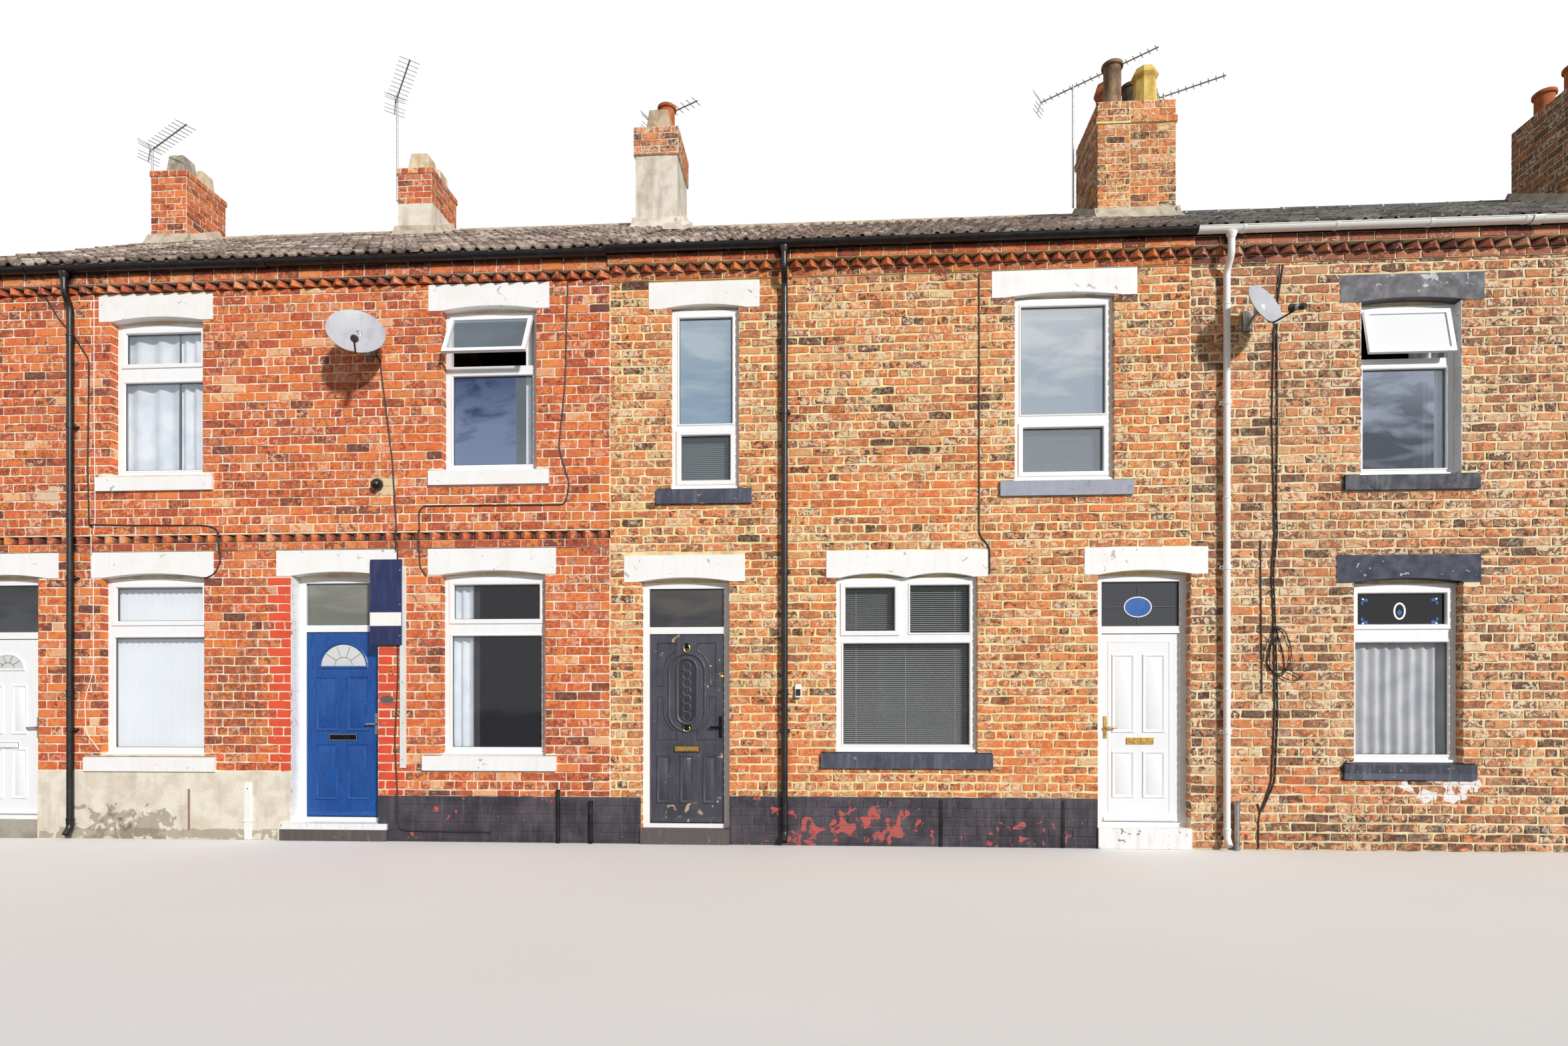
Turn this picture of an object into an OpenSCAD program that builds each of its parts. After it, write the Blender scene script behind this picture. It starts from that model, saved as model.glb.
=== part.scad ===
// Row of four terraced brick houses, two storeys, with a pitched roof.
// Frame: X along the row, Y from the front (-) to the rear (+), Z up from the pavement.
// Inside the modules x is measured from the row's left end and y from the front face.

/* [Houses] */
// Depth of the houses, front face to rear face
house_depth = 7100; // [6500:50:8500]
// Thickness of the outer and party walls, one brick
wall_t = 230; // [215:5:330]
// Inner widths of the four houses, left to right
inner_widths = [3732, 3473, 6137, 5908]; // [3000:1:7000]
// Height of the ground floor above the pavement
ground_floor_z = 150; // [100:10:200]
// Underside of the first floor
first_floor_z = 3050; // [2950:10:3100]
// Thickness of the first floor
first_floor_t = 200; // [150:10:250]

/* [Roof] */
// Height of the roof's upper face above the front face of the wall
roof_z = 6477; // [6400:5:6700]
// Ridge heights of houses A and B, C, and D
ridge_heights = [8690, 8610, 8590]; // [8400:10:9000]
// Thickness of tiles, battens and rafters, measured upright
roof_t = 120; // [80:5:200]
// How far the tiles reach out past the wall
eaves_out = 165; // [120:5:250]
// Thickness of the tiles' edge at the eaves
tile_t = 20; // [15:1:40]
// Distance from one roll of the tiles to the next
roll_pitch = 153; // [120:1:220]
// Height of a roll
roll_h = 28; // [15:1:40]
// Radius of the ridge tiles
ridge_r = 115; // [80:5:150]

/* [Front windows: left, sill, width, height] */
// House A, ground storey
win_a_low = [2069, 935, 1225, 1995]; // [0:1:21000]
// House A, upper storey
win_a_up = [2187, 4080, 1091, 1730]; // [0:1:21000]
// House B, ground storey
win_b_low = [6005, 951, 1174, 1979]; // [0:1:21000]
// House B, upper storey
win_b_up = [6017, 4080, 1061, 1750]; // [0:1:21000]
// House C, ground storey
win_c_low = [10340, 997, 1500, 1863]; // [0:1:21000]
// House C, narrow one over the left door
win_c_slim = [8560, 3838, 740, 1942]; // [0:1:21000]
// House C, upper storey, right
win_c_up = [12222, 3872, 1034, 1928]; // [0:1:21000]
// House D, ground storey
win_d_low = [15666, 906, 1085, 1857]; // [0:1:21000]
// House D, upper storey
win_d_up = [15739, 3880, 993, 1768]; // [0:1:21000]
// House D, narrow one over the door
win_d_slim = [18765, 3838, 740, 1942]; // [0:1:21000]

/* [Front doorways: left, sill, width, height] */
// House A
door_a = [350, 190, 980, 2740]; // [0:1:21000]
// House B
door_b = [4300, 190, 1000, 2740]; // [0:1:21000]
// House C, left
door_c1 = [8232, 160, 967, 2672]; // [0:1:21000]
// House C, right
door_c2 = [13080, 215, 952, 2655]; // [0:1:21000]
// House D
door_d = [18866, 160, 967, 2672]; // [0:1:21000]

/* [Joinery] */
// Depth of a door or window frame
frame_d = 60; // [50:1:80]
// Width of a frame's bars
frame_b = 62; // [45:1:90]
// Thickness of a door leaf
leaf_t = 44; // [35:1:60]
// Gap round a door leaf
leaf_gap = 5; // [3:0.5:8]
// Gap at a leaf's closing edge
closing_gap = 7; // [6:0.5:10]
// Swings of the open top lights of houses B and D, in degrees
light_swings = [26, 12]; // [0:1:40]

/* [Stone and brick trim] */
// Height of a lintel
lintel_h = 285; // [200:5:320]
// Rise of the arch in a lintel's soffit
soffit_rise = 45; // [0:5:80]
// Height of a sill
sill_h = 170; // [100:5:220]
// Reach of a sill past the wall
sill_out = 40; // [20:5:80]
// Depth of a dogtooth at the eaves
tooth_d = 75; // [40:1:90]
// Height of one course of bricks
course = 79; // [70:1:90]
// Reach of the plain course under a dogtooth row
under_out = 25; // [10:1:40]

/* [Rainwater] */
// Outer radius of the gutters
gutter_r = 56; // [45:1:75]
// Height of the gutters' rim
gutter_z = 6365; // [6300:5:6500]
// Radius of the downpipes
pipe_r = 34; // [25:1:50]

/* [Hidden] */
$fn = 48;
eps = 1;

// Left faces of the five party walls
function sum_to(v, n) = n < 0 ? 0 : v[n] + sum_to(v, n - 1);
party_x = [for (i = [0:4]) sum_to(inner_widths, i - 1) + i * wall_t];
row_w = party_x[4] + wall_t;
red_end = party_x[2] + wall_t;
c_end = party_x[3];

// String band between the storeys of houses A and B, its teeth set back into the wall
string_z = 3220;
string_in = 60;
string_h = 94;

// Split heights between the ground and upper pieces of the front walls
split_red = 2930;
split_c = 2830;
split_d = 2763;
wall_top = roof_z - roof_t;
mid_y = house_depth / 2;

win_red = [win_a_low, win_a_up, win_b_low, win_b_up];
win_c = [win_c_low, win_c_slim, win_c_up];
win_d = [win_d_low, win_d_up, win_d_slim];
doors_red = [door_a, door_b];
doors_c = [door_c1, door_c2];
doors_d = [door_d];

// Rear openings: plain repeats of the front's storeys
rear_w = 1000;
rear_low_z = 950;
rear_low_h = 1500;
rear_up_z = 4080;
rear_up_h = 1500;
rear_door_w = 900;
rear_door_h = 2100;
rear_door_z = 150;
function rear_window(x, z, h) = [x, z, rear_w, h];
function rear_door(x) = [x, rear_door_z, rear_door_w, rear_door_h];
rear_doors_red = [rear_door(party_x[0] + wall_t + 500), rear_door(party_x[1] + wall_t + 400)];
rear_doors_c = [rear_door(party_x[2] + wall_t + 700)];
rear_doors_d = [rear_door(party_x[3] + wall_t + 4400)];
rear_win_red = [
    rear_window(party_x[0] + wall_t + 2100, rear_low_z, rear_low_h),
    rear_window(party_x[0] + wall_t + 1350, rear_up_z, rear_up_h),
    rear_window(party_x[1] + wall_t + 1950, rear_low_z, rear_low_h),
    rear_window(party_x[1] + wall_t + 1250, rear_up_z, rear_up_h)
];
rear_win_c = [
    rear_window(party_x[2] + wall_t + 3200, rear_low_z, rear_low_h),
    rear_window(party_x[2] + wall_t + 900, rear_up_z, rear_up_h),
    rear_window(party_x[2] + wall_t + 3900, rear_up_z, rear_up_h)
];
rear_win_d = [
    rear_window(party_x[3] + wall_t + 1500, rear_low_z, rear_low_h),
    rear_window(party_x[3] + wall_t + 900, rear_up_z, rear_up_h),
    rear_window(party_x[3] + wall_t + 3900, rear_up_z, rear_up_h)
];

// How deep each frame stands behind the wall's face
recess = 100;
recess_b = 150;
recess_c = 55;

// Placing helpers
module from_corner() translate([-row_w / 2, -house_depth / 2, 0]) children();
module upright(y, t) translate([0, y + t, 0]) rotate([90, 0, 0]) linear_extrude(t) children();
module along_row(x0, x1) translate([x0, 0, 0]) rotate([90, 0, 90]) linear_extrude(x1 - x0) children();
module rect(x0, z0, w, h) translate([x0, z0]) square([w, h]);
module opening(o) rect(o[0], o[1], o[2], o[3]);
module rod(p, q, r) {
    v = q - p;
    len = norm(v);
    translate(p) rotate([0, acos(v[2] / len), atan2(v[1], v[0])]) cylinder(r = r, h = len);
}
// Pipes meet in round sockets a little wider than the pipe
module pipe_run(points, r) {
    for (i = [0:len(points) - 2]) rod(points[i], points[i + 1], r);
    for (i = [1:len(points) - 2]) translate(points[i]) sphere(r = r * 1.18);
}
// A flat ribbon along points of the front face, with a round clip at each turn
module stroke(points, r) {
    for (i = [0:len(points) - 2]) {
        v = points[i + 1] - points[i];
        translate(points[i]) rotate(atan2(v[1], v[0])) translate([0, -r]) square([norm(v), 2 * r]);
    }
    for (i = [1:len(points) - 2]) translate(points[i]) circle(r = r * 1.5);
}

// Roof form: y across the house, z up
function roof_top(y, ridge) = y < mid_y
    ? roof_z + y * (ridge - roof_z) / mid_y
    : roof_z + (house_depth - y) * (ridge - roof_z) / mid_y;
function roof_points(ridge) = [
    [-eaves_out, roof_top(-eaves_out, ridge) - tile_t],
    [-eaves_out, roof_top(-eaves_out, ridge)],
    [mid_y, ridge],
    [house_depth + eaves_out, roof_top(-eaves_out, ridge)],
    [house_depth + eaves_out, roof_top(-eaves_out, ridge) - tile_t],
    [house_depth, roof_z - roof_t],
    [mid_y, ridge - roof_t],
    [0, roof_z - roof_t]
];
module under_roof(ridge) translate([0, -seat_gap]) polygon([
    [0, 0], [0, roof_z - roof_t], [mid_y, ridge - roof_t], [house_depth, roof_z - roof_t], [house_depth, 0]
]);

// Chimney stacks: left, width, front, depth, top
stack_a = [202, 545, 2900, 800, 9400];
stack_b = [3976, 500, 2900, 800, 9300];
stack_bc = [7482, 600, 2900, 800, 9750];
stack_cd = [13852, 1020, 2500, 1000, 9570];
stack_d = [19905, 495, 2500, 1000, 9570];
stacks = [stack_a, stack_b, stack_bc, stack_cd, stack_d];
stack_foot = 7400;
module stack_box(s, z0, grow = 0) translate([s[0] - grow, s[2] - grow, z0])
    cube([s[1] + 2 * grow, s[3] + 2 * grow, s[4] - z0]);

// Lintels: left, underside, width, number of arches in the soffit
lintels_light = [
    [260, split_red, 1316, 1], [1958, split_red, 1445, 1],
    [4131, split_red, 1383, 1], [5862, split_red, 1435, 1],
    [2053, 5810, 1342, 1], [5870, 5830, 1353, 1], [8320, 5780, 1203, 1], [8049, 2832, 1316, 1],
    [10239, 2860, 1705, 2], [12947, 2870, 1261, 1], [11986, 5800, 1502, 1]
];
lintels_grey = [
    [15534, 5648, 1419, 1], [15494, 2763, 1427, 1],
    [18635, 5780, 1000, 1], [18690, 2832, 1316, 1]
];
lintel_in = 110;
lintel_out = 8;
module lintel_pockets() for (l = concat(lintels_light, lintels_grey))
    translate([l[0], -eps, l[1]]) cube([l[2], lintel_in + eps, lintel_h]);
bearing = 130;
arch_gap = 30;
module lintel(l) {
    span = (l[2] - 2 * bearing) / l[3];
    chord = span - arch_gap;
    r = (chord * chord / 4 + soffit_rise * soffit_rise) / (2 * soffit_rise);
    upright(-lintel_out, lintel_in + lintel_out) difference() {
        rect(l[0], l[1], l[2], lintel_h);
        for (i = [0:l[3] - 1])
            translate([l[0] + bearing + (i + 0.5) * span, l[1] + soffit_rise - r]) circle(r = r, $fn = 180);
    }
}

// Sills: left, underside, width
sills_pale = [[2037, 3900, 1366], [1894, 755, 1540], [5877, 3910, 1346], [5809, 781, 1496]];
sills_grey = [
    [8407, 3668, 1030], [10182, 827, 1811], [12069, 3702, 1378],
    [15567, 3710, 1328], [15560, 736, 1302], [18620, 3668, 1030]
];
sill_in = 100;
function sill_top(s) = s[1] + sill_h;
module sill(s) along_row(s[0], s[0] + s[2]) polygon([
    [-sill_out, s[1]], [-sill_out, s[1] + sill_h - 15], [sill_in, s[1] + sill_h], [sill_in, s[1]]
]);
module sill_pockets() for (s = concat(sills_pale, sills_grey))
    translate([s[0], -eps, s[1]]) cube([s[2], sill_in + eps, sill_h]);

// Front walls
module front_piece(x0, x1, z0, z1, holes) difference() {
    upright(0, wall_t) difference() {
        rect(x0, z0, x1 - x0, z1 - z0);
        for (o = holes) opening(o);
    }
    lintel_pockets();
    sill_pockets();
}
module front_wall_upper_red() color("indianred") from_corner() difference() {
    front_piece(0, red_end, split_red, wall_top, concat(win_red, doors_red));
    translate([-eps, -eps, string_teeth_z]) cube([red_end + 2 * eps, string_in + eps, string_h]);
}
module front_wall_upper_c() color("peru") from_corner()
    front_piece(red_end, c_end, split_c, wall_top, concat(win_c, doors_c));
module front_wall_upper_d() color("tan") from_corner()
    front_piece(c_end, row_w, split_d, wall_top, concat(win_d, doors_d));
module doorway_gaps(doors) for (o = doors) translate([o[0], 0]) square([o[2], wall_top]);
module ground_piece(x0, x1, z1, holes, doors) difference() {
    upright(0, wall_t) difference() {
        rect(x0, 0, x1 - x0, z1);
        for (o = holes) opening(o);
        doorway_gaps(doors);
    }
    lintel_pockets();
    sill_pockets();
}
module front_wall_ground_red() color("firebrick") from_corner()
    ground_piece(0, red_end, split_red, win_red, doors_red);
module front_wall_ground_c() color("sienna") from_corner()
    ground_piece(red_end, c_end, split_c, win_c, doors_c);
module front_wall_ground_d() color("burlywood") from_corner()
    ground_piece(c_end, row_w, split_d, win_d, doors_d);

// Party walls stand between the front and rear walls, under the roof
module party_walls() color("rosybrown") from_corner() for (i = [0:4]) {
    ridge = i < 2 ? ridge_heights[0] : i == 2 ? min(ridge_heights[0], ridge_heights[1]) : ridge_heights[2];
    difference() {
        along_row(party_x[i], party_x[i] + wall_t) intersection() {
            under_roof(ridge);
            rect(wall_t, 0, house_depth - 2 * wall_t, ridge);
        }
        for (s = stacks) stack_box(s, stack_foot);
    }
}

// Rear walls
module rear_piece(x0, x1, windows, doors) upright(house_depth - wall_t, wall_t) difference() {
    rect(x0, 0, x1 - x0, wall_top);
    for (o = concat(windows, doors)) opening(o);
}
module rear_wall_red() color("indianred") from_corner() rear_piece(0, red_end, rear_win_red, rear_doors_red);
module rear_wall_c() color("peru") from_corner() rear_piece(red_end, c_end, rear_win_c, rear_doors_c);
module rear_wall_d() color("tan") from_corner() rear_piece(c_end, row_w, rear_win_d, rear_doors_d);

// Floors: one slab between each pair of party walls
module floor_slabs(z0, t) for (i = [0:3])
    translate([party_x[i] + wall_t, wall_t, z0]) cube([inner_widths[i], house_depth - 2 * wall_t, t]);
module ground_floor() color("dimgray") from_corner() floor_slabs(0, ground_floor_z);
module first_floor() color("burlywood") from_corner() floor_slabs(first_floor_z, first_floor_t);

// Roof slopes under rolled tiles, cut round the chimneys
slope_gap = 1;
// Hair left between sloping faces that meet, so that rounded numbers make no overlap
seat_gap = 0.2;
sheet_room = 120;
sheet_depth = 400;
flat_rise = 8;
ridge_foot = 116;
// One roll: places along its pitch, and shares of its height
roll_shape = [[0, 0], [0.5, 0], [0.62, 1], [0.86, 1], [0.98, 0]];
function slope_angle(ridge) = atan((ridge - roof_z) / mid_y);
function roll_points(x0, x1) = let (count = round((x1 - x0) / roll_pitch), pitch = (x1 - x0) / count) concat(
    [[x1, flat_rise], [x1, -sheet_depth], [x0, -sheet_depth]],
    [for (i = [0:count - 1]) for (p = roll_shape) [x0 + (i + p[0]) * pitch, flat_rise + p[1] * roll_h]]
);
module rolled_sheet(x0, x1, ridge) translate([0, mid_y, ridge]) rotate([90 + slope_angle(ridge), 0, 0])
    translate([0, 0, -sheet_depth]) linear_extrude(house_depth) polygon(roll_points(x0, x1));
module slope_section(ridge) polygon([
    [-eaves_out, roof_top(-eaves_out, ridge) - tile_t],
    [-eaves_out, roof_top(-eaves_out, ridge) + sheet_room],
    [mid_y - ridge_foot, roof_top(mid_y - ridge_foot, ridge) + sheet_room],
    [mid_y - ridge_foot, roof_top(mid_y - ridge_foot, ridge)],
    [mid_y - slope_gap, roof_top(mid_y - slope_gap, ridge)],
    [mid_y - slope_gap, roof_top(mid_y - slope_gap, ridge) - roof_t],
    [0, roof_z - roof_t]
]);
module slope(x0, x1, ridge) intersection() {
    along_row(x0 + slope_gap, x1 - slope_gap) slope_section(ridge);
    rolled_sheet(x0, x1, ridge);
}
module roof_run(x0, x1, ridge) difference() {
    union() {
        slope(x0, x1, ridge);
        translate([x0 + x1, house_depth, 0]) rotate([0, 0, 180]) slope(x0, x1, ridge);
    }
    for (s = stacks) stack_box(s, stack_foot);
}
module roof_tiles_abc() color("dimgray") from_corner() {
    roof_run(0, red_end, ridge_heights[0]);
    roof_run(red_end, c_end, ridge_heights[1]);
}
module roof_slates_d() color("slategray") from_corner() roof_run(c_end, row_w, ridge_heights[2]);
module ridge_run(x0, x1, ridge) difference() {
    along_row(x0, x1) difference() {
        translate([mid_y, ridge - 0.45 * ridge_r]) circle(r = ridge_r);
        translate([0, seat_gap]) polygon(roof_points(ridge));
        rect(mid_y - 2 * ridge_r, ridge - 4 * ridge_r, 4 * ridge_r, 4 * ridge_r - roof_t);
    }
    for (s = stacks) stack_box(s, stack_foot);
}
module ridge_tiles() color("darkslategray") from_corner() {
    ridge_run(0, red_end, ridge_heights[0]);
    ridge_run(red_end, c_end, ridge_heights[1]);
    ridge_run(c_end, row_w, ridge_heights[2]);
}

// Chimney stacks with projecting courses near the top
module stack(s, cap_h, cap_out) {
    stack_box([s[0], s[1], s[2], s[3], s[4] - cap_h], stack_foot);
    translate([s[0] - cap_out, s[2] - cap_out, s[4] - cap_h])
        cube([s[1] + 2 * cap_out, s[3] + 2 * cap_out, cap_h]);
}
module chimney_a() color("brown") from_corner() stack(stack_a, course, 15);
module chimney_b() color("brown") from_corner() stack(stack_b, course, 15);
module chimney_bc() color("sienna") from_corner() stack(stack_bc, 5 * course, 20);
module chimney_cd() color("peru") from_corner() {
    stack(stack_cd, course, 0);
    translate([stack_cd[0] - 20, stack_cd[2] - 20, 9270]) cube([stack_cd[1] + 40, stack_cd[3] + 40, course]);
}
module chimney_d() color("peru") from_corner() stack(stack_d, course, 0);

// Chimney pots
module square_pot(x, y, z, w, h) translate([x, y, z]) rotate([0, 0, 45])
    cylinder(r1 = w / sqrt(2), r2 = w * 0.8 / sqrt(2), h = h, $fn = 4);
module round_pot(x, y, z, r, h) translate([x, y, z]) difference() {
    union() {
        cylinder(r = r, h = h);
        translate([0, 0, h - 60]) cylinder(r = r * 1.22, h = 45);
    }
    translate([0, 0, -eps]) cylinder(r = r * 0.8, h = h + 2 * eps);
}
// Eight-sided pot with a collar near its top
module collar_pot(x, y, z, w, h) translate([x, y, z]) rotate(22.5) difference() {
    union() {
        cylinder(d1 = w, d2 = w * 0.82, h = h, $fn = 8);
        translate([0, 0, h * 0.74]) cylinder(d1 = w * 0.84, d2 = w * 1.04, h = h * 0.06, $fn = 8);
        translate([0, 0, h * 0.8]) cylinder(d = w * 1.04, h = h * 0.09, $fn = 8);
    }
    translate([0, 0, -eps]) cylinder(d = w * 0.6, h = h + 2 * eps);
}
module chimney_pots() color("wheat") from_corner() {
    for (y = [3070, 3440]) square_pot(540, y, stack_a[4], 285, 266);
    for (y = [3085, 3460]) square_pot(4260, y, stack_b[4], 310, 255);
    square_pot(7800, 3100, stack_bc[4], 340, 300);
    round_pot(7823, 3470, stack_bc[4], 115, 690);
    round_pot(14100, 2680, stack_cd[4], 115, 630);
    collar_pot(14538, 2700, stack_cd[4], 335, 535);
    collar_pot(14175, 3240, stack_cd[4], 280, 740);
    round_pot(14535, 3240, stack_cd[4], 115, 720);
    round_pot(20150, 2760, stack_d[4], 115, 400);
    round_pot(20150, 3250, stack_d[4], 115, 400);
}

// Dogtooth courses: bricks laid cornerwise, seen from below as a row of points
function tooth_points(x0, x1, count, y_back, y_valley, y_tip) = concat(
    [[x1, y_back], [x0, y_back], [x0, y_valley]],
    [for (i = [0:count - 1]) each [
        [x0 + (i + 0.5) * (x1 - x0) / count, y_tip],
        [x0 + (i + 1) * (x1 - x0) / count, y_valley]
    ]]
);
module dogtooth(x0, x1, z, h, pitch, y_back, y_valley, y_tip) {
    count = round((x1 - x0) / pitch);
    translate([0, 0, z]) linear_extrude(h) polygon(tooth_points(x0, x1, count, y_back, y_valley, y_tip));
}
module plain_course(x0, x1, z, h, out) translate([x0, -out, z]) cube([x1 - x0, out, h]);
band_top = 6330;
red_teeth_z = 6120;
buff_teeth_z = 6155;
buff_base_z = 6085;
module eaves_band_red() color("orangered") from_corner() {
    dogtooth(0, red_end, red_teeth_z, course, 150, 0, -5, -tooth_d);
    plain_course(0, red_end, red_teeth_z + course, band_top - red_teeth_z - course, tooth_d + 5);
}
module eaves_band_buff(x0, x1, pitch) {
    plain_course(x0, x1, buff_base_z, buff_teeth_z - buff_base_z, under_out);
    dogtooth(x0, x1, buff_teeth_z, course, pitch, 0, -under_out, -tooth_d - under_out);
    plain_course(x0, x1, buff_teeth_z + course, band_top - buff_teeth_z - course, tooth_d + under_out + 10);
}
module eaves_band_c() color("chocolate") from_corner() eaves_band_buff(red_end, c_end, 168);
module eaves_band_d() color("sienna") from_corner() eaves_band_buff(c_end, row_w, 190);
string_teeth_z = string_z + course + 8;
module string_band() color("orangered") from_corner() {
    plain_course(0, red_end, string_z, string_teeth_z - string_z, under_out);
    dogtooth(0, red_end, string_teeth_z, string_h, 165, string_in, string_in - 12, -under_out);
}

// Gutters and downpipes: pipes are [x, back of the gutter, height of the upper bend]
gutter_t = 4;
gutter_lip = 10;
gutter_back = 30;
buff_gutter_z = gutter_z + 13;
rear_gutter_z = gutter_z - 25;
front_back = -tooth_d - 5;
buff_back = -tooth_d - under_out - 10;
pipes_black = [[1766, front_back, 6090], [9796, buff_back, 6110]];
pipes_white = [[14372, buff_back, 6110]];
rear_pipes_black = [[3200, 0, 6230], [9000, 0, 6230]];
rear_pipes_white = [[17500, 0, 6230]];
function half_round(r, n = 16) = [for (i = [0:n]) [-r * cos(i * 180 / n), -r * sin(i * 180 / n)]];
function gutter_section() = concat(
    [for (i = [0:12]) half_round(gutter_r)[i]],
    [[gutter_r - 8, -gutter_r - gutter_lip], [gutter_r, -gutter_r - gutter_lip], [gutter_r, -gutter_back]],
    [for (i = [13:-1:0]) half_round(gutter_r - gutter_t)[i]]
);
module gutter(x0, x1, y_back, rim, pipes) difference() {
    along_row(x0, x1) translate([y_back - gutter_r, rim]) polygon(gutter_section());
    for (p = pipes) translate([p[0], p[1] - gutter_r, rim - 2 * gutter_r])
        cylinder(r = pipe_r, h = 1.5 * gutter_r);
}
foot_z = 40;
bracket_zs = [4600, 2900, 1200];
module downpipe(p, rim) {
    y_wall = -pipe_r - 30;
    y_top = p[1] - gutter_r;
    pipe_run([
        [p[0], y_top, rim - gutter_r + 14], [p[0], y_top, p[2]],
        [p[0], y_wall, p[2] - 130], [p[0], y_wall, foot_z + 90], [p[0], y_wall - 60, foot_z]
    ], pipe_r);
    for (z = bracket_zs) {
        translate([p[0], y_wall, z]) cylinder(r = pipe_r + 5, h = 50);
        translate([p[0] - 60, y_wall, z + 15]) cube([120, -y_wall, 20]);
    }
}
module rear_side() translate([0, house_depth, 0]) mirror([0, 1, 0]) children();
module gutters_black() color("black") from_corner() {
    gutter(0, red_end, front_back, gutter_z, [pipes_black[0]]);
    gutter(red_end, c_end, buff_back, buff_gutter_z, [pipes_black[1]]);
    rear_side() gutter(0, c_end, 0, rear_gutter_z, rear_pipes_black);
}
module gutters_white() color("white") from_corner() {
    gutter(c_end, row_w, buff_back, buff_gutter_z, pipes_white);
    rear_side() gutter(c_end, row_w, 0, rear_gutter_z, rear_pipes_white);
}
module downpipes_black() color("black") from_corner() {
    downpipe(pipes_black[0], gutter_z);
    downpipe(pipes_black[1], buff_gutter_z);
    rear_side() for (p = rear_pipes_black) downpipe(p, rear_gutter_z);
}
module downpipes_white() color("white") from_corner() {
    for (p = pipes_white) downpipe(p, buff_gutter_z);
    rear_side() for (p = rear_pipes_white) downpipe(p, rear_gutter_z);
}

module lintels_white() color("white") from_corner() for (l = lintels_light) lintel(l);
module lintels_dark() color("dimgray") from_corner() for (l = lintels_grey) lintel(l);
module sills_light() color("white") from_corner() for (s = sills_pale) sill(s);
module sills_dark() color("dimgray") from_corner() for (s = sills_grey) sill(s);

// Steps fill the doorways up to the frames' sills
step_out = 45;
module step(o, z0, side) translate([o[0] - side, -step_out, z0]) cube([o[2] + 2 * side, step_out, o[1] - z0]);
module door_steps() color("lightgray") from_corner() {
    for (o = [door_a, door_b, door_c1, door_c2, door_d])
        translate([o[0], 0, 0]) cube([o[2], wall_t, o[1]]);
    step(door_a, 0, 0);
    step(door_b, 0, 110);
    step(door_c1, 0, 0);
    step(door_c2, 0, 0);
    step(door_d, 0, 0);
}

// Plinths: render on house A, black paint on render on houses B and C
render_out = 15;
module plinth_piece(x0, x1, h, out) translate([x0, -out, 0]) cube([x1 - x0, out, h]);
module plinth_render() color("silver") from_corner()
    plinth_piece(door_a[0] + door_a[2], door_b[0] - 110, 755, render_out);
module plinth_black() color("black") from_corner() {
    plinth_piece(door_b[0] + door_b[2] + 110, door_c1[0], 500, render_out);
    plinth_piece(door_c1[0] + door_c1[2], door_c2[0], 520, render_out);
}

// Window frames: outer bars, a transom, and the top light above it
module frame_bars(o, b, bars) difference() {
    opening(o);
    difference() {
        rect(o[0] + b, o[1] + b, o[2] - 2 * b, o[3] - 2 * b);
        for (r = bars) rect(r[0], r[1], r[2], r[3]);
    }
}
function transom(o, z, h) = [o[0], z, o[2], h];
module window(o, y, bars) upright(y, frame_d) frame_bars(o, frame_b, bars);
bars_a_low = [transom(win_a_low, 2280, 130)];
bars_a_up = [transom(win_a_up, 5170, 160)];
bars_b_low = [transom(win_b_low, 2280, 130)];
bars_b_up = [transom(win_b_up, 5160, 90)];
bars_c_low = [transom(win_c_low, 2178, 78), [11008, 2200, 107, 600]];
bars_c_slim = [transom(win_c_slim, 4464, 72)];
bars_c_up = [transom(win_c_up, 4475, 90)];
bars_d_low = [transom(win_d_low, 2170, 130)];
bars_d_up = [transom(win_d_up, 5010, 90)];
bars_d_slim = [transom(win_d_slim, 4464, 72)];
front_windows = [
    [win_a_low, recess, bars_a_low], [win_a_up, recess, bars_a_up],
    [win_b_low, recess, bars_b_low], [win_b_up, recess, bars_b_up],
    [win_c_low, recess_c, bars_c_low], [win_c_slim, recess_c, bars_c_slim], [win_c_up, recess_c, bars_c_up],
    [win_d_low, recess, bars_d_low], [win_d_up, recess, bars_d_up], [win_d_slim, recess, bars_d_slim]
];
// A top light hung on its upper edge, its foot swung outwards
module hung_light(o, z_low, y, swing) {
    h = o[1] + o[3] - frame_b - z_low;
    translate([o[0] + frame_b + 5, y - 3, z_low + h]) rotate([-swing, 0, 0])
        translate([0, 0, -h]) children();
}
module light_sash(o, z_low) {
    w = o[2] - 2 * frame_b - 10;
    h = o[1] + o[3] - frame_b - z_low;
    upright(-40, 36) difference() {
        square([w, h]);
        translate([45, 45]) square([w - 90, h - 90]);
    }
}
rear_windows = concat(rear_win_red, rear_win_c, rear_win_d);
module window_frames() color("white") from_corner() {
    for (w = front_windows) window(w[0], w[1], w[2]);
    for (o = rear_windows) window(o, house_depth - recess - frame_d, [transom(o, o[1] + 1000, 90)]);
    hung_light(win_b_up, 5250, recess, light_swings[0]) light_sash(win_b_up, 5250);
    hung_light(win_d_up, 5100, recess, light_swings[1]) light_sash(win_d_up, 5100);
}
glass_t = 6;
module glazing(o, y, bars) upright(y + frame_d / 2 - glass_t / 2, glass_t) difference() {
    rect(o[0] + frame_b, o[1] + frame_b, o[2] - 2 * frame_b, o[3] - 2 * frame_b);
    for (r = bars) rect(r[0], r[1], r[2], r[3]);
}
module open_part(o, z) rect(o[0], z, o[2], o[1] + o[3] - z);
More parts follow.
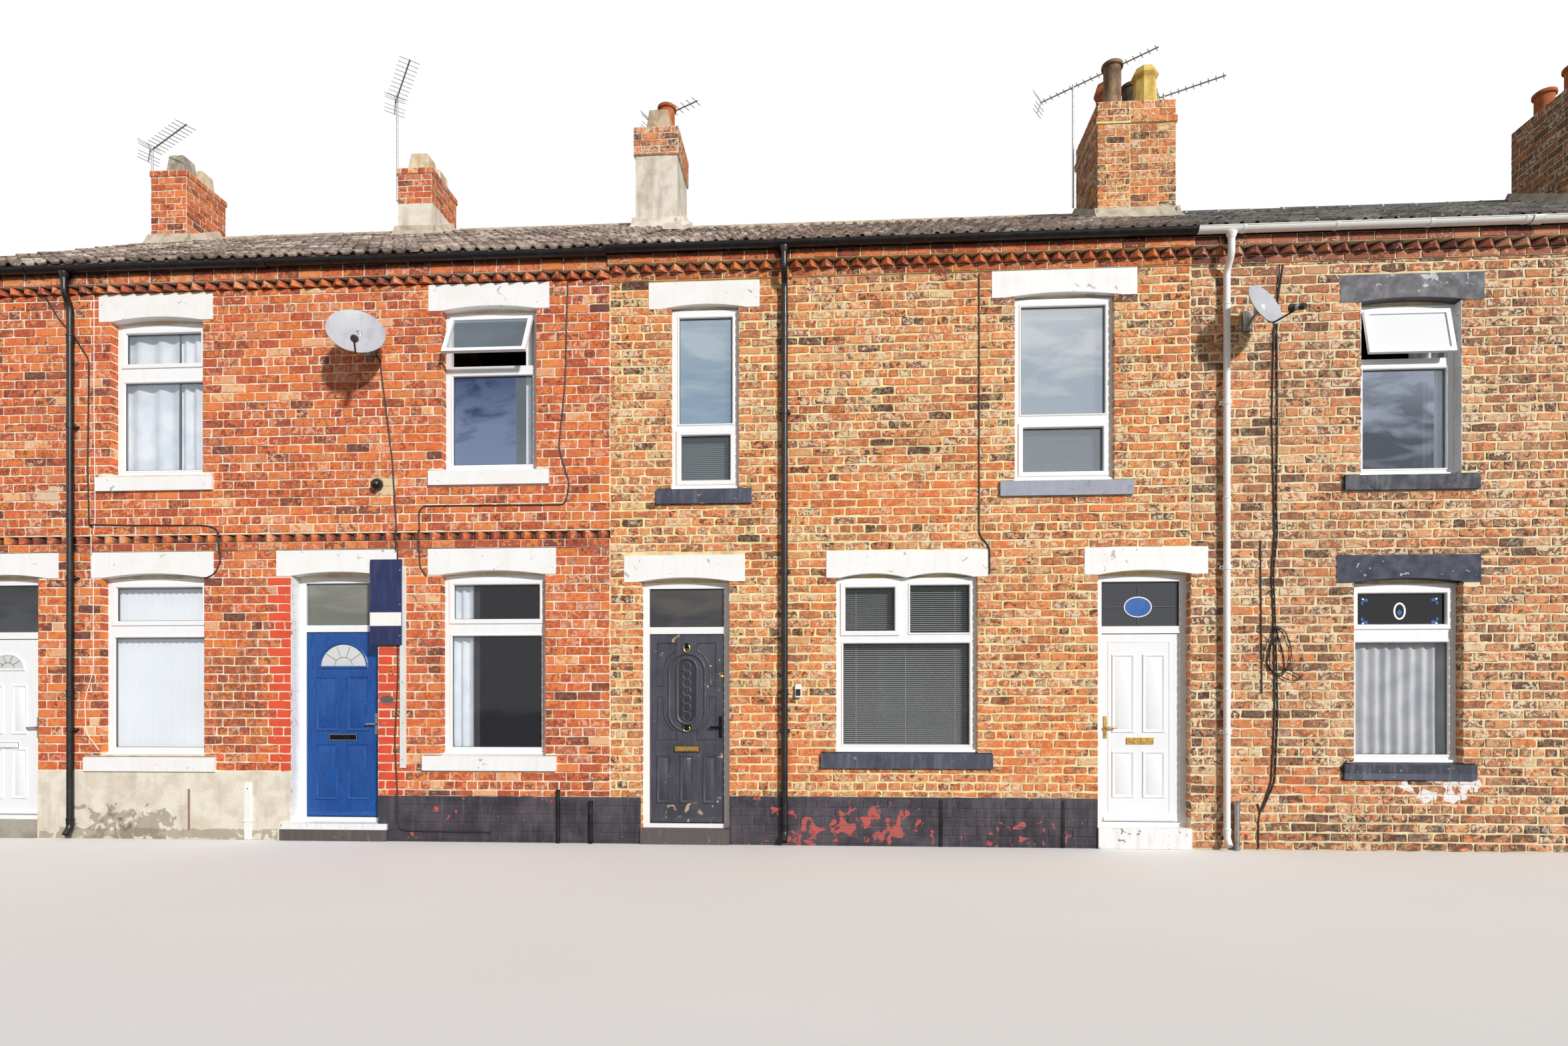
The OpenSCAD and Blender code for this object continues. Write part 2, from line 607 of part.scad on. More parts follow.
module window_glass() color("lightblue") from_corner() {
    for (w = front_windows) {
        open_z = w[0] == win_b_up ? 5200 : w[0] == win_d_up ? 5050 : 9999;
        glazing(w[0], w[1], concat(w[2], [[w[0][0], open_z, w[0][2], 1500]]));
    }
    for (o = rear_windows) glazing(o, house_depth - recess - frame_d, [transom(o, o[1] + 1000, 90)]);
    for (d = leaf_list) transom_pane(d);
    hung_light(win_b_up, 5250, recess, light_swings[0]) light_pane(win_b_up, 5250);
    hung_light(win_d_up, 5100, recess, light_swings[1]) light_pane(win_d_up, 5100);
}
module light_pane(o, z_low) {
    w = o[2] - 2 * frame_b - 10;
    h = o[1] + o[3] - frame_b - z_low;
    upright(-25, glass_t) translate([45, 45]) square([w - 90, h - 90]);
}

// Doors: opening, frame recess, hinge on the left, leaf height
leaf_a = [door_a, recess, true, 2010];
leaf_b = [door_b, recess_b, true, 2075];
leaf_c1 = [door_c1, recess, true, 2060];
leaf_c2 = [door_c2, recess, false, 1990];
leaf_d = [door_d, recess, true, 2060];
leaf_list = [leaf_a, leaf_b, leaf_c1, leaf_c2, leaf_d];
cill_h = 45;
rail_h = 75;
rebate = 13;
lap = 12;
function frame_left(d) = d[0][0];
function frame_right(d) = d[0][0] + d[0][2];
function leaf_low(d) = d[0][1] + cill_h + leaf_gap;
function leaf_high(d) = leaf_low(d) + d[3];
function frame_top(d) = d[0][1] + d[0][3];
function leaf_left(d) = frame_left(d) + frame_b + (d[2] ? leaf_gap : closing_gap);
function leaf_right(d) = frame_right(d) - frame_b - (d[2] ? closing_gap : leaf_gap);
// Jambs have a rebate on the outside that the leaf closes against
function jamb_points(s) = [
    [0, 0], [s * (frame_b + lap), 0], [s * (frame_b + lap), rebate],
    [s * frame_b, rebate], [s * frame_b, frame_d], [0, frame_d]
];
module door_jamb_left(d) translate([frame_left(d), d[1], d[0][1]]) linear_extrude(d[0][3])
    polygon(jamb_points(1));
module door_jamb_right(d) translate([frame_right(d), d[1], d[0][1]]) linear_extrude(d[0][3])
    polygon(jamb_points(-1));
module door_jambs() color("white") from_corner() for (d = leaf_list) {
    door_jamb_left(d);
    door_jamb_right(d);
}
module door_rail(d, z0, z1) {
    x0 = frame_left(d) + frame_b + lap;
    x1 = frame_right(d) - frame_b - lap;
    translate([x0, d[1], z0]) cube([x1 - x0, frame_d, z1 - z0]);
}
module door_rails() color("white") from_corner() for (d = leaf_list) {
    door_rail(d, d[0][1], d[0][1] + cill_h);
    door_rail(d, leaf_high(d) + leaf_gap, leaf_high(d) + leaf_gap + rail_h);
    door_rail(d, frame_top(d) - frame_b, frame_top(d));
}
module transom_pane(d) {
    x0 = frame_left(d) + frame_b + lap;
    x1 = frame_right(d) - frame_b - lap;
    z0 = leaf_high(d) + leaf_gap + rail_h;
    upright(d[1] + frame_d / 2, glass_t) rect(x0, z0, x1 - x0, frame_top(d) - frame_b - z0);
}

// A leaf: slab with sunk panels, and knuckles on its hinge axis
leaf_y = 18;
axis_back = 8;
knuckle_r = 6;
function hinge_x(d) = d[2] ? leaf_left(d) - 2.5 : leaf_right(d) + 2.5;
function hinge_y(d) = d[1] + leaf_y + leaf_t + axis_back;
module knuckles(d) {
    for (t = [0.12, 0.5, 0.88]) {
        z = leaf_low(d) + t * d[3] - 45;
        translate([hinge_x(d), hinge_y(d), z]) cylinder(r = knuckle_r, h = 90);
        plate_x = d[2] ? hinge_x(d) : hinge_x(d) - 30;
        translate([plate_x, hinge_y(d) - axis_back, z]) cube([30, 4, 90]);
    }
}
module sunk(d, p, depth = 7, field = 22) {
    x0 = leaf_left(d) + p[0];
    z0 = leaf_low(d) + p[1];
    upright(d[1] + leaf_y - eps, depth + eps) difference() {
        rect(x0, z0, p[2], p[3]);
        rect(x0 + field, z0 + field, p[2] - 2 * field, p[3] - 2 * field);
    }
}
module leaf_slab(d) translate([leaf_left(d), d[1] + leaf_y, leaf_low(d)])
    cube([leaf_right(d) - leaf_left(d), leaf_t, d[3]]);
function leaf_w(d) = leaf_right(d) - leaf_left(d);
function four_panels(d, z_low, h_low, z_up, h_up) = [
    for (i = [0:1]) each [
        [110 + i * (leaf_w(d) - 190) / 2, z_low, (leaf_w(d) - 250) / 2, h_low],
        [110 + i * (leaf_w(d) - 190) / 2, z_up, (leaf_w(d) - 250) / 2, h_up]
    ]
];
module letter_plate(d, z, w = 270) {
    x = (leaf_left(d) + leaf_right(d)) / 2;
    translate([x - w / 2, d[1] + leaf_y - 6, leaf_low(d) + z]) cube([w, 8, 60]);
}
module lever(d, z) {
    x = d[2] ? leaf_right(d) - 45 : leaf_left(d) + 45;
    dir = d[2] ? -1 : 1;
    translate([x - 15, d[1] + leaf_y - 8, leaf_low(d) + z - 110]) cube([30, 10, 220]);
    translate([x, d[1] + leaf_y + 2, leaf_low(d) + z]) rotate([90, 0, 0]) cylinder(r = 9, h = 50);
    rod([x, d[1] + leaf_y - 44, leaf_low(d) + z], [x + dir * 105, d[1] + leaf_y - 44, leaf_low(d) + z], 8);
}
function ellipse_points(cx, cz, rx, rz, n = 48) =
    [for (i = [0:n - 1]) [cx + rx * cos(i * 360 / n), cz + rz * sin(i * 360 / n)]];
module on_leaf(d, depth = 7) upright(d[1] + leaf_y - eps, depth + eps)
    translate([leaf_left(d), leaf_low(d)]) children();
module fan_light(d, z, r) {
    cx = leaf_w(d) / 2;
    on_leaf(d) difference() {
        intersection() {
            translate([cx, z]) circle(r = r);
            translate([cx - r, z]) square([2 * r, r]);
        }
        intersection() {
            translate([cx, z]) circle(r = r - 22);
            translate([cx - r, z + 22]) square([2 * r, r]);
        }
    }
}
module door_leaf_a() color("whitesmoke") from_corner() {
    difference() {
        leaf_slab(leaf_a);
        for (p = four_panels(leaf_a, 170, 560, 860, 600)) sunk(leaf_a, p);
        fan_light(leaf_a, 1560, 270);
    }
    knuckles(leaf_a);
    letter_plate(leaf_a, 765);
    lever(leaf_a, 980);
}
module door_leaf_b() color("navy") from_corner() {
    difference() {
        leaf_slab(leaf_b);
        for (p = four_panels(leaf_b, 170, 560, 860, 640)) sunk(leaf_b, p);
        fan_light(leaf_b, 1600, 290);
    }
    knuckles(leaf_b);
    letter_plate(leaf_b, 770);
    lever(leaf_b, 1000);
}
module door_leaf_c1() color("black") from_corner() {
    w = leaf_w(leaf_c1);
    difference() {
        leaf_slab(leaf_c1);
        for (i = [0:2]) sunk(leaf_c1, [90 + i * (w - 160) / 3, 210, (w - 240) / 3, 520]);
        on_leaf(leaf_c1) difference() {
            polygon(ellipse_points(w / 2, 1420, 0.36 * w, 540));
            polygon(ellipse_points(w / 2, 1420, 0.32 * w, 510));
        }
        on_leaf(leaf_c1) polygon(ellipse_points(w / 2, 1420, 0.14 * w, 340));
    }
    knuckles(leaf_c1);
    letter_plate(leaf_c1, 790);
}
module door_leaf_c2() color("white") from_corner() {
    difference() {
        leaf_slab(leaf_c2);
        for (p = four_panels(leaf_c2, 260, 480, 960, 800)) sunk(leaf_c2, p);
    }
    knuckles(leaf_c2);
    letter_plate(leaf_c2, 820);
    lever(leaf_c2, 980);
}
// Doors that stay shut: the front door of house D and the rear doors
module plain_leaf(o, y) upright(y, leaf_t) difference() {
    opening(o);
    rect(o[0] + 180, o[1] + 1150, o[2] - 360, 700);
}
rear_doors = concat(rear_doors_red, rear_doors_c, rear_doors_d);
module fixed_doors() color("seagreen") from_corner() {
    difference() {
        leaf_slab(leaf_d);
        for (p = four_panels(leaf_d, 170, 560, 860, 640)) sunk(leaf_d, p);
    }
    for (o = rear_doors) {
        plain_leaf(o, house_depth - recess - leaf_t);
        upright(house_depth - recess - leaf_t / 2, glass_t) rect(o[0] + 180, o[1] + 1150, o[2] - 360, 700);
    }
}

// Satellite dishes on arms from the wall: radius, turn and tilt of the bowl, place of the feed in it
dish_out = 330;
module dish(x, z, r, turn, tilt, feed) {
    translate([x, -dish_out, z]) rotate([0, 0, turn]) rotate([90 - tilt, 0, 0]) {
        rotate_extrude() polygon(concat(
            [for (i = [0:8]) [r * i / 8, 0.18 * r * pow(i / 8, 2)]],
            [for (i = [8:-1:0]) [r * i / 8, 0.18 * r * pow(i / 8, 2) - 4]]
        ));
        rod([0, -r * 0.9, 0.14 * r], feed, 9);
        translate(feed) cylinder(r = 22, h = 70, center = true);
    }
    rod([x, -dish_out + 10, z], [x, -60, z], 16);
    translate([x - 20, -62, z - 90]) cube([40, 62, 180]);
}
module satellite_dishes() color("gray") from_corner() {
    dish(5236, 5450, 280, 28, 22, [0, -280, 290]);
    dish(14592, 5480, 225, 30, 20, [0, -225, 340]);
}

// Roof aerials: mast, boom, cross rods and a reflector behind them
aerial_dir = [-0.883, 0.469, 0];
boom_drop = 40;
reflector_h = 140;
module reflector(root, dir, side, h) for (up = [-1, 1]) {
    tip = root + dir * h / 2 + [0, 0, up * h];
    rod(root, tip, 7);
    for (t = [0.35, 0.65, 0.95]) {
        middle = root + (tip - root) * t;
        rod(middle - side * h, middle + side * h, 4);
    }
}
module aerial(foot, top, boom_near, boom_far, dir, rods, half) {
    side = [-dir[1], dir[0], 0];
    rod(foot, [foot[0], foot[1], top], 14);
    head = [foot[0], foot[1], top - boom_drop];
    rod(head - dir * boom_near, head + dir * boom_far, 10);
    for (i = [0:rods - 1]) {
        p = head + dir * (-boom_near + (i + 0.3) * (boom_near + boom_far) / rods);
        rod(p - side * half, p + side * half, 5);
    }
    reflector(head + dir * (boom_far - 15), dir, side, reflector_h);
}
module aerials() color("silver") from_corner() {
    aerial([173, 2950, 8850], 9800, 1060, 80, aerial_dir, 11, 130);
    aerial([3947, 2930, 8850], 10410, 890, 150, [-0.624, 0.7815, 0], 11, 130);
    aerial([7790, 3734, 9000], 10560, 560, 390, aerial_dir, 9, 100);
    aerial([13810, 3515, 8750], 10550, 1187, 500, [-0.804, 0.595, 0], 17, 60);
    aerial([14906, 3000, 9000], 10000, 770, 60, aerial_dir, 9, 60);
}

// Cables clipped along the front: points of the front face, and how far out they lie
cable_r = 6;
module cable(points, out = 0) upright(-out - 2 * cable_r, 2 * cable_r) stroke(points, cable_r);
module over_band(x) {
    cable([[x, string_z - 20], [x, string_teeth_z + string_h + 20]], under_out);
    for (z = [string_z - 20, string_teeth_z + string_h])
        translate([x - cable_r, -under_out - cable_r, z]) cube([2 * cable_r, under_out + cable_r, 20]);
}
band_above = string_teeth_z + string_h + 10;
band_below = string_z - 10;
module wall_cables() color("black") from_corner() {
    cable([[1930, 6100], [1940, band_above]]);
    over_band(1940);
    cable([[1940, band_below], [1930, 2300], [1850, 1500], [1900, 1300], [1900, 1050], [2060, 985]]);
    cable([[7430, 6100], [7400, 5000], [7330, 4300], [7450, 3900]]);
    cable([[7450, 3900], [7400, 3680], [5780, 3660], [5770, band_above]]);
    over_band(5770);
    cable([[5770, band_below], [5780, 3000], [5850, 2915]]);
    cable([[5290, 5400], [5380, 5380], [5460, 5000], [5530, 4200], [5530, band_above]]);
    over_band(5530);
    cable([[5530, band_below], [5525, 1800], [5490, 1100], [5520, 510]]);
    cable([[5520, 520], [5520, 180], [5600, 120], [6580, 110]], render_out);
    cable([[11853, 6060], [11853, 3300], [11962, 3170], [11962, 2890]]);
    cable([[14890, 6060], [14880, 5500], [14920, 3900], [14900, 2400]]);
    cable([[14900, 2400], [14840, 1750], [15000, 900], [14960, 60]]);
    cable([[14730, 3060], [14720, 1640]]);
}

// Plain board on a batten beside the door of house B
batten_t = 28;
board_t = 20;
module sale_board() color("navy") from_corner() {
    translate([5552, -batten_t, 805]) cube([68, batten_t, 2225]);
    translate([5227, -batten_t - board_t, 2160]) cube([355, board_t, 938]);
}

// Window dressings hang inside the frames
dress_gap = 40;
dress_t = 12;
module dressing(o, y) translate([o[0], y + frame_d + dress_gap, o[1] + frame_b])
    cube([o[2], dress_t, o[3] - frame_b]);
module curtains() color("white") from_corner() {
    dressing(win_a_up, recess);
    dressing(win_b_up, recess);
    dressing(win_b_low, recess);
    dressing(win_d_up, recess);
    dressing(win_d_low, recess);
}
module blinds() color("whitesmoke") from_corner() {
    dressing(win_a_low, recess);
    dressing(win_c_low, recess_c);
    dressing(win_c_slim, recess_c);
    dressing(win_c_up, recess_c);
}

front_wall_upper_red();
front_wall_upper_c();
front_wall_upper_d();
front_wall_ground_red();
front_wall_ground_c();
front_wall_ground_d();
party_walls();
rear_wall_red();
rear_wall_c();
rear_wall_d();
ground_floor();
first_floor();
roof_tiles_abc();
roof_slates_d();
ridge_tiles();
chimney_a();
chimney_b();
chimney_bc();
chimney_cd();
chimney_d();
chimney_pots();
eaves_band_red();
eaves_band_c();
eaves_band_d();
string_band();
gutters_black();
gutters_white();
downpipes_black();
downpipes_white();
lintels_white();
lintels_dark();
sills_light();
sills_dark();
door_steps();
plinth_render();
plinth_black();
window_frames();
window_glass();
door_jambs();
door_rails();
door_leaf_a();
door_leaf_b();
door_leaf_c1();
door_leaf_c2();
fixed_doors();
satellite_dishes();
aerials();
wall_cables();
sale_board();
curtains();
blinds();
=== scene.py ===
"""Looks of a row of four terraced brick houses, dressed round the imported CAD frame.

All sizes are metres. X runs along the row from its left end, Y goes back from the front
face and Z goes up from the pavement; CORNER moves every mesh from there into the frame.
"""

import logging
import math
from collections.abc import Callable, Iterable, Sequence
from dataclasses import dataclass, field, replace
from enum import Enum

import bpy
import numpy as np
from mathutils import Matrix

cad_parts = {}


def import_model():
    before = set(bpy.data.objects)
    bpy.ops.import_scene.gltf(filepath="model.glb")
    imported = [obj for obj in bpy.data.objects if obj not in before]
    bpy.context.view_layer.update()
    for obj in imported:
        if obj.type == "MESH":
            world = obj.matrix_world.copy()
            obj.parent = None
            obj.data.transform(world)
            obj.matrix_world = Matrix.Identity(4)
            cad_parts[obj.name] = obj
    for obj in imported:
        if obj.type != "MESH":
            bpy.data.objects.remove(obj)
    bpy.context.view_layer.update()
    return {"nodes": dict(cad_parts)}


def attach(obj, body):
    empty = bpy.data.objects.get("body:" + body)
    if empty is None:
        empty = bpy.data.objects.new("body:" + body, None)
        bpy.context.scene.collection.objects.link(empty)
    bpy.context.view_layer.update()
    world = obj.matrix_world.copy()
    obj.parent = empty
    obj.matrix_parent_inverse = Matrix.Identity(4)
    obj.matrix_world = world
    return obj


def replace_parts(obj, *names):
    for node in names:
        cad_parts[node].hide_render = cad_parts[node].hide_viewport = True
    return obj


LOG = logging.getLogger("terrace")

CORNER = np.array([-10.2, -3.55, 0.0])
ROW_W = 20.4
DEPTH = 7.1
RED_END = 7.895
C_END = 14.032
MM = 0.001
FORWARD = (0, -1, 0)
WHITE = (255, 255, 255)

Rgb = tuple[int, int, int]
Point = tuple[float, float, float]
Socket = bpy.types.NodeSocket
Value = float | tuple[float, ...] | bpy.types.NodeSocket
Section = Sequence[tuple[float, float]]
Faces = tuple[np.ndarray, np.ndarray, np.ndarray, np.ndarray]
Finish = bpy.types.Material


def linear(rgb: Rgb) -> tuple[float, float, float, float]:
    """Turns a colour on the 0-255 scale of a screen into a shader's values.

    Args:
        rgb: Red, green and blue from 0 to 255.

    Returns:
        The linear red, green, blue and an alpha of one.
    """
    parts = [c / 255 for c in rgb]
    r, g, b = (p / 12.92 if p <= 0.04045 else ((p + 0.055) / 1.055) ** 2.4 for p in parts)
    return (r, g, b, 1.0)


class Blend(Enum):
    """How one colour is laid over another."""

    OVER = "MIX"
    DARKEN = "MULTIPLY"


@dataclass(frozen=True)
class Zone:
    """A rectangle of the front that has a colour of its own, whole or in ragged patches; on glass some zones
    are painted sky reflections.
    """

    x0: float
    x1: float
    z0: float
    z1: float
    colour: Rgb
    cover: float = 1.0
    # On glass, the colour that the zone fades up to at its top; in some panes this is a painted sky
    # reflection.
    head: Rgb | None = None
    start: float = 0.0


class Graph:
    """Writes the shader nodes of one finish."""

    def __init__(self, name: str) -> None:
        """Starts an empty material.

        Args:
            name: The finish's name.
        """
        self.material = bpy.data.materials.new(name)
        self.material.use_nodes = True
        self.tree = self.material.node_tree
        self.tree.nodes.clear()
        self.place = self.node("ShaderNodeTexCoord").outputs["Object"]

    def feed(self, socket: Socket, value: Value) -> None:
        """Links a socket into another, or sets its plain value.

        Args:
            socket: The socket that takes the value.
            value: A number, a colour or another node's socket.
        """
        if isinstance(value, bpy.types.NodeSocket):
            self.tree.links.new(value, socket)
        else:
            socket.default_value = value

    def node(
        self, kind: str, inputs: dict[str | int, Value] | None = None, **settings: object
    ) -> bpy.types.Node:
        """Adds a node.

        Args:
            kind: Blender's name of the node type.
            inputs: Values or links of its input sockets.
            **settings: The node's own properties.

        Returns:
            The new node.
        """
        made = self.tree.nodes.new(kind)
        for key, value in settings.items():
            setattr(made, key, value)
        for key, value in (inputs or {}).items():
            self.feed(made.inputs[key], value)
        return made

    def noise(
        self, scale: float, detail: float = 3.0, stretch: Point | None = None, warp: float = 0.0
    ) -> Socket:
        """Adds cloudy noise.

        Args:
            scale: Clouds a metre.
            detail: How many finer layers it has.
            stretch: Scale along each axis, for streaks.
            warp: How far the noise is pulled about.

        Returns:
            The noise, from 0 to 1 and mostly near the middle.
        """
        place = self.place
        if stretch is not None:
            place = self.node("ShaderNodeMapping", {"Vector": place, "Scale": stretch}).outputs["Vector"]
        inputs: dict[str | int, Value] = {
            "Vector": place, "Scale": scale, "Detail": detail, "Distortion": warp
        }
        return self.node("ShaderNodeTexNoise", inputs).outputs["Fac"]

    def band(
        self, value: Socket, low: float, high: float, to_low: float = 0.0, to_high: float = 1.0
    ) -> Socket:
        """Spreads part of a value's range over another range, and clamps it.

        Args:
            value: The value.
            low: Where the range starts.
            high: Where the range ends.
            to_low: What the start becomes.
            to_high: What the end becomes.

        Returns:
            The new value.
        """
        inputs: dict[str | int, Value] = {0: value, 1: low, 2: high, 3: to_low, 4: to_high}
        return self.node("ShaderNodeMapRange", inputs, clamp=True).outputs[0]

    def calc(self, operation: str, a: Value, b: Value = 0.0) -> Socket:
        """Works out one sum.

        Args:
            operation: Blender's name of the operation.
            a: First value.
            b: Second value.

        Returns:
            The result.
        """
        return self.node("ShaderNodeMath", {0: a, 1: b}, operation=operation).outputs[0]

    def blend_value(self, amount: Socket, low: Value, high: float) -> Socket:
        """Goes from one number to another.

        Args:
            amount: How much of the second number counts.
            low: The first number.
            high: The second number.

        Returns:
            The number between them.
        """
        return self.node("ShaderNodeMix", {0: amount, 2: low, 3: high}, data_type="FLOAT").outputs[0]

    def axis(self, name: str) -> Socket:
        """Gives one coordinate of the surface's place, by the axis's letter."""
        return self.node("ShaderNodeSeparateXYZ", {0: self.place}).outputs[name]

    def inside(self, zone: Zone) -> Socket:
        """Gives one within a zone of the front and nothing outside it."""
        mask = self.band(self.axis("Y"), CORNER[1] + 0.5, CORNER[1] + 0.4)
        for name, low, high in (("X", zone.x0 + CORNER[0], zone.x1 + CORNER[0]), ("Z", zone.z0, zone.z1)):
            mask = self.calc("MULTIPLY", mask, self.band(self.axis(name), low - MM, low + MM))
            mask = self.calc("MULTIPLY", mask, self.band(self.axis(name), high + MM, high - MM))
        if zone.start > 0:
            x, z = (zone.x0 + zone.x1) / 2 + CORNER[0], (zone.z0 + zone.z1) / 2
            near = 0.0
            for name, middle, half in (("X", x, (zone.x1 - zone.x0) / 2), ("Z", z, (zone.z1 - zone.z0) / 2)):
                away = self.calc("ABSOLUTE", self.calc("SUBTRACT", self.axis(name), middle))
                near = self.calc("MAXIMUM", near, self.band(away, 0.5 * half, half, 0.0, 0.22))
            level = self.calc("SUBTRACT", self.noise(8.0, 6.0, warp=0.8), near)
            mask = self.calc("MULTIPLY", mask, self.band(level, zone.start, zone.start + 0.035))
        return mask

    def ramp(self, value: Socket, stops: Sequence[tuple[float, Rgb]]) -> Socket:
        """Turns a value into a colour.

        Args:
            value: The value, from 0 to 1.
            stops: Places and colours.

        Returns:
            The colour.
        """
        made = self.node("ShaderNodeValToRGB", {0: value})
        bar = made.color_ramp
        while len(bar.elements) < len(stops):
            bar.elements.new(0.5)
        for element, (where, rgb) in zip(bar.elements, sorted(stops, key=lambda stop: stop[0])):
            element.position, element.color = where, linear(rgb)
        return made.outputs[0]

    def mix(self, amount: Value, under: Value, over: Value, how: Blend = Blend.OVER) -> Socket:
        """Lays one colour over another.

        Args:
            amount: How much of the upper colour shows.
            under: The lower colour.
            over: The upper colour.
            how: The way they mix.

        Returns:
            The mixed colour.
        """
        inputs: dict[str | int, Value] = {0: amount, 6: under, 7: over}
        return self.node("ShaderNodeMix", inputs, data_type="RGBA", blend_type=how.value).outputs[2]

    def paint_zones(self, colour: Socket, zones: Sequence[Zone]) -> Socket:
        """Lays the colours of the front's zones over a colour.

        Args:
            colour: The colour under them.
            zones: The zones, from the lowest layer up.

        Returns:
            The colour with every zone on it.
        """
        for zone in zones:
            colour = self.mix(
                self.calc("MULTIPLY", self.inside(zone), zone.cover), colour, linear(zone.colour)
            )
        return colour

    def bump(self, height: Socket, depth: float, under: Socket | None = None) -> Socket:
        """Roughens the surface.

        Args:
            height: The relief.
            depth: Depth of the relief in metres.
            under: Another bump that this one lies on.

        Returns:
            The bent normal.
        """
        inputs: dict[str | int, Value] = {"Height": height, "Strength": 1.0, "Distance": depth}
        if under is not None:
            inputs["Normal"] = under
        return self.node("ShaderNodeBump", inputs).outputs[0]

    def surface(self, colour: Value, rough: Value, normal: Socket | None = None, **more: Value) -> Finish:
        """Ends the graph in a surface.

        Args:
            colour: Base colour.
            rough: Roughness.
            normal: Bent normal.
            **more: Other sockets, with an underscore for each space.

        Returns:
            The finished material.
        """
        shader = self.node("ShaderNodeBsdfPrincipled", {"Base Color": colour, "Roughness": rough})
        if normal is not None:
            self.feed(shader.inputs["Normal"], normal)
        for key, value in more.items():
            self.feed(shader.inputs[key.replace("_", " ")], value)
        out = self.node("ShaderNodeOutputMaterial")
        self.tree.links.new(shader.outputs[0], out.inputs["Surface"])
        return self.material


@dataclass(frozen=True)
class Mottle:
    """Patches of another colour, which cover some bricks more than others."""

    colour: Rgb
    start: float
    amount: float
    draw: float
    scale: float = 19.0


@dataclass(frozen=True)
class BrickFinish:
    """Fired bricks: a tone for each brick, mottled patches, lime bloom, grit and painted shade in the
    hollows.
    """

    name: str
    tones: tuple[tuple[float, Rgb], ...]
    mottles: tuple[Mottle, ...]
    bloom: Rgb = (246, 232, 205)
    bloom_amount: float = 0.35
    bloom_from: float = 0.56
    painted_shade_reach: float = 0.0
    # Reach of the painted shade in hollows, in metres; nought leaves it out.
    zones: tuple[Zone, ...] = ()

    def build(self) -> Finish:
        """Returns the material."""
        g = Graph(self.name)
        tone = g.node("ShaderNodeAttribute", attribute_name="tone").outputs["Fac"]
        colour = g.ramp(tone, self.tones)
        for mottle in self.mottles:
            own = g.calc("FRACT", g.calc("MULTIPLY", tone, mottle.draw))
            level = g.calc("ADD", g.noise(mottle.scale, 5.0, warp=0.9), g.calc("MULTIPLY", own, 0.22))
            cover = g.band(level, mottle.start, mottle.start + 0.06, 0.0, mottle.amount)
            colour = g.mix(cover, colour, linear(mottle.colour))
        colour = g.paint_zones(colour, self.zones)
        grit = g.noise(260.0, 2.0)
        speckle = g.ramp(grit, [(0.3, (196, 188, 182)), (0.5, WHITE), (0.72, WHITE)])
        colour = g.mix(0.55, colour, speckle, Blend.DARKEN)
        bloom = g.band(g.noise(2.6, 5.0, warp=0.4), self.bloom_from, self.bloom_from + 0.17, 0.0, 1.0)
        smear = g.band(g.noise(24.0, 4.0, warp=1.0), 0.44, 0.66, 0.0, self.bloom_amount)
        broad = g.calc("MULTIPLY_ADD", bloom, 0.75)
        g.feed(broad.node.inputs[2], 0.3)
        colour = g.mix(g.calc("MULTIPLY", smear, broad), colour, linear(self.bloom))
        # Painted shade: ambient occlusion darkens the colour in hollows and between the bricks, where shadow
        # falls.
        if self.painted_shade_reach > 0:
            open_sky = g.node(
                "ShaderNodeAmbientOcclusion", {"Distance": self.painted_shade_reach}, samples=5
            ).outputs["AO"]
            painted_hollow_shade = g.ramp(open_sky, [(0.34, (36, 26, 24)), (0.6, (140, 128, 124)), (0.84, WHITE)])
            colour = g.mix(1.0, colour, painted_hollow_shade, Blend.DARKEN)
        relief = g.bump(g.noise(34.0, 4.0, warp=0.8), 2.2 * MM)
        relief = g.bump(grit, 0.9 * MM, relief)
        return g.surface(colour, 0.9, relief)


@dataclass(frozen=True)
class MortarFinish:
    """Lime or cement mortar, sandy and unevenly weathered."""

    name: str
    base: Rgb
    dark: Rgb
    stain: Rgb = (120, 100, 84)
    stain_amount: float = 0.35
    grain: float = 1.6
    zones: tuple[Zone, ...] = ()

    def build(self) -> Finish:
        """Returns the material."""
        g = Graph(self.name)
        clouds = g.noise(6.0, 5.0, warp=0.5)
        colour = g.ramp(clouds, [(0.33, self.dark), (0.58, self.base)])
        colour = g.paint_zones(colour, self.zones)
        runs = g.band(g.noise(3.0, 4.0, (2.2, 2.2, 0.35)), 0.52, 0.72, 0.0, self.stain_amount)
        colour = g.mix(runs, colour, linear(self.stain))
        sand = g.noise(320.0, 2.0)
        colour = g.mix(0.5, colour, g.ramp(sand, [(0.3, (190, 182, 172)), (0.55, WHITE)]), Blend.DARKEN)
        relief = g.bump(g.noise(45.0, 4.0), self.grain * MM)
        return g.surface(colour, 0.93, g.bump(sand, 0.8 * MM, relief))


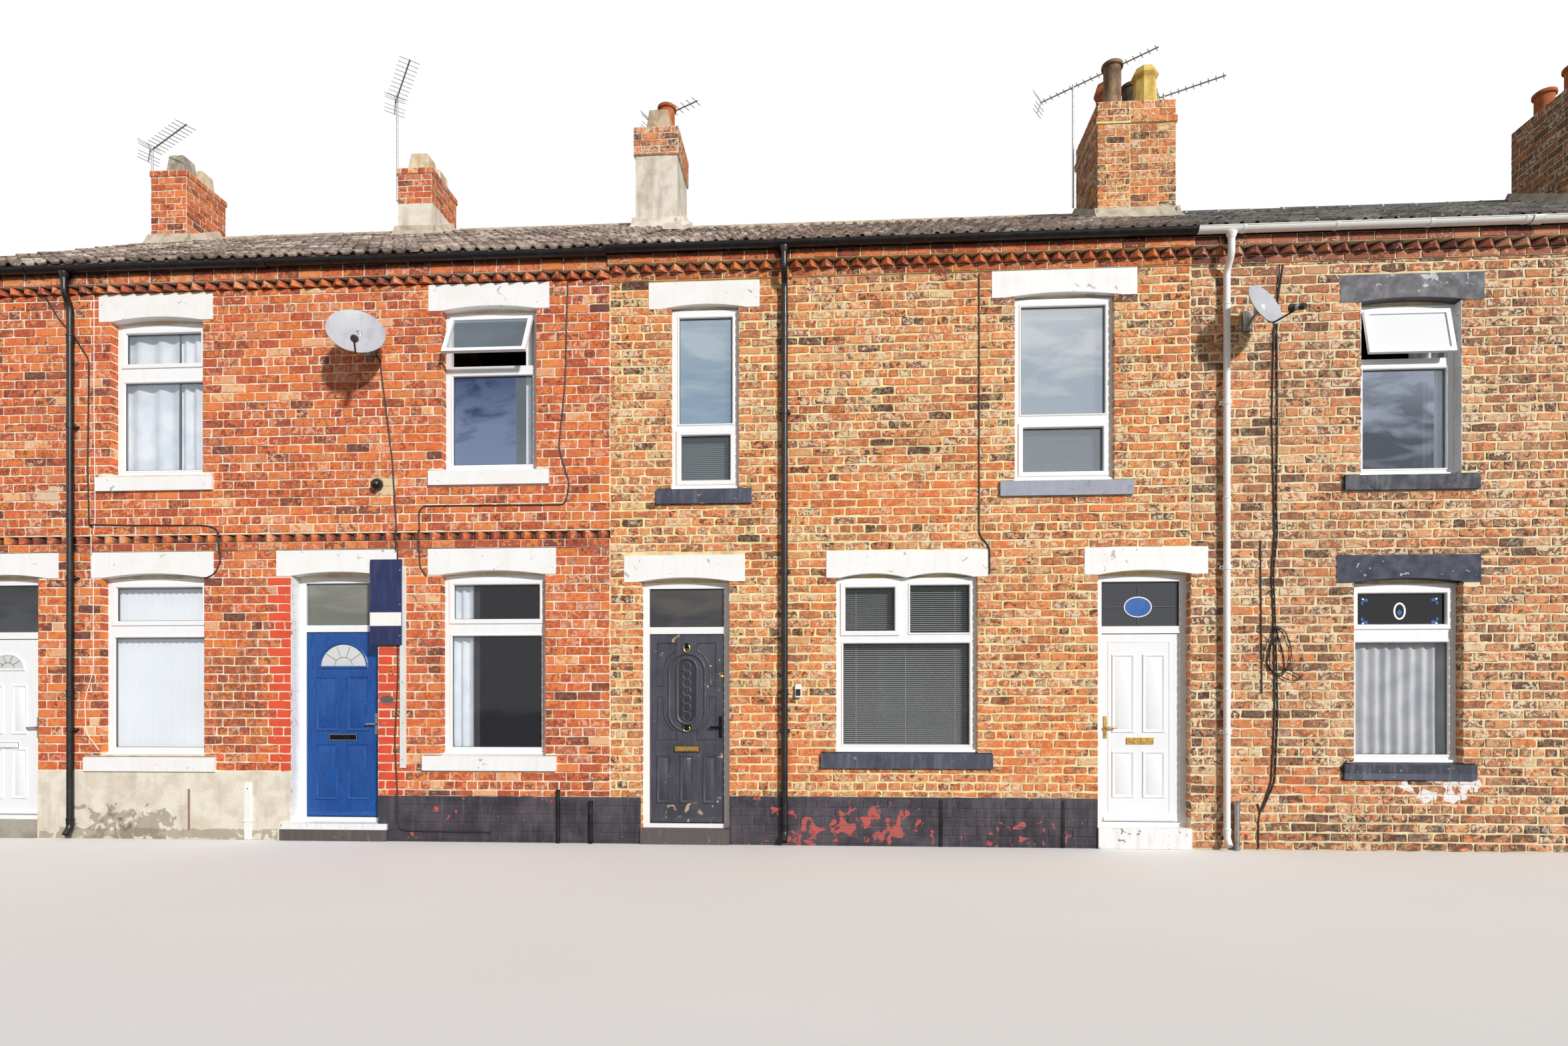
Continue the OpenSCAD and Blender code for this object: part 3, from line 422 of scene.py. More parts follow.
@dataclass(frozen=True)
class PaintFinish:
    """Paint on stone, wood or render, with dirt and flakes that show what is under it."""

    name: str
    paint: Rgb
    faded: Rgb
    under: Rgb = (150, 140, 128)
    flakes: float = 0.0
    dirt: Rgb = (120, 110, 98)
    dirt_amount: float = 0.2
    rough: float = 0.5
    relief: float = 0.5
    zones: tuple[Zone, ...] = ()
    wood: Rgb | None = None

    def build(self) -> Finish:
        """Returns the material."""
        g = Graph(self.name)
        colour = g.ramp(g.noise(3.5, 4.0), [(0.35, self.faded), (0.62, self.paint)])
        colour = g.paint_zones(colour, self.zones)
        grime = g.band(g.noise(4.0, 5.0, (5.0, 5.0, 0.7), 0.3), 0.5, 0.75, 0.0, self.dirt_amount)
        colour = g.mix(grime, colour, linear(self.dirt))
        height = g.noise(70.0, 3.0)
        if self.wood is not None:
            lines = g.calc("FRACT", g.calc("MULTIPLY", g.noise(2.6, 3.0, (2.4, 2.4, 0.34), warp=0.9), 26.0))
            veins = g.band(lines, 0.62, 0.92, 0.0, 0.55)
            colour = g.mix(veins, colour, linear(self.wood))
            height = g.calc("SUBTRACT", height, g.calc("MULTIPLY", veins, 1.4))
        if self.flakes > 0:
            chips = g.band(g.noise(9.0, 7.0, warp=1.4), 0.69 - 0.14 * self.flakes, 0.7 - 0.13 * self.flakes)
            colour = g.mix(chips, colour, linear(self.under))
            height = g.calc("SUBTRACT", g.calc("MULTIPLY", height, 0.35), chips)
        relief = g.bump(height, self.relief * MM)
        rough = g.band(g.noise(9.0, 3.0), 0.35, 0.7, self.rough - 0.06, min(1.0, self.rough + 0.14))
        return g.surface(colour, rough, relief)


@dataclass(frozen=True)
class PlasticFinish:
    """Moulded plastic or enamelled metal: nearly even, with a little grime and gloss."""

    name: str
    base: Rgb
    grime: Rgb = (150, 145, 135)
    grime_amount: float = 0.14
    rough: float = 0.32

    def build(self) -> Finish:
        """Returns the material."""
        g = Graph(self.name)
        dust = g.band(g.noise(5.0, 5.0, (3.0, 3.0, 0.8)), 0.48, 0.78, 0.0, self.grime_amount)
        colour = g.mix(dust, linear(self.base), linear(self.grime))
        rough = g.band(g.noise(14.0, 4.0), 0.3, 0.7, self.rough - 0.05, self.rough + 0.16)
        relief = g.bump(g.noise(28.0, 2.0), 0.25 * MM)
        return g.surface(colour, rough, relief)


@dataclass(frozen=True)
class MetalFinish:
    """Bare or brassed metal with rust or tarnish."""

    name: str
    base: Rgb
    rust: Rgb = (128, 66, 34)
    rust_amount: float = 0.3
    rough: float = 0.38

    def build(self) -> Finish:
        """Returns the material."""
        g = Graph(self.name)
        spots = g.band(g.noise(22.0, 6.0, warp=0.8), 0.5, 0.66, 0.0, self.rust_amount)
        colour = g.mix(spots, linear(self.base), linear(self.rust))
        metal = g.band(spots, 0.0, 1.0, 1.0, 0.1)
        rough = g.band(g.noise(40.0, 3.0), 0.3, 0.7, self.rough - 0.08, self.rough + 0.2)
        return g.surface(colour, rough, g.bump(g.noise(90.0, 3.0), 0.3 * MM), Metallic=metal)


@dataclass(frozen=True)
class TileFinish:
    """Weathered roof tiles or slates with lichen."""

    name: str
    tones: tuple[tuple[float, Rgb], ...]
    lichen: Rgb = (222, 214, 192)
    lichen_amount: float = 0.75

    def build(self) -> Finish:
        """Returns the material."""
        g = Graph(self.name)
        tone = g.node("ShaderNodeAttribute", attribute_name="tone").outputs["Fac"]
        colour = g.ramp(tone, self.tones)
        wash = g.ramp(g.noise(11.0, 5.0, warp=0.7), [(0.36, (118, 110, 104)), (0.56, WHITE)])
        colour = g.mix(0.8, colour, wash, Blend.DARKEN)
        cells = g.node("ShaderNodeTexVoronoi", {"Vector": g.place, "Scale": 19.0}).outputs["Distance"]
        spots = g.band(cells, 0.16, 0.26, 1.0, 0.0)
        where = g.band(g.noise(5.0, 4.0), 0.46, 0.56, 0.0, self.lichen_amount)
        colour = g.mix(g.calc("MULTIPLY", spots, where), colour, linear(self.lichen))
        grit = g.noise(210.0, 2.0)
        relief = g.bump(g.noise(30.0, 4.0), 1.6 * MM)
        return g.surface(colour, 0.86, g.bump(grit, 0.7 * MM, relief))


@dataclass(frozen=True)
class GlassFinish:
    """Window glass: a dark tint that lets the room through, a clear gloss, and zones of colour, some of them
    painted sky reflections.
    """

    name: str
    tint: Rgb
    cover: float
    rough: float = 0.04
    zones: tuple[Zone, ...] = ()

    def build(self) -> Finish:
        """Returns the material."""
        g = Graph(self.name)
        pale = tuple(min(255, c + 34) for c in self.tint)
        colour = g.ramp(g.noise(1.3, 2.0), [(0.3, self.tint), (0.7, (pale[0], pale[1], pale[2]))])
        waves = g.bump(g.noise(1.6, 1.0), 2.5 * MM)
        cover: Value = self.cover
        if self.zones:
            rear = g.band(g.axis("Y"), 0.0, 0.1)
            cover = g.blend_value(rear, cover, 0.9)
            colour = g.mix(rear, colour, linear((46, 48, 56)))
        # Painted clouds: noise that breaks up the fade of each zone with a head colour, the painted sky
        # reflections among them.
        clouds = g.band(g.noise(2.4, 4.0, (0.7, 1.0, 2.0), warp=0.5), 0.44, 0.64, -0.25, 0.25)
        for zone in self.zones:
            inside = g.inside(zone)
            tint: Value = linear(zone.colour)
            # A zone with a head colour fades up into it; in b_up, c_slim, c_up and d_up this is a painted sky
            # reflection.
            if zone.head is not None:
                rise = g.calc("ADD", g.band(g.axis("Z"), zone.z0, zone.z1), clouds)
                tint = g.mix(g.band(rise, 0.2, 0.8), tint, linear(zone.head))
            colour = g.mix(inside, colour, tint)
            cover = g.blend_value(inside, cover, zone.cover)
        made = g.surface(colour, self.rough, waves, Alpha=cover, IOR=1.5)
        made.surface_render_method = "BLENDED"
        return made


@dataclass(frozen=True)
class ClothFinish:
    """Woven cloth, thin enough to let some light through."""

    name: str
    base: Rgb
    shade: Rgb
    weave: float = 900.0
    cover: float = 1.0

    def build(self) -> Finish:
        """Returns the material."""
        g = Graph(self.name)
        inputs: dict[str | int, Value] = {"Vector": g.place, "Scale": self.weave, "Distortion": 1.0}
        level, upright = (
            g.node("ShaderNodeTexWave", inputs, bands_direction=way).outputs["Fac"] for way in ("Z", "X")
        )
        weave = g.calc("MULTIPLY", level, upright)
        colour = g.ramp(g.noise(5.0, 3.0), [(0.35, self.shade), (0.6, self.base)])
        colour = g.mix(g.calc("MULTIPLY", weave, 0.12), colour, linear(self.shade))
        more: dict[str, Value] = {"Sheen_Weight": 0.25, "Sheen_Roughness": 0.5}
        if self.cover < 1:
            more["Alpha"] = self.cover
        return g.surface(colour, 0.85, g.bump(weave, 0.3 * MM), **more)


class Pile:
    """Many small closed pieces joined into one mesh, each with its tone and finish."""

    _shells: dict[tuple[int, int, bool, bool, bool], Faces] = {}

    def __init__(self) -> None:
        """Starts an empty pile."""
        self.points: list[np.ndarray] = []
        self.tones: list[np.ndarray] = []
        self.corners: list[np.ndarray] = []
        self.sizes: list[np.ndarray] = []
        self.finishes: list[np.ndarray] = []
        self.count = 0

    @classmethod
    def shell_faces(cls, n: int, rings: int, front: bool, back: bool, closed: bool) -> Faces:
        """Works out the faces of a stack of rings.

        Args:
            n: Points in a ring.
            rings: Number of rings.
            front: Whether the last ring is filled.
            back: Whether the first ring is filled.
            closed: Whether the last ring joins the first.

        Returns:
            The faces' corners, the same with each face turned round, their numbers of corners,
            and triangles that cover them.
        """
        key = (n, rings, front, back, closed)
        if key not in cls._shells:
            corners: list[int] = []
            sizes: list[int] = []
            for r in range(rings if closed else rings - 1):
                a, b = r * n, ((r + 1) % rings) * n
                for i in range(n):
                    j = (i + 1) % n
                    corners += [a + i, a + j, b + j, b + i]
                    sizes.append(4)
            if front:
                corners += [(rings - 1) * n + i for i in range(n)]
                sizes.append(n)
            if back:
                corners += [n - 1 - i for i in range(n)]
                sizes.append(n)
            starts = np.cumsum([0, *sizes[:-1]])
            turned = [c for a, n_side in zip(starts, sizes) for c in corners[a : a + n_side][::-1]]
            fans = [
                (corners[a], corners[a + k], corners[a + k + 1])
                for a, n_side in zip(starts, sizes)
                for k in range(1, n_side - 1)
            ]
            cls._shells[key] = (np.array(corners), np.array(turned), np.array(sizes), np.array(fans))
        return cls._shells[key]

    def shell(
        self,
        rings: Sequence[np.ndarray],
        finish: int = 0,
        tone: float = 0.5,
        front: bool = True,
        back: bool = True,
        closed: bool = False,
    ) -> None:
        """Adds a stack of rings of points, joined by faces that look outwards.

        Args:
            rings: Arrays of the same number of points.
            finish: Number of the material.
            tone: The piece's tone, from 0 to 1.
            front: Whether the last ring is filled.
            back: Whether the first ring is filled.
            closed: Whether the last ring joins the first.
        """
        n = len(rings[0])
        points = np.concatenate(rings)
        corners, turned, sizes, fans = self.shell_faces(
            n, len(rings), front and not closed, back and not closed, closed
        )
        if back:
            a, b, c = (points[fans[:, k]] - points[0] for k in range(3))
            if np.einsum("ij,ij->", a, np.cross(b, c)) < 0:
                corners = turned
        self.points.append(points)
        self.tones.append(np.full(len(points), tone))
        self.corners.append(corners + self.count)
        self.sizes.append(sizes)
        self.finishes.append(np.full(len(sizes), finish))
        self.count += len(points)

    def box(self, lo: Point, hi: Point, edge: float = 0.002, finish: int = 0, tone: float = 0.5) -> None:
        """Adds a box with softened edges.

        Args:
            lo: Lowest corner.
            hi: Highest corner.
            edge: Width of the softened edges.
            finish: Number of the material.
            tone: The piece's tone.
        """
        rings = []
        for y, inset in ((hi[1], edge), (hi[1] - edge, 0.0), (lo[1] + edge, 0.0), (lo[1], edge)):
            x0, x1, z0, z1 = lo[0] + inset, hi[0] - inset, lo[2] + inset, hi[2] - inset
            rings.append(np.array([
                (x0, y, z0 + edge), (x0 + edge, y, z0), (x1 - edge, y, z0), (x1, y, z0 + edge),
                (x1, y, z1 - edge), (x1 - edge, y, z1), (x0 + edge, y, z1), (x0, y, z1 - edge),
            ]))
        self.shell(rings, finish, tone)

    def tube(self, path: Sequence[Point], radius: float, sides: int = 10, finish: int = 0) -> None:
        """Adds a round bar along a path.

        Args:
            path: Points of the middle line.
            radius: The bar's radius.
            sides: Sides of its section.
            finish: Number of the material.
        """
        line = np.array(path, float)
        steps = np.diff(line, axis=0)
        steps /= np.linalg.norm(steps, axis=1)[:, None]
        aim = np.vstack([steps[:1], steps[:-1] + steps[1:], steps[-1:]])
        aim /= np.linalg.norm(aim, axis=1)[:, None]
        turn = np.linspace(0, 2 * math.pi, sides, endpoint=False)
        side = np.cross(aim[0], (0.0, 0.0, 1.0) if abs(aim[0][2]) < 0.9 else (1.0, 0.0, 0.0))
        rings = []
        for i, (centre, way) in enumerate(zip(line, aim)):
            side = side - way * side.dot(way)
            side /= np.linalg.norm(side)
            up = np.cross(way, side)
            leg = steps[min(i, len(steps) - 1)]
            r = radius / max(0.5, abs(way.dot(leg)))
            rings.append(centre + r * (np.cos(turn)[:, None] * side + np.sin(turn)[:, None] * up))
        self.shell(rings, finish)

    def lathe(
        self,
        profile: Section,
        centre: Point,
        way: Point = (0.0, 0.0, 1.0),
        sides: int = 24,
        finish: int = 0,
    ) -> None:
        """Adds a turned form.

        Args:
            profile: Radius and height of each ring.
            centre: Foot of the axis.
            way: Direction of the axis.
            sides: Sides of each ring.
            finish: Number of the material.
        """
        axis = np.array(way, float) / np.linalg.norm(way)
        side = np.cross(axis, (0.0, 1.0, 0.0) if abs(axis[1]) < 0.9 else (1.0, 0.0, 0.0))
        side /= np.linalg.norm(side)
        up = np.cross(axis, side)
        turn = np.linspace(0, 2 * math.pi, sides, endpoint=False)
        circle = np.cos(turn)[:, None] * side + np.sin(turn)[:, None] * up
        rings = [np.array(centre) + axis * height + circle * radius for radius, height in profile]
        self.shell(rings, finish)

    def bar(self, section: Section, x0: float, x1: float, finish: int = 0, tone: float = 0.5) -> None:
        """Adds a straight moulding along X.

        Args:
            section: Y and Z of its outline.
            x0: Where it starts.
            x1: Where it ends.
            finish: Number of the material.
            tone: The piece's tone.
        """
        self.shell([np.array([(x, y, z) for y, z in section]) for x in (x0, x1)], finish, tone)

    def frame(self, outline: np.ndarray, section: Section, finish: int = 0) -> None:
        """Adds a moulding round an upright outline, with mitred corners.

        Args:
            outline: X and Z of the outline's points, anticlockwise seen from the front.
            section: How far in from the outline each point of the section lies, and its Y.
            finish: Number of the material.
        """
        self.shell([upright_ring(outline, inset, y) for inset, y in section], finish, closed=True)

    def plate(self, outline: np.ndarray, y_back: float, y_front: float, edge: float, finish: int = 0) -> None:
        """Adds an upright plate with a softened front edge.

        Args:
            outline: X and Z of the outline's points.
            y_back: Y of its back.
            y_front: Y of its front.
            edge: Width of the softened edge.
            finish: Number of the material.
        """
        section = ((0.0, y_back), (0.0, y_front + edge), (edge, y_front))
        self.shell([upright_ring(outline, inset, y) for inset, y in section], finish)

    def stud(self, profile: Section, centre: Point, sides: int, finish: int) -> None:
        """Adds a turned form that faces forward, such as a screw's head.

        Args:
            profile: Radius and height of each ring.
            centre: Middle of its back.
            sides: Sides of each ring.
            finish: Number of the material.
        """
        self.lathe(profile, centre, FORWARD, sides, finish)

    def hoop(self, line: Section, y: float, radius: float, sides: int = 6, finish: int = 0) -> None:
        """Adds a round bar that lies in one upright plane.

        Args:
            line: X and Z of its middle line's points.
            y: Y of the plane.
            radius: The bar's radius.
            sides: Sides of its section.
            finish: Number of the material.
        """
        self.tube([(x, y, z) for x, z in line], radius, sides, finish)

    def make(
        self, name: str, finishes: Sequence[Finish], body: str, smooth: float | None = None
    ) -> bpy.types.Object:
        """Turns the pile into one piece that rides on a body.

        Args:
            name: The piece's name.
            finishes: Its materials, in the order of their numbers.
            body: The CAD body that it rides on.
            smooth: Angle in degrees up to which edges are rounded off in shading.

        Returns:
            The new object.
        """
        mesh = bpy.data.meshes.new(name)
        points = np.concatenate(self.points) + CORNER
        corners, sizes = np.concatenate(self.corners), np.concatenate(self.sizes)
        mesh.vertices.add(len(points))
        mesh.vertices.foreach_set("co", points.astype(np.float32).ravel())
        mesh.loops.add(len(corners))
        mesh.loops.foreach_set("vertex_index", corners.astype(np.int32))
        mesh.polygons.add(len(sizes))
        mesh.polygons.foreach_set("loop_start", (np.cumsum(sizes) - sizes).astype(np.int32))
        mesh.polygons.foreach_set("material_index", np.concatenate(self.finishes).astype(np.int32))
        tone = mesh.attributes.new("tone", "FLOAT", "POINT")
        tone.data.foreach_set("value", np.concatenate(self.tones).astype(np.float32))
        mesh.update(calc_edges=True)
        mesh.validate()
        for finish in finishes:
            mesh.materials.append(finish)
        if smooth is None:
            mesh.shade_flat()
        else:
            mesh.shade_smooth()
            mesh.set_sharp_from_angle(angle=math.radians(smooth))
        made = bpy.data.objects.new(name, mesh)
        bpy.context.scene.collection.objects.link(made)
        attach(made, body)
        LOG.info("%s: %d triangles", name, int((sizes - 2).sum()))
        return made


def inset_outline(outline: np.ndarray, inset: float) -> np.ndarray:
    """Moves a closed outline inwards with mitred corners.

    Args:
        outline: Points of the outline, anticlockwise.
        inset: How far in it moves.

    Returns:
        The moved points.
    """
    if inset == 0:
        return outline
    before = outline - np.roll(outline, 1, axis=0)
    after = np.roll(outline, -1, axis=0) - outline
    before /= np.linalg.norm(before, axis=1)[:, None]
    after /= np.linalg.norm(after, axis=1)[:, None]
    left_a = np.column_stack([-before[:, 1], before[:, 0]])
    left_b = np.column_stack([-after[:, 1], after[:, 0]])
    mitre = left_a + left_b
    length = np.maximum(0.35, (mitre * left_a).sum(1))
    return outline + inset * mitre / length[:, None]


def upright_ring(outline: np.ndarray, inset: float, y: float) -> np.ndarray:
    """Gives the points of an upright outline in space, moved inwards and put at a Y."""
    ring = inset_outline(outline, inset)
    return np.column_stack([ring[:, 0], np.full(len(ring), y), ring[:, 1]])


def arc(cx: float, cz: float, rx: float, rz: float, turn: Iterable[float]) -> list[tuple[float, float]]:
    """Gives the points of an upright ellipse at some angles."""
    return [(cx + rx * math.cos(t), cz + rz * math.sin(t)) for t in turn]


def rectangle(x0: float, x1: float, z0: float, z1: float) -> np.ndarray:
    """Gives a rectangle's corners, anticlockwise seen from the front."""
    return np.array([(x0, z0), (x1, z0), (x1, z1), (x0, z1)])


def ellipse(cx: float, cz: float, rx: float, rz: float, count: int = 40) -> np.ndarray:
    """Gives points of an upright ellipse, anticlockwise seen from the front."""
    turn = np.linspace(0, 2 * math.pi, count, endpoint=False)
    return np.column_stack([cx + rx * np.cos(turn), cz + rz * np.sin(turn)])


LEAST_BRICK = 0.02
LEAST_STRETCH = 0.012
BLOCK_GAP = 0.006
BLOCK_LAP = 0.004
WALL_PAINT, REVEAL_PAINT = 1, 2
FIRST_COURSE_Z = 0.012


@dataclass(frozen=True)
class Patch:
    """A rectangle of a wall face: along, then up."""

    x0: float
    x1: float
    z0: float
    z1: float


@dataclass(frozen=True)
class Opening:
    """A window or doorway in the front, as the CAD has it."""

    name: str
    left: float
    sill: float
    width: float
    height: float
    recess: float

    @property
    def right(self) -> float:
        """Its right side."""
        return self.left + self.width

    @property
    def top(self) -> float:
        """Its head."""
        return self.sill + self.height

    def patch(self, foot: float | None = None) -> Patch:
        """Gives the hole in the wall, from the foot or else from the sill up."""
        return Patch(self.left, self.right, self.sill if foot is None else foot, self.top)


@dataclass(frozen=True)
class Wall:
    """A flat face that bricks lie on: its corner, its way along, and its way out."""

    origin: Point
    along: Point
    out: Point

    def lift(self, flat: np.ndarray, proud: float) -> np.ndarray:
        """Puts points of the face into space.

        Args:
            flat: How far along and how high each point is.
            proud: How far the points stand out of the face.

        Returns:
            The points.
        """
        base = np.array(self.origin) + proud * np.array(self.out)
        return base + flat[:, :1] * np.array(self.along) + flat[:, 1:] * np.array((0.0, 0.0, 1.0))


@dataclass(frozen=True)
class Bond:
    """A brick bond: rows of long sides, with a row of ends every few courses."""

    course: float
    pitch: float
    ends_z: float
    joint: float
    proud: float = 0.0055
    ragged: float = 0.0022
    ends_every: int = 6
    edge: float = 0.0028
    fine: bool = True

    @property
    def plain(self) -> "Bond":
        """The same bond with simpler bricks, for the rear and the gables."""
        return replace(self, fine=False, edge=0.004)

    def courses(self, low: float, high: float) -> Iterable[tuple[int, float, float]]:
        """Gives each course that crosses a height range.

        Args:
            low: Where the range starts.
            high: Where it ends.

        Yields:
            The course's number from the row of ends, and its bricks' foot and head.
        """
        first = math.floor((low - self.ends_z) / self.course - 0.5)
        last = math.ceil((high - self.ends_z) / self.course + 0.5)
        for k in range(first, last + 1):
            middle = self.ends_z + k * self.course
            half = (self.course - self.joint) / 2
            z0, z1 = max(low, middle - half), min(high, middle + half)
            if z1 - z0 > LEAST_BRICK:
                yield k, z0, z1


@dataclass
class Bricklayer:
    """Lays single bricks on a wall face, round its openings and trim."""

    bond: Bond
    wall: Wall
    seed: int
    limit: Callable[[float], float] | None = None
    painted: tuple[Patch, ...] = ()
    # A cap on the bricks' tones; below one it paints shade on a face by keeping it to the darkest tones.
    painted_shade_tone_cap: float = 1.0
    rng: np.random.Generator = field(init=False)

    def __post_init__(self) -> None:
        """Starts the random draws."""
        self.rng = np.random.default_rng(self.seed)

    def brick(self, pile: Pile, u0: float, u1: float, z0: float, z1: float) -> None:
        """Adds one brick.

        Args:
            pile: The pile that it joins.
            u0: Its left end.
            u1: Its right end.
            z0: Its foot.
            z1: Its head.
        """
        left, right = z1, z1
        if self.limit is not None:
            left, right = min(z1, self.limit(u0)), min(z1, self.limit(u1))
            if max(left, right) < z0 + LEAST_BRICK:
                return
            left, right = max(left, z0 + 0.006), max(right, z0 + 0.006)
        bond, middle = self.bond, (u0 + u1) / 2
        c = min(0.007, 0.2 * (u1 - u0)) * (0.6 + 0.8 * self.rng.random())
        d = min(c, 0.3 * (left - z0), 0.3 * (right - z0))
        if bond.fine:
            flat = np.array([
                (u0, z0 + d), (u0 + c, z0), (middle, z0), (u1 - c, z0), (u1, z0 + d), (u1, right - d),
                (u1 - c, right), (middle, (left + right) / 2), (u0 + c, left), (u0, left - d),
            ])
        else:
            flat = np.array([(u0, z0), (u1, z0), (u1, right), (u0, left)])
        most = 2.4 * bond.ragged
        flat = flat + self.rng.normal(0.0, bond.ragged, flat.shape).clip(-most, most)
        tone = self.painted_shade_tone_cap * float(self.rng.random())
        proud = bond.proud + float(self.rng.normal(0.0, 0.0007))
        centre = np.array([(middle, (z0 + (left + right) / 2) / 2)])
        size = np.array([(u1 - u0, (left + right) / 2 - z0)])
        shrink = 1 - 2 * bond.edge / np.maximum(size, 4 * bond.edge)
        face = centre + (flat - centre) * shrink
        rings = [self.wall.lift(flat, -0.004)]
        if bond.fine:
            rings.append(self.wall.lift(flat, proud - 0.6 * bond.edge))
        rings.append(self.wall.lift(face, proud))
        painted = any(p.x0 <= middle <= p.x1 and p.z0 <= z0 and z1 <= p.z1 for p in self.painted)
        pile.shell(rings, WALL_PAINT if painted else 0, tone, back=False)

    def free(
        self, span: Patch, blocks: Sequence[Patch], z0: float, z1: float
    ) -> list[tuple[float, float, float, float]]:
        """Finds where a course can run.

        Args:
            span: The wall's rectangle.
            blocks: Rectangles that take no bricks.
            z0: The course's foot.
            z1: The course's head.

        Returns:
            Stretches of the course: start, end, foot and head.
        """
        near = [
            b for b in blocks
            if b.z0 < z1 - BLOCK_LAP and b.z1 > z0 + BLOCK_LAP and b.x1 > span.x0 and b.x0 < span.x1
        ]
        cuts = sorted(
            {span.x0, span.x1, *(min(max(v, span.x0), span.x1) for b in near for v in (b.x0, b.x1))}
        )
        found: list[tuple[float, float, float, float]] = []
        for a, b in zip(cuts, cuts[1:]):
            low, high = z0, z1
            for block in near:
                if block.x0 < (a + b) / 2 < block.x1:
                    if block.z0 - low < high - block.z1:
                        low = max(low, block.z1 + BLOCK_GAP)
                    else:
                        high = min(high, block.z0 - BLOCK_GAP)
            if high - low < LEAST_BRICK or b - a < LEAST_STRETCH:
                continue
            if found and abs(found[-1][1] - a) < 1e-6 and found[-1][2:] == (low, high):
                found[-1] = (found[-1][0], b, low, high)
            else:
                found.append((a, b, low, high))
        return found

    def lay(self, pile: Pile, span: Patch, blocks: Sequence[Patch] = ()) -> None:
        """Lays every course of a wall.

        Args:
            pile: The pile that the bricks join.
            span: The wall's rectangle.
            blocks: Rectangles that take no bricks.
        """
        bond = self.bond
        for k, z0, z1 in bond.courses(span.z0, span.z1):
            ends = k % bond.ends_every == 0
            pitch = bond.pitch / 2 if ends else bond.pitch
            shift = (0.25 if ends else 0.5 * (k % 2)) * bond.pitch + self.rng.normal(0.0, 0.008)
            for a, b, low, high in self.free(span, blocks, z0, z1):
                first = math.ceil((a + 0.05 - span.x0 - shift) / pitch)
                joints = [a]
                while (at := span.x0 + shift + first * pitch) < b - 0.05:
                    joints.append(at + self.rng.normal(0.0, 0.004))
                    first += 1
                joints.append(b)
                for u0, u1 in zip(joints, joints[1:]):
                    gap0 = 0.0 if u0 == a and a > span.x0 else bond.joint / 2
                    gap1 = 0.0 if u1 == b and b < span.x1 else bond.joint / 2
                    self.brick(pile, u0 + gap0, u1 - gap1, low, high)


def reveal(pile: Pile, bond: Bond, hole: Opening, seed: int, finish: int) -> None:
    """Lines the sides of an opening with brick ends.

    Args:
        pile: The pile that they join.
        bond: The wall's bond.
        hole: The opening.
        seed: Seed of the tones.
        finish: Number of the material.
    """
    rng = np.random.default_rng(seed)
    for left in (True, False):
        for _, z0, z1 in bond.courses(hole.sill, hole.top):
            x = hole.left if left else hole.right
            wide = 0.0035 + float(rng.normal(0.0, 0.0006))
            if finish == REVEAL_PAINT:
                fill = 0.45 * bond.joint
                z0, z1 = max(hole.sill, z0 - fill), min(hole.top, z1 + fill)
            lo, hi = (x - 0.006, x + wide) if left else (x - wide, x + 0.006)
            pile.box(
                (lo, -bond.proud + 0.001, z0), (hi, hole.recess - 0.002, z1), 0.002, finish,
                float(rng.random()),
            )


WINDOWS = {hole.name: hole for hole in (
    Opening("a_low", 2.069, 0.935, 1.225, 1.995, 0.1),
    Opening("a_up", 2.187, 4.08, 1.091, 1.73, 0.1),
    Opening("b_low", 6.005, 0.951, 1.174, 1.979, 0.1),
    Opening("b_up", 6.017, 4.08, 1.061, 1.75, 0.1),
    Opening("c_low", 10.34, 0.997, 1.5, 1.863, 0.055),
    Opening("c_slim", 8.56, 3.838, 0.74, 1.942, 0.055),
    Opening("c_up", 12.222, 3.872, 1.034, 1.928, 0.055),
    Opening("d_low", 15.666, 0.906, 1.085, 1.857, 0.1),
    Opening("d_up", 15.739, 3.88, 0.993, 1.768, 0.1),
    Opening("d_slim", 18.765, 3.838, 0.74, 1.942, 0.1),
)}
DOORWAYS = {hole.name: hole for hole in (
    Opening("a", 0.35, 0.19, 0.98, 2.74, 0.1),
    Opening("b", 4.3, 0.19, 1.0, 2.74, 0.15),
    Opening("c1", 8.232, 0.16, 0.967, 2.672, 0.1),
    Opening("c2", 13.08, 0.215, 0.952, 2.655, 0.1),
    Opening("d", 18.866, 0.16, 0.967, 2.672, 0.1),
)}
LINTELS = (
    (0.26, 2.93, 1.316), (1.958, 2.93, 1.445), (4.131, 2.93, 1.383), (5.862, 2.93, 1.435),
    (2.053, 5.81, 1.342), (5.87, 5.83, 1.353), (8.32, 5.78, 1.203), (8.049, 2.832, 1.316),
    (10.239, 2.86, 1.705), (12.947, 2.87, 1.261), (11.986, 5.8, 1.502), (15.534, 5.648, 1.419),
    (15.494, 2.763, 1.427), (18.635, 5.78, 1.0), (18.69, 2.832, 1.316),
)
SILLS = (
    (2.037, 3.9, 1.366), (1.894, 0.755, 1.54), (5.877, 3.91, 1.346), (5.809, 0.781, 1.496),
    (8.407, 3.668, 1.03), (10.182, 0.827, 1.811), (12.069, 3.702, 1.378), (15.567, 3.71, 1.328),
    (15.56, 0.736, 1.302), (18.62, 3.668, 1.03),
)
PAINTED_REVEALS = ("d_up", "b")
LINTEL_H = 0.285
SILL_H = 0.17
RED_BOND = Bond(0.098, 0.26, 4.147, 0.0155, 0.0075, 0.0024)
BUFF_BOND = Bond(0.0916, 0.255, 4.481, 0.021, 0.0075, 0.0042)
TAN_BOND = Bond(0.0977, 0.255, 3.948, 0.021, 0.0075, 0.004)
PLINTH_BOND = Bond(0.096, 0.25, 0.45, 0.013, 0.0045, 0.002)
FRONT_FACE = Wall((0, 0, 0), (1, 0, 0), FORWARD)
REAR_FACE = Wall((ROW_W, DEPTH, 0), (-1, 0, 0), (0, 1, 0))
REAR_TOP = 6.345


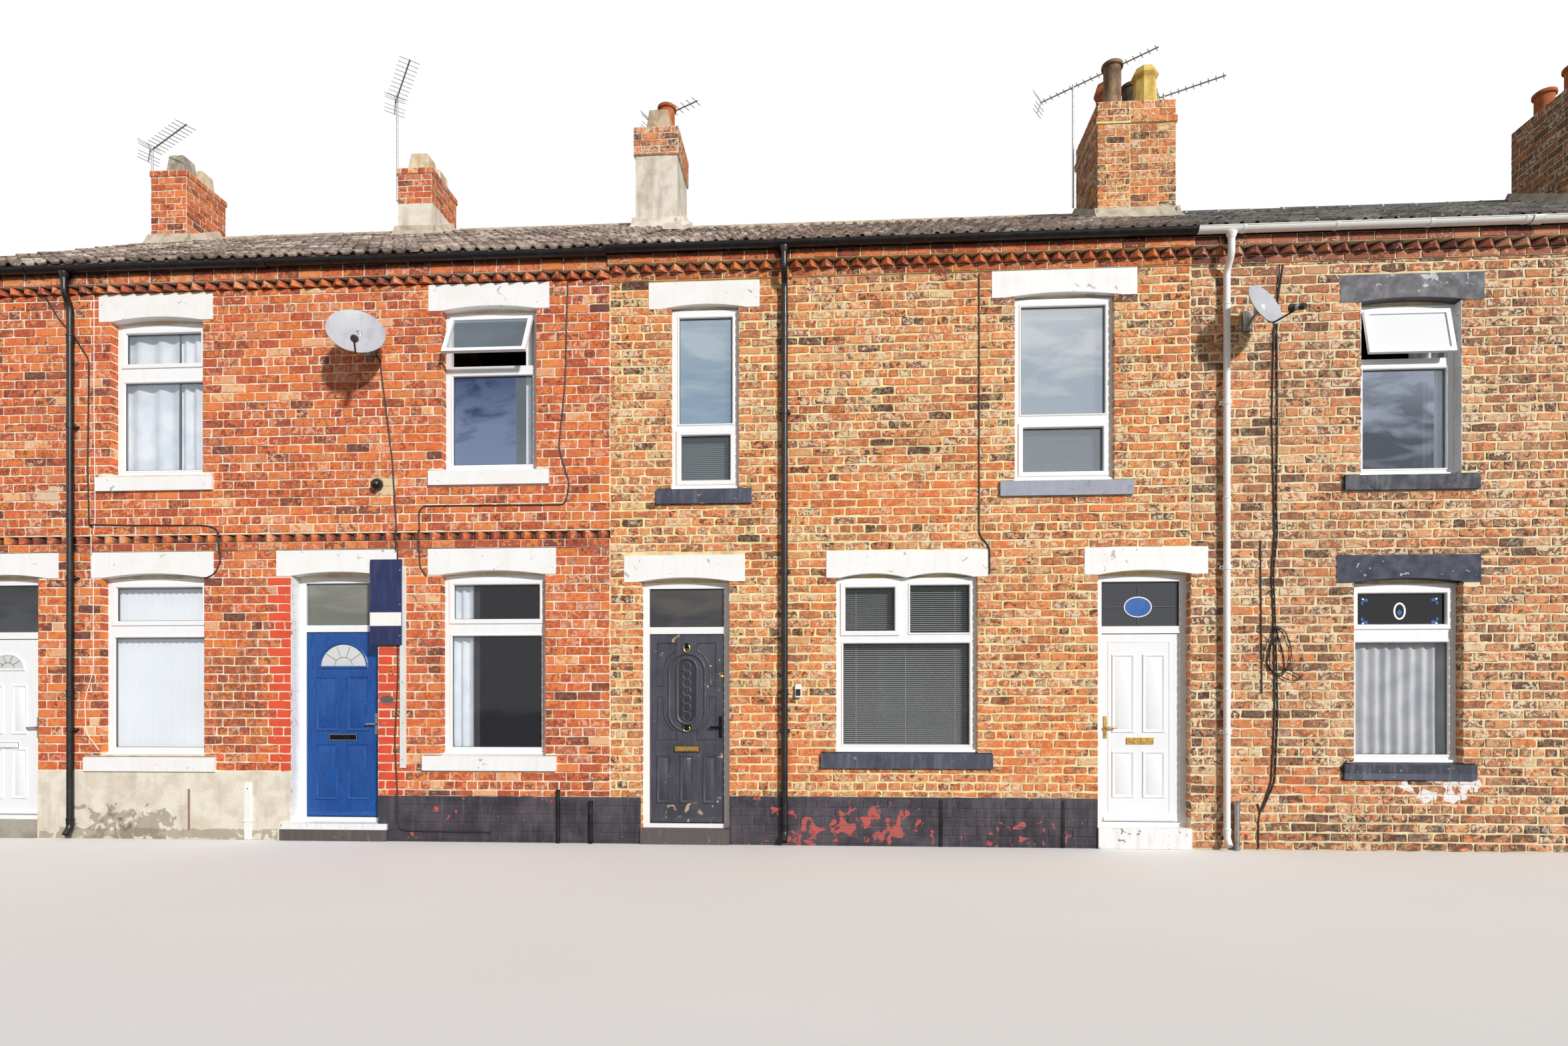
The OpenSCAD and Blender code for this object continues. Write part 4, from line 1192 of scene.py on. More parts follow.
@dataclass(frozen=True)
class House:
    """One stretch of the row that shares its bricks: front, rear and gable faces."""

    name: str
    x0: float
    x1: float
    bond: Bond
    eaves: float
    windows: tuple[str, ...]
    doors: tuple[str, ...]
    plinths: tuple[Patch, ...]
    bands: tuple[Patch, ...]
    rear_holes: tuple[Patch, ...]
    painted: tuple[Patch, ...]
    seed: int
    slot: str

    def front_blocks(self) -> list[Patch]:
        """Lists what takes the place of bricks on the front."""
        blocks = [WINDOWS[w].patch() for w in self.windows]
        blocks += [DOORWAYS[d].patch(0.0) for d in self.doors]
        blocks += [Patch(x, x + w, z, z + LINTEL_H) for x, z, w in LINTELS]
        blocks += [Patch(x, x + w, z, z + SILL_H) for x, z, w in SILLS]
        return [*blocks, *self.plinths, *self.bands]

    def build(self, finishes: Sequence[Finish]) -> None:
        """Lays the front and the rear.

        Args:
            finishes: The bricks' finish, then paint for painted bricks.
        """
        front = Pile()
        layer = Bricklayer(self.bond, FRONT_FACE, self.seed, painted=self.painted)
        layer.lay(front, Patch(self.x0, self.x1, FIRST_COURSE_Z, self.eaves), self.front_blocks())
        for holes, names, seed in ((WINDOWS, self.windows, 10), (DOORWAYS, self.doors, 30)):
            for i, name in enumerate(names):
                finish = REVEAL_PAINT if name in PAINTED_REVEALS else 0
                reveal(front, self.bond, holes[name], self.seed + seed + i, finish)
        front.make(f"bricks_front_{self.name}", finishes, "houses")
        rear = Pile()
        rear_holes = [Patch(ROW_W - p.x1, ROW_W - p.x0, p.z0, p.z1) for p in self.rear_holes]
        span = Patch(ROW_W - self.x1, ROW_W - self.x0, FIRST_COURSE_Z, REAR_TOP)
        Bricklayer(self.bond.plain, REAR_FACE, self.seed + 1).lay(rear, span, rear_holes)
        rear.make(f"bricks_rear_{self.name}", finishes, "houses")


def build_plinth_ends(render: Finish, paint: Finish) -> None:
    """Runs both plinths up to the frame of the blue door.

    Args:
        render: The finish of the pale plinth.
        paint: The finish of the black plinth.
    """
    ends = (
        ("plinth_end_render", render, "grey_render", 4.17, 4.3, 0.755),
        ("plinth_end_black", paint, "black_render", 5.3, 5.43, 0.5),
    )
    for name, finish, slot, x0, x1, high in ends:
        pile = Pile()
        pile.box((x0, -0.0146, 0.0), (x1, 0.0, high), 0.003)
        pile.make(name, [finish], "houses", 30)


def paint_plinths(paint: Finish) -> None:
    """Lays the painted bricks of the black plinths.

    Args:
        paint: The paint.
    """
    pile = Pile()
    layer = Bricklayer(PLINTH_BOND, Wall((0, -0.015, 0), (1, 0, 0), FORWARD), 141)
    for patch in (Patch(5.41, 8.232, 0.004, 0.5), Patch(9.199, 13.08, 0.004, 0.52)):
        layer.lay(pile, patch)
    pile.make("bricks_plinth_painted", [paint], "houses")


def rear_hole(x: float, z: float, wide: float = 1.0, high: float = 1.5) -> Patch:
    """Gives a rear opening, from its left side, foot, width and height."""
    return Patch(x, x + wide, z, z + high)


HOUSES = (
    House(
        "red", 0.0, RED_END, RED_BOND, 6.12, ("a_low", "a_up", "b_low", "b_up"), ("a", "b"),
        (Patch(1.33, 4.19, 0.0, 0.755), Patch(5.41, RED_END, 0.0, 0.5), Patch(4.19, 5.41, 0.0, 0.19)),
        (Patch(0.0, RED_END, 3.22, 3.401),),
        (rear_hole(2.33, 0.95), rear_hole(1.58, 4.08), rear_hole(6.142, 0.95), rear_hole(5.442, 4.08),
         rear_hole(0.73, 0.0, 0.9, 2.25), rear_hole(4.592, 0.0, 0.9, 2.25)),
        (Patch(5.3, 5.56, 0.5, 2.93), Patch(4.13, 4.3, 0.76, 2.93)), 11, "red_brick",
    ),
    House(
        "c", RED_END, C_END, BUFF_BOND, 6.085, ("c_low", "c_slim", "c_up"), ("c1", "c2"),
        (Patch(RED_END, 8.232, 0.0, 0.5), Patch(9.199, 13.08, 0.0, 0.52)), (),
        (
            rear_hole(11.095, 0.95), rear_hole(8.795, 4.08), rear_hole(11.795, 4.08),
            rear_hole(8.595, 0.0, 0.9, 2.25),
        ),
        (), 12, "mixed_brick",
    ),
    House(
        "d", C_END, ROW_W, TAN_BOND, 6.085, ("d_low", "d_up", "d_slim"), ("d",), (), (),
        (
            rear_hole(15.762, 0.95), rear_hole(15.162, 4.08), rear_hole(18.162, 4.08),
            rear_hole(18.662, 0.0, 0.9, 2.25),
        ),
        (), 13, "buff_brick",
    ),
)


@dataclass(frozen=True)
class Gables:
    """Bricks of the two end walls, cut along the roof."""

    eaves: float = 6.35
    ridges: tuple[float, float] = (8.563, 8.463)

    def build(self, left: Finish, right: Finish) -> None:
        """Lays both gables.

        Args:
            left: Bricks of the left house.
            right: Bricks of the right house.
        """
        half = DEPTH / 2
        sides = (
            ("left", Wall((0, DEPTH, 0), (0, -1, 0), (-1, 0, 0)), RED_BOND, left, "red_brick"),
            ("right", Wall((ROW_W, 0, 0), (0, 1, 0), (1, 0, 0)), TAN_BOND, right, "buff_brick"),
        )
        for i, (name, wall, bond, finish, slot) in enumerate(sides):
            ridge = self.ridges[i]

            def slope(u: float, ridge: float = ridge) -> float:
                """Gives the roof's underside over a point of the gable."""
                return self.eaves + (1 - abs(u - half) / half) * (ridge - self.eaves)

            pile = Pile()
            Bricklayer(bond.plain, wall, 40 + i, slope).lay(pile, Patch(0.0, DEPTH, 0.013, ridge))
            pile.make(f"bricks_gable_{name}", [finish], "houses")


@dataclass(frozen=True)
class Band:
    """A projecting row of cornerwise bricks, with plain courses over or under it."""

    node: str
    x0: float
    x1: float
    teeth_z: float
    teeth_h: float
    pitch: float
    back: float
    valley: float
    tip: float
    courses: tuple[tuple[float, float, float], ...]
    seed: int
    slot: str

    def tooth(self, pile: Pile, x: float, half: float, rng: np.random.Generator) -> None:
        """Adds one brick that stands cornerwise.

        Args:
            pile: The pile that it joins.
            x: The tip's place along the row.
            half: Half its width at the back.
            rng: Random draws.
        """
        z0, z1 = self.teeth_z + 0.005, self.teeth_z + self.teeth_h - 0.005
        tip = self.tip + abs(float(rng.normal(0.0, 0.003)))
        shift = float(rng.normal(0.0, 0.003))
        base = [
            (x - half, self.valley), (x - half, self.back), (x + half, self.back), (x + half, self.valley)
        ]
        base += [(x + shift + 0.002, tip + 0.001), (x + shift - 0.002, tip + 0.001)]
        section = np.array(base[::-1])
        middle = section.mean(0)
        rings = []
        for z, grow in ((z0, 0.965), (z0 + 0.004, 1.0), (z1 - 0.004, 1.0), (z1, 0.965)):
            ring = middle + (section - middle) * grow
            rings.append(np.column_stack([ring, np.full(len(ring), z)]))
        pile.shell(rings, tone=float(rng.random()))

    def build(self, bricks: Finish, mortar: Finish) -> None:
        """Builds the band in place of its node.

        Args:
            bricks: The bricks' finish.
            mortar: The mortar's finish.
        """
        rng = np.random.default_rng(self.seed)
        pile = Pile()
        count = round((self.x1 - self.x0) / self.pitch)
        step = (self.x1 - self.x0) / count
        for i in range(count):
            self.tooth(pile, self.x0 + (i + 0.5) * step, step / 2 - 0.003, rng)
        z0, z1 = self.teeth_z, self.teeth_z + self.teeth_h
        pile.box((self.x0, self.valley + 0.006, z0), (self.x1, self.back, z1), 0.001, 1)
        for low, high, out in self.courses:
            pile.box((self.x0, -out + 0.006, low), (self.x1, 0.0, high), 0.001, 1)
            bricks_count = round((self.x1 - self.x0) / 0.25)
            wide = (self.x1 - self.x0) / bricks_count
            for i in range(bricks_count):
                a = self.x0 + i * wide + 0.005 + float(rng.normal(0.0, 0.0015))
                b = self.x0 + (i + 1) * wide - 0.005 + float(rng.normal(0.0, 0.0015))
                lift = float(rng.normal(0.0, 0.0015))
                a, b = max(a, self.x0), min(b, self.x1)
                pile.box(
                    (a, -out + lift, low + 0.004), (b, -out + 0.05, high - 0.004), 0.004,
                    tone=float(rng.random()),
                )
        made = pile.make(f"bricks_{self.node}", [bricks, mortar], "houses")
        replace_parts(made, self.node)


BANDS = (
    Band(
        "eaves_band_red", 0.0, RED_END, 6.12, 0.079, 0.1645, 0.0, -0.005, -0.077, ((6.199, 6.33, 0.08),), 51,
        "red_brick",
    ),
    Band(
        "eaves_band_c", RED_END, C_END, 6.155, 0.079, 0.161, 0.0, -0.025, -0.1,
        ((6.085, 6.155, 0.025), (6.234, 6.33, 0.11)), 52, "mixed_brick",
    ),
    Band(
        "eaves_band_d", C_END, ROW_W, 6.155, 0.079, 0.179, 0.0, -0.025, -0.1,
        ((6.085, 6.155, 0.025), (6.234, 6.33, 0.11)), 53, "buff_brick",
    ),
    Band(
        "string_band", 0.0, RED_END, 3.307, 0.094, 0.1715, 0.06, 0.048, -0.027, ((3.22, 3.307, 0.025),), 54,
        "red_brick",
    ),
)


# The share of the tones left to the stacks' left faces: painted shade on the side away from the key light.
SHADED_SIDE_TONE_CAP = 0.16


@dataclass(frozen=True)
class Stack:
    """A chimney stack: its place, its rendered part and its projecting courses."""

    node: str
    left: float
    wide: float
    front: float
    deep: float
    top: float
    bricks_from: float
    ledges: tuple[tuple[float, float, float], ...]
    seed: int
    course: float = 0.0975
    split: float = 0.0
    right_course: float = 0.0975

    def covers(self, x: float, y: float) -> bool:
        """Tells whether a point of the roof lies under the stack."""
        edge = 0.02
        return (
            self.left - edge < x < self.left + self.wide + edge
            and self.front - edge < y < self.front + self.deep + edge
        )

    def walls(self, out: float) -> list[tuple[Wall, float]]:
        """Gives the four faces and their widths.

        Args:
            out: How far the faces stand out of the plain stack.

        Returns:
            Each face with its width.
        """
        x0, x1 = self.left - out, self.left + self.wide + out
        y0, y1 = self.front - out, self.front + self.deep + out
        return [
            (Wall((x0, y0, 0), (1, 0, 0), (0, -1, 0)), x1 - x0),
            (Wall((x1, y0, 0), (0, 1, 0), (1, 0, 0)), y1 - y0),
            (Wall((x1, y1, 0), (-1, 0, 0), (0, 1, 0)), x1 - x0),
            (Wall((x0, y1, 0), (0, -1, 0), (-1, 0, 0)), y1 - y0),
        ]

    def lay(
        self, pile: Pile, out: float, low: float, high: float, blocks: Sequence[Patch], seed: int
    ) -> None:
        """Lays bricks on the four faces.

        Args:
            pile: The pile that they join.
            out: How far the faces stand out of the plain stack.
            low: The lowest course's foot.
            high: The highest course's head.
            blocks: Rectangles that take no bricks.
            seed: Seed of the random draws.
        """
        for face, (wall, wide) in enumerate(self.walls(out)):
            lap = 0.004 if face % 2 == 0 else 0.0
            pair = (self.course, self.right_course)
            left, right = pair if face in (0, 3) else pair[::-1]
            cut = {0: self.split + out, 2: wide - self.split - out}.get(face, 0.0) if self.split else 0.0
            spans = [(-lap, cut, left), (cut, wide + lap, right)] if cut else [(-lap, wide + lap, left)]
            for a, b, course in spans:
                bond = Bond(course, 0.245, self.top - course / 2, 0.0145, ends_every=99, ragged=0.0026)
                # The left face, number 3, takes only the darkest tones: painted shade.
                layer = Bricklayer(bond, wall, seed + face, painted_shade_tone_cap=SHADED_SIDE_TONE_CAP if face == 3 else 1.0)
                layer.lay(pile, Patch(a, b, low, high), blocks)

    def build(self, bricks: Finish, mortar: Finish) -> None:
        """Lays the bricks, the weathered top and the mortar at the foot.

        Args:
            bricks: The bricks' finish.
            mortar: The mortar's finish.
        """
        pile = Pile()
        blocks = [Patch(-0.1, 3.0, low, high) for low, high, _ in self.ledges]
        self.lay(pile, 0.0, self.bricks_from, self.top, blocks, self.seed)
        for low, high, out in self.ledges:
            self.lay(pile, out, low, high, [], self.seed + 10)
        x0, x1, y0, y1 = self.left, self.left + self.wide, self.front, self.front + self.deep
        rings = []
        for inset, z in ((0.03, -0.01), (0.03, 0.012), (0.07, 0.045), (0.13, 0.06)):
            ring = rectangle(x0 + inset, x1 - inset, y0 + inset, y1 - inset)
            rings.append(np.column_stack([ring, np.full(4, self.top + z)]))
        pile.shell(rings, 1)
        for roof in ROOFS:
            if roof.x0 - 0.3 < x0 and x1 < roof.x1 + 0.7:
                self.fillet(pile, roof)
                break
        pile.make(f"bricks_{self.node}", [bricks, mortar], "houses")

    def fillet(self, pile: Pile, roof: "Roof") -> None:
        """Fills the corner between the stack and the tiles with mortar.

        Args:
            pile: The pile that it joins.
            roof: The roof that the stack stands on.
        """
        x0, x1, y0 = self.left, self.left + self.wide, self.front
        foot, low = roof.height(y0), roof.height(y0 - 0.11)
        section = [
            (y0 - 0.11, low + 0.01), (y0 + 0.01, foot), (y0 + 0.01, foot + 0.19), (y0 - 0.012, foot + 0.18),
            (y0 - 0.05, foot + 0.1), (y0 - 0.11, low + 0.06),
        ]
        pile.bar(section, x0 - 0.05, min(x1 + 0.05, ROW_W), 1)
        half = DEPTH / 2
        for side, x in ((-1, x0), (1, x1)):
            if x > ROW_W - 0.05:
                continue
            outline = [
                (x + side * 0.11, -0.01), (x + side * 0.11, 0.055), (x + side * 0.05, 0.09),
                (x + side * 0.012, 0.17), (x - side * 0.01, 0.17), (x - side * 0.01, -0.01),
            ]
            if side < 0:
                outline = outline[::-1]
            rings = [
                np.array([(px, y, roof.height(min(y, DEPTH - y)) + dz) for px, dz in outline])
                for y in (y0 - 0.07, half, y0 + self.deep)
            ]
            pile.shell(rings[::-1], 1)


STACKS = (
    Stack("chimney_a", 0.202, 0.545, 2.9, 0.8, 9.4, 8.2, ((9.321, 9.4, 0.015),), 61),
    Stack("chimney_b", 3.976, 0.5, 2.9, 0.8, 9.3, 8.79, ((9.221, 9.3, 0.015),), 71, 0.086),
    Stack("chimney_bc", 7.482, 0.6, 2.9, 0.8, 9.75, 9.36, ((9.355, 9.75, 0.02),), 81, 0.0915),
    Stack("chimney_cd", 13.852, 1.02, 2.5, 1.0, 9.57, 7.88, ((9.27, 9.349, 0.02),), 91, 0.0935, 0.424, 0.104),
    Stack("chimney_d", 19.905, 0.495, 2.5, 1.0, 9.57, 7.87, (), 101),
)


@dataclass(frozen=True)
class Roof:
    """The two slopes over one stretch of the row."""

    name: str
    x0: float
    x1: float
    ridge: float
    seed: int
    eaves: float = 6.477
    reach: float = 0.165
    slot: str = "roof_tile"
    row: float = 0.335
    wide: float = 0.306

    @property
    def pitch(self) -> float:
        """The slope's angle."""
        return math.atan2(self.ridge - self.eaves, DEPTH / 2)

    @property
    def length(self) -> float:
        """The slope's length from the eaves' edge to the ridge."""
        return (DEPTH / 2 + self.reach) / math.cos(self.pitch)

    def height(self, y: float) -> float:
        """Gives the height of the front slope over a distance from the front face."""
        return self.eaves + y * (self.ridge - self.eaves) / (DEPTH / 2)

    def onto(self, flat: np.ndarray, rear: bool) -> np.ndarray:
        """Puts points of a slope into space.

        Args:
            flat: Along the row, up the slope from the eaves' edge, and out of the slope.
            rear: Whether it is the rear slope.

        Returns:
            The points.
        """
        c, s = math.cos(self.pitch), math.sin(self.pitch)
        x, v, out = flat.T
        y = -self.reach + v * c - out * s
        z = self.height(-self.reach) + v * s + out * c
        if rear:
            return np.column_stack([self.x0 + self.x1 - x, DEPTH - y, z])
        return np.column_stack([x, y, z])

    def tile(
        self, x: float, wide: float, v: float, gauge: float, rng: np.random.Generator
    ) -> list[np.ndarray]:
        """Shapes one tile.

        Args:
            x: Its left side.
            wide: Its width.
            v: How far up the slope its lower edge lies.
            gauge: The height of a row.
            rng: Random draws.

        Returns:
            The rings of its two ends.
        """
        roll = [
            (0.0, 0.0), (0.5, 0.0), (0.56, 0.22), (0.63, 0.75), (0.72, 1.0), (0.8, 1.0), (0.89, 0.72),
            (0.96, 0.18),
        ]
        along = np.array([(side + p) / 2 for side in (0, 1) for p, _ in roll] + [1.0])
        rise = np.array([0.008 + 0.029 * k for _ in (0, 1) for _, k in roll] + [0.008])
        lift = 0.017 + float(rng.normal(0.0, 0.0032))
        skew = float(rng.normal(0.0, 0.004))
        slope = float(rng.normal(0.0, 0.004))
        v += float(rng.normal(0.0, 0.006))
        rings = []
        for end, up, thick in ((0.0, lift, 0.02), (gauge + 0.04, 0.0, 0.011)):
            top = np.column_stack(
                [
                    x + skew + along * wide, np.full(len(along), v + end),
                    rise + up + 0.011 + slope * (along - 0.5),
                ]
            )
            under = top[::-1] - np.array([0.0, 0.0, thick])
            rings.append(np.vstack([under[::-1], top[::-1]]))
        return rings

    def build(self, tiles: Finish, bed: Finish) -> None:
        """Lays both slopes.

        Args:
            tiles: The tiles' finish.
            bed: The finish of the mortar at the verges.
        """
        rng = np.random.default_rng(self.seed)
        rows, count = round(self.length / self.row), round((self.x1 - self.x0) / self.wide)
        gauge, wide = (self.length - 0.06) / rows, (self.x1 - self.x0) / count
        for rear in (False, True):
            pile = Pile()
            for r in range(rows):
                high = gauge * (0.9 if r == rows - 1 else 1)
                for i in range(count):
                    flat = self.tile(self.x0 + i * wide, wide, r * gauge - 0.012, high, rng)
                    rings = [self.onto(ring, rear) for ring in flat]
                    tone = float(rng.random())
                    middle = np.vstack(rings).mean(0)
                    if not any(stack.covers(middle[0], middle[1]) for stack in STACKS):
                        pile.shell(rings, tone=tone)
            self.verge(pile, rear)
            name = f"rolled_tiles_{self.name}_{'rear' if rear else 'front'}"
            pile.make(name, [tiles, bed], "houses", 40)

    def verge(self, pile: Pile, rear: bool) -> None:
        """Beds the tiles at an open end of the row in mortar.

        Args:
            pile: The pile that it joins.
            rear: Whether it is the rear slope.
        """
        ends = (
            (self.x0 == 0.0, self.x0 + 0.002, self.x0 + 0.05),
            (self.x1 == ROW_W, self.x1 - 0.05, self.x1 - 0.002),
        )
        for is_open, a, b in ends:
            if not is_open:
                continue
            if rear:
                a, b = self.x0 + self.x1 - b, self.x0 + self.x1 - a
            corners = ((a, -0.02), (b, -0.02), (b, 0.026), (a, 0.026))
            rings = [np.array([(x, v, out) for x, out in corners]) for v in (0.01, self.length - 0.03)]
            pile.shell([self.onto(ring, rear) for ring in rings], 1)


ROOFS = (
    Roof("ab", 0.0, RED_END, 8.69, 111),
    Roof("c", RED_END, C_END, 8.61, 112),
    Roof("d", C_END, ROW_W, 8.59, 113, slot="roof_slate"),
)


@dataclass(frozen=True)
class Ridge:
    """Half-round ridge tiles bedded in mortar along the whole row."""

    radius: float = 0.115
    wall: float = 0.014
    length: float = 0.455
    sink: float = 0.45

    def build(self, finishes: Sequence[Finish]) -> None:
        """Builds the ridge in place of its node.

        Args:
            finishes: The pale ridge tiles, their mortar, and the dark ridge tiles.
        """
        rng = np.random.default_rng(121)
        pile = Pile()
        turn = np.radians(np.linspace(198, -18, 17))
        for roof in ROOFS:
            count = round((roof.x1 - roof.x0) / self.length)
            step = (roof.x1 - roof.x0) / count
            for i in range(count):
                a = roof.x0 + i * step + 0.006
                b = roof.x0 + (i + 1) * step - 0.006
                z = roof.ridge - self.sink * self.radius + float(rng.normal(0.0, 0.002))
                if any(stack.covers((a + b) / 2, DEPTH / 2) for stack in STACKS):
                    continue
                radii = (self.radius, self.radius - self.wall, 1.035 * self.radius)
                outer, inner, joint = (arc(DEPTH / 2, z, r, r, turn) for r in radii)
                pile.bar(inner + outer[::-1], a, b, 2 if roof.name == "d" else 0, float(rng.random()))
                pile.bar(joint[::-1], a - 0.02, a + 0.006, 1)
            low = roof.ridge - self.sink * self.radius
            section = [(3.42, -0.075), (3.68, -0.075), (3.675, -0.012), (3.55, 0.05), (3.425, -0.012)]
            pile.bar([(y, low + rise) for y, rise in section], roof.x0 + 0.004, roof.x1 - 0.004, 1)
        made = pile.make("ridge_and_bedding", finishes, "houses", 40)
        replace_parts(made, "ridge_tiles")


class PotShape(Enum):
    """How a chimney pot is shaped."""

    SQUARE = "square"
    ROUND = "round"
    COLLAR = "collar"


@dataclass(frozen=True)
class Pot:
    """A chimney pot."""

    x: float
    y: float
    foot: float
    half: float
    high: float
    finish: int
    shape: PotShape = PotShape.ROUND

    def add(self, pile: Pile) -> None:
        """Adds the pot to a pile.

        Args:
            pile: The pile that it joins.
        """
        r, h = self.half, self.high
        if self.shape is PotShape.ROUND:
            profile = [
                (1.0, -0.02), (1.0, h - 0.066), (1.2, h - 0.058), (1.24, h - 0.045), (1.22, h - 0.018),
                (1.14, h - 0.012),
            ]
            profile += [(1.02, h), (0.82, h), (0.78, 0.06)]
            pile.lathe(
                [(k * r, z) for k, z in profile], (self.x, self.y, self.foot), sides=36, finish=self.finish
            )
            return
        if self.shape is PotShape.SQUARE:
            profile = [(1.0, -0.02), (1.0, 0.01), (0.81, h - 0.008), (0.78, h), (0.58, h), (0.56, 0.06)]
            corners = np.array(
                [(-1, -0.9), (-0.9, -1), (0.9, -1), (1, -0.9), (1, 0.9), (0.9, 1), (-0.9, 1), (-1, 0.9)]
            )
        else:
            profile = [
                (1.0, -0.02), (1.0, 0.02), (0.83, 0.72 * h), (0.87, 0.74 * h), (0.98, 0.78 * h),
                (1.05, 0.81 * h), (1.05, 0.85 * h),
            ]
            profile += [
                (0.98, 0.9 * h), (0.86, 0.925 * h), (0.84, h - 0.015), (0.8, h), (0.62, h), (0.6, 0.06)
            ]
            turn = np.radians(np.arange(22.5, 382.5, 45))
            corners = np.column_stack([np.cos(turn), np.sin(turn)])
        rings = [
            np.column_stack([corners * k * r + (self.x, self.y), np.full(8, self.foot + z)])
            for k, z in profile
        ]
        pile.shell(rings, self.finish)


POTS = (
    Pot(0.54, 3.07, 9.4, 0.1425, 0.266, 0, PotShape.SQUARE),
    Pot(0.54, 3.44, 9.4, 0.1425, 0.266, 1, PotShape.SQUARE),
    *(Pot(4.26, y, 9.3, 0.155, 0.255, 1, PotShape.SQUARE) for y in (3.085, 3.46)),
    Pot(7.8, 3.1, 9.75, 0.17, 0.3, 5, PotShape.SQUARE), Pot(7.823, 3.47, 9.75, 0.115, 0.69, 4),
    Pot(14.1, 2.68, 9.57, 0.115, 0.63, 2), Pot(14.538, 2.7, 9.57, 0.1675, 0.535, 3, PotShape.COLLAR),
    Pot(14.175, 3.24, 9.57, 0.14, 0.74, 4, PotShape.COLLAR), Pot(14.535, 3.24, 9.57, 0.115, 0.72, 6),
    Pot(20.15, 2.76, 9.57, 0.115, 0.4, 4), Pot(20.15, 3.25, 9.57, 0.115, 0.4, 4),
)


def build_pots(finishes: Sequence[Finish]) -> None:
    """Builds the chimney pots in place of their node.

    Args:
        finishes: Streaked, cream, brown, yellow, orange, buff and mossy clay.
    """
    pile = Pile()
    for pot in POTS:
        pot.add(pile)
    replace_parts(pile.make("clay_pots", finishes, "houses", 25), "chimney_pots")


BAR = 0.062


class Light(Enum):
    """How a pane is held."""

    FIXED = "fixed"
    CASEMENT = "casement"


SASH_SECTIONS: dict[Light, tuple[tuple[float, float], ...]] = {
    Light.FIXED: (
        (-0.004, 0.02), (-0.004, -0.003), (0.004, -0.009), (0.014, -0.006), (0.02, 0.014), (0.02, 0.026)
    ),
    Light.CASEMENT: (
        (-0.012, 0.01), (-0.012, -0.01), (-0.007, -0.014), (0.03, -0.014), (0.036, -0.009), (0.042, 0.012),
        (0.042, 0.026),
    ),
}


@dataclass(frozen=True)
class Sash:
    """One pane of a front window and how it is held."""

    window: str
    x0: float
    x1: float
    z0: float
    z1: float
    light: Light

    def add(self, pile: Pile) -> None:
        """Adds its beads and its black gasket.

        Args:
            pile: The pile that they join.
        """
        face = WINDOWS[self.window].recess
        outline = rectangle(self.x0, self.x1, self.z0, self.z1)
        section = SASH_SECTIONS[self.light]
        pile.frame(outline, [(inset, face + y) for inset, y in section], 0)
        inner = section[-1][0]
        gasket = [(-0.002, 0.0265), (-0.002, 0.015), (0.004, 0.018), (0.004, 0.0265)]
        pile.frame(outline, [(inner + inset, face + y) for inset, y in gasket], 1)


def glass_lights() -> list[Sash]:
    """Lists every pane of the front windows, from the CAD's bars."""
    rows = {
        "a_low": (2.28, 0.13), "a_up": (5.17, 0.16), "b_low": (2.28, 0.13), "d_low": (2.17, 0.13),
        "c_slim": (4.464, 0.072), "c_up": (4.475, 0.09), "d_slim": (4.464, 0.072),
    }
    found = []
    for name, (z, high) in rows.items():
        w = WINDOWS[name]
        flip = name in ("c_slim", "c_up", "d_slim")
        low, up = (Light.CASEMENT, Light.FIXED) if flip else (Light.FIXED, Light.CASEMENT)
        found.append(Sash(name, w.left + BAR, w.right - BAR, w.sill + BAR, z, low))
        found.append(Sash(name, w.left + BAR, w.right - BAR, z + high, w.top - BAR, up))
    for name, z in (("b_up", 5.16), ("d_up", 5.01)):
        w = WINDOWS[name]
        found.append(Sash(name, w.left + BAR, w.right - BAR, w.sill + BAR, z, Light.FIXED))
    w = WINDOWS["c_low"]
    found.append(Sash("c_low", w.left + BAR, w.right - BAR, w.sill + BAR, 2.178, Light.FIXED))
    found.append(Sash("c_low", w.left + BAR, 11.008, 2.256, w.top - BAR, Light.CASEMENT))
    found.append(Sash("c_low", 11.115, w.right - BAR, 2.256, w.top - BAR, Light.FIXED))
    return found


def build_sashes(plastic: Finish, rubber: Finish) -> None:
    """Builds beads, sashes, gaskets and plastic sills of the front windows.

    Args:
        plastic: The frames' finish.
        rubber: The gaskets' finish.
    """
    pile = Pile()
    for sash in glass_lights():
        sash.add(pile)
    for w in WINDOWS.values():
        y = w.recess
        section = [(0.002, 0.001), (0.002, 0.036), (-0.028, 0.026), (-0.032, 0.002)]
        pile.bar([(y + out, w.sill + up) for out, up in section], w.left + 0.004, w.right - 0.004)
    pile.make("window_sashes", [plastic, rubber], "houses")


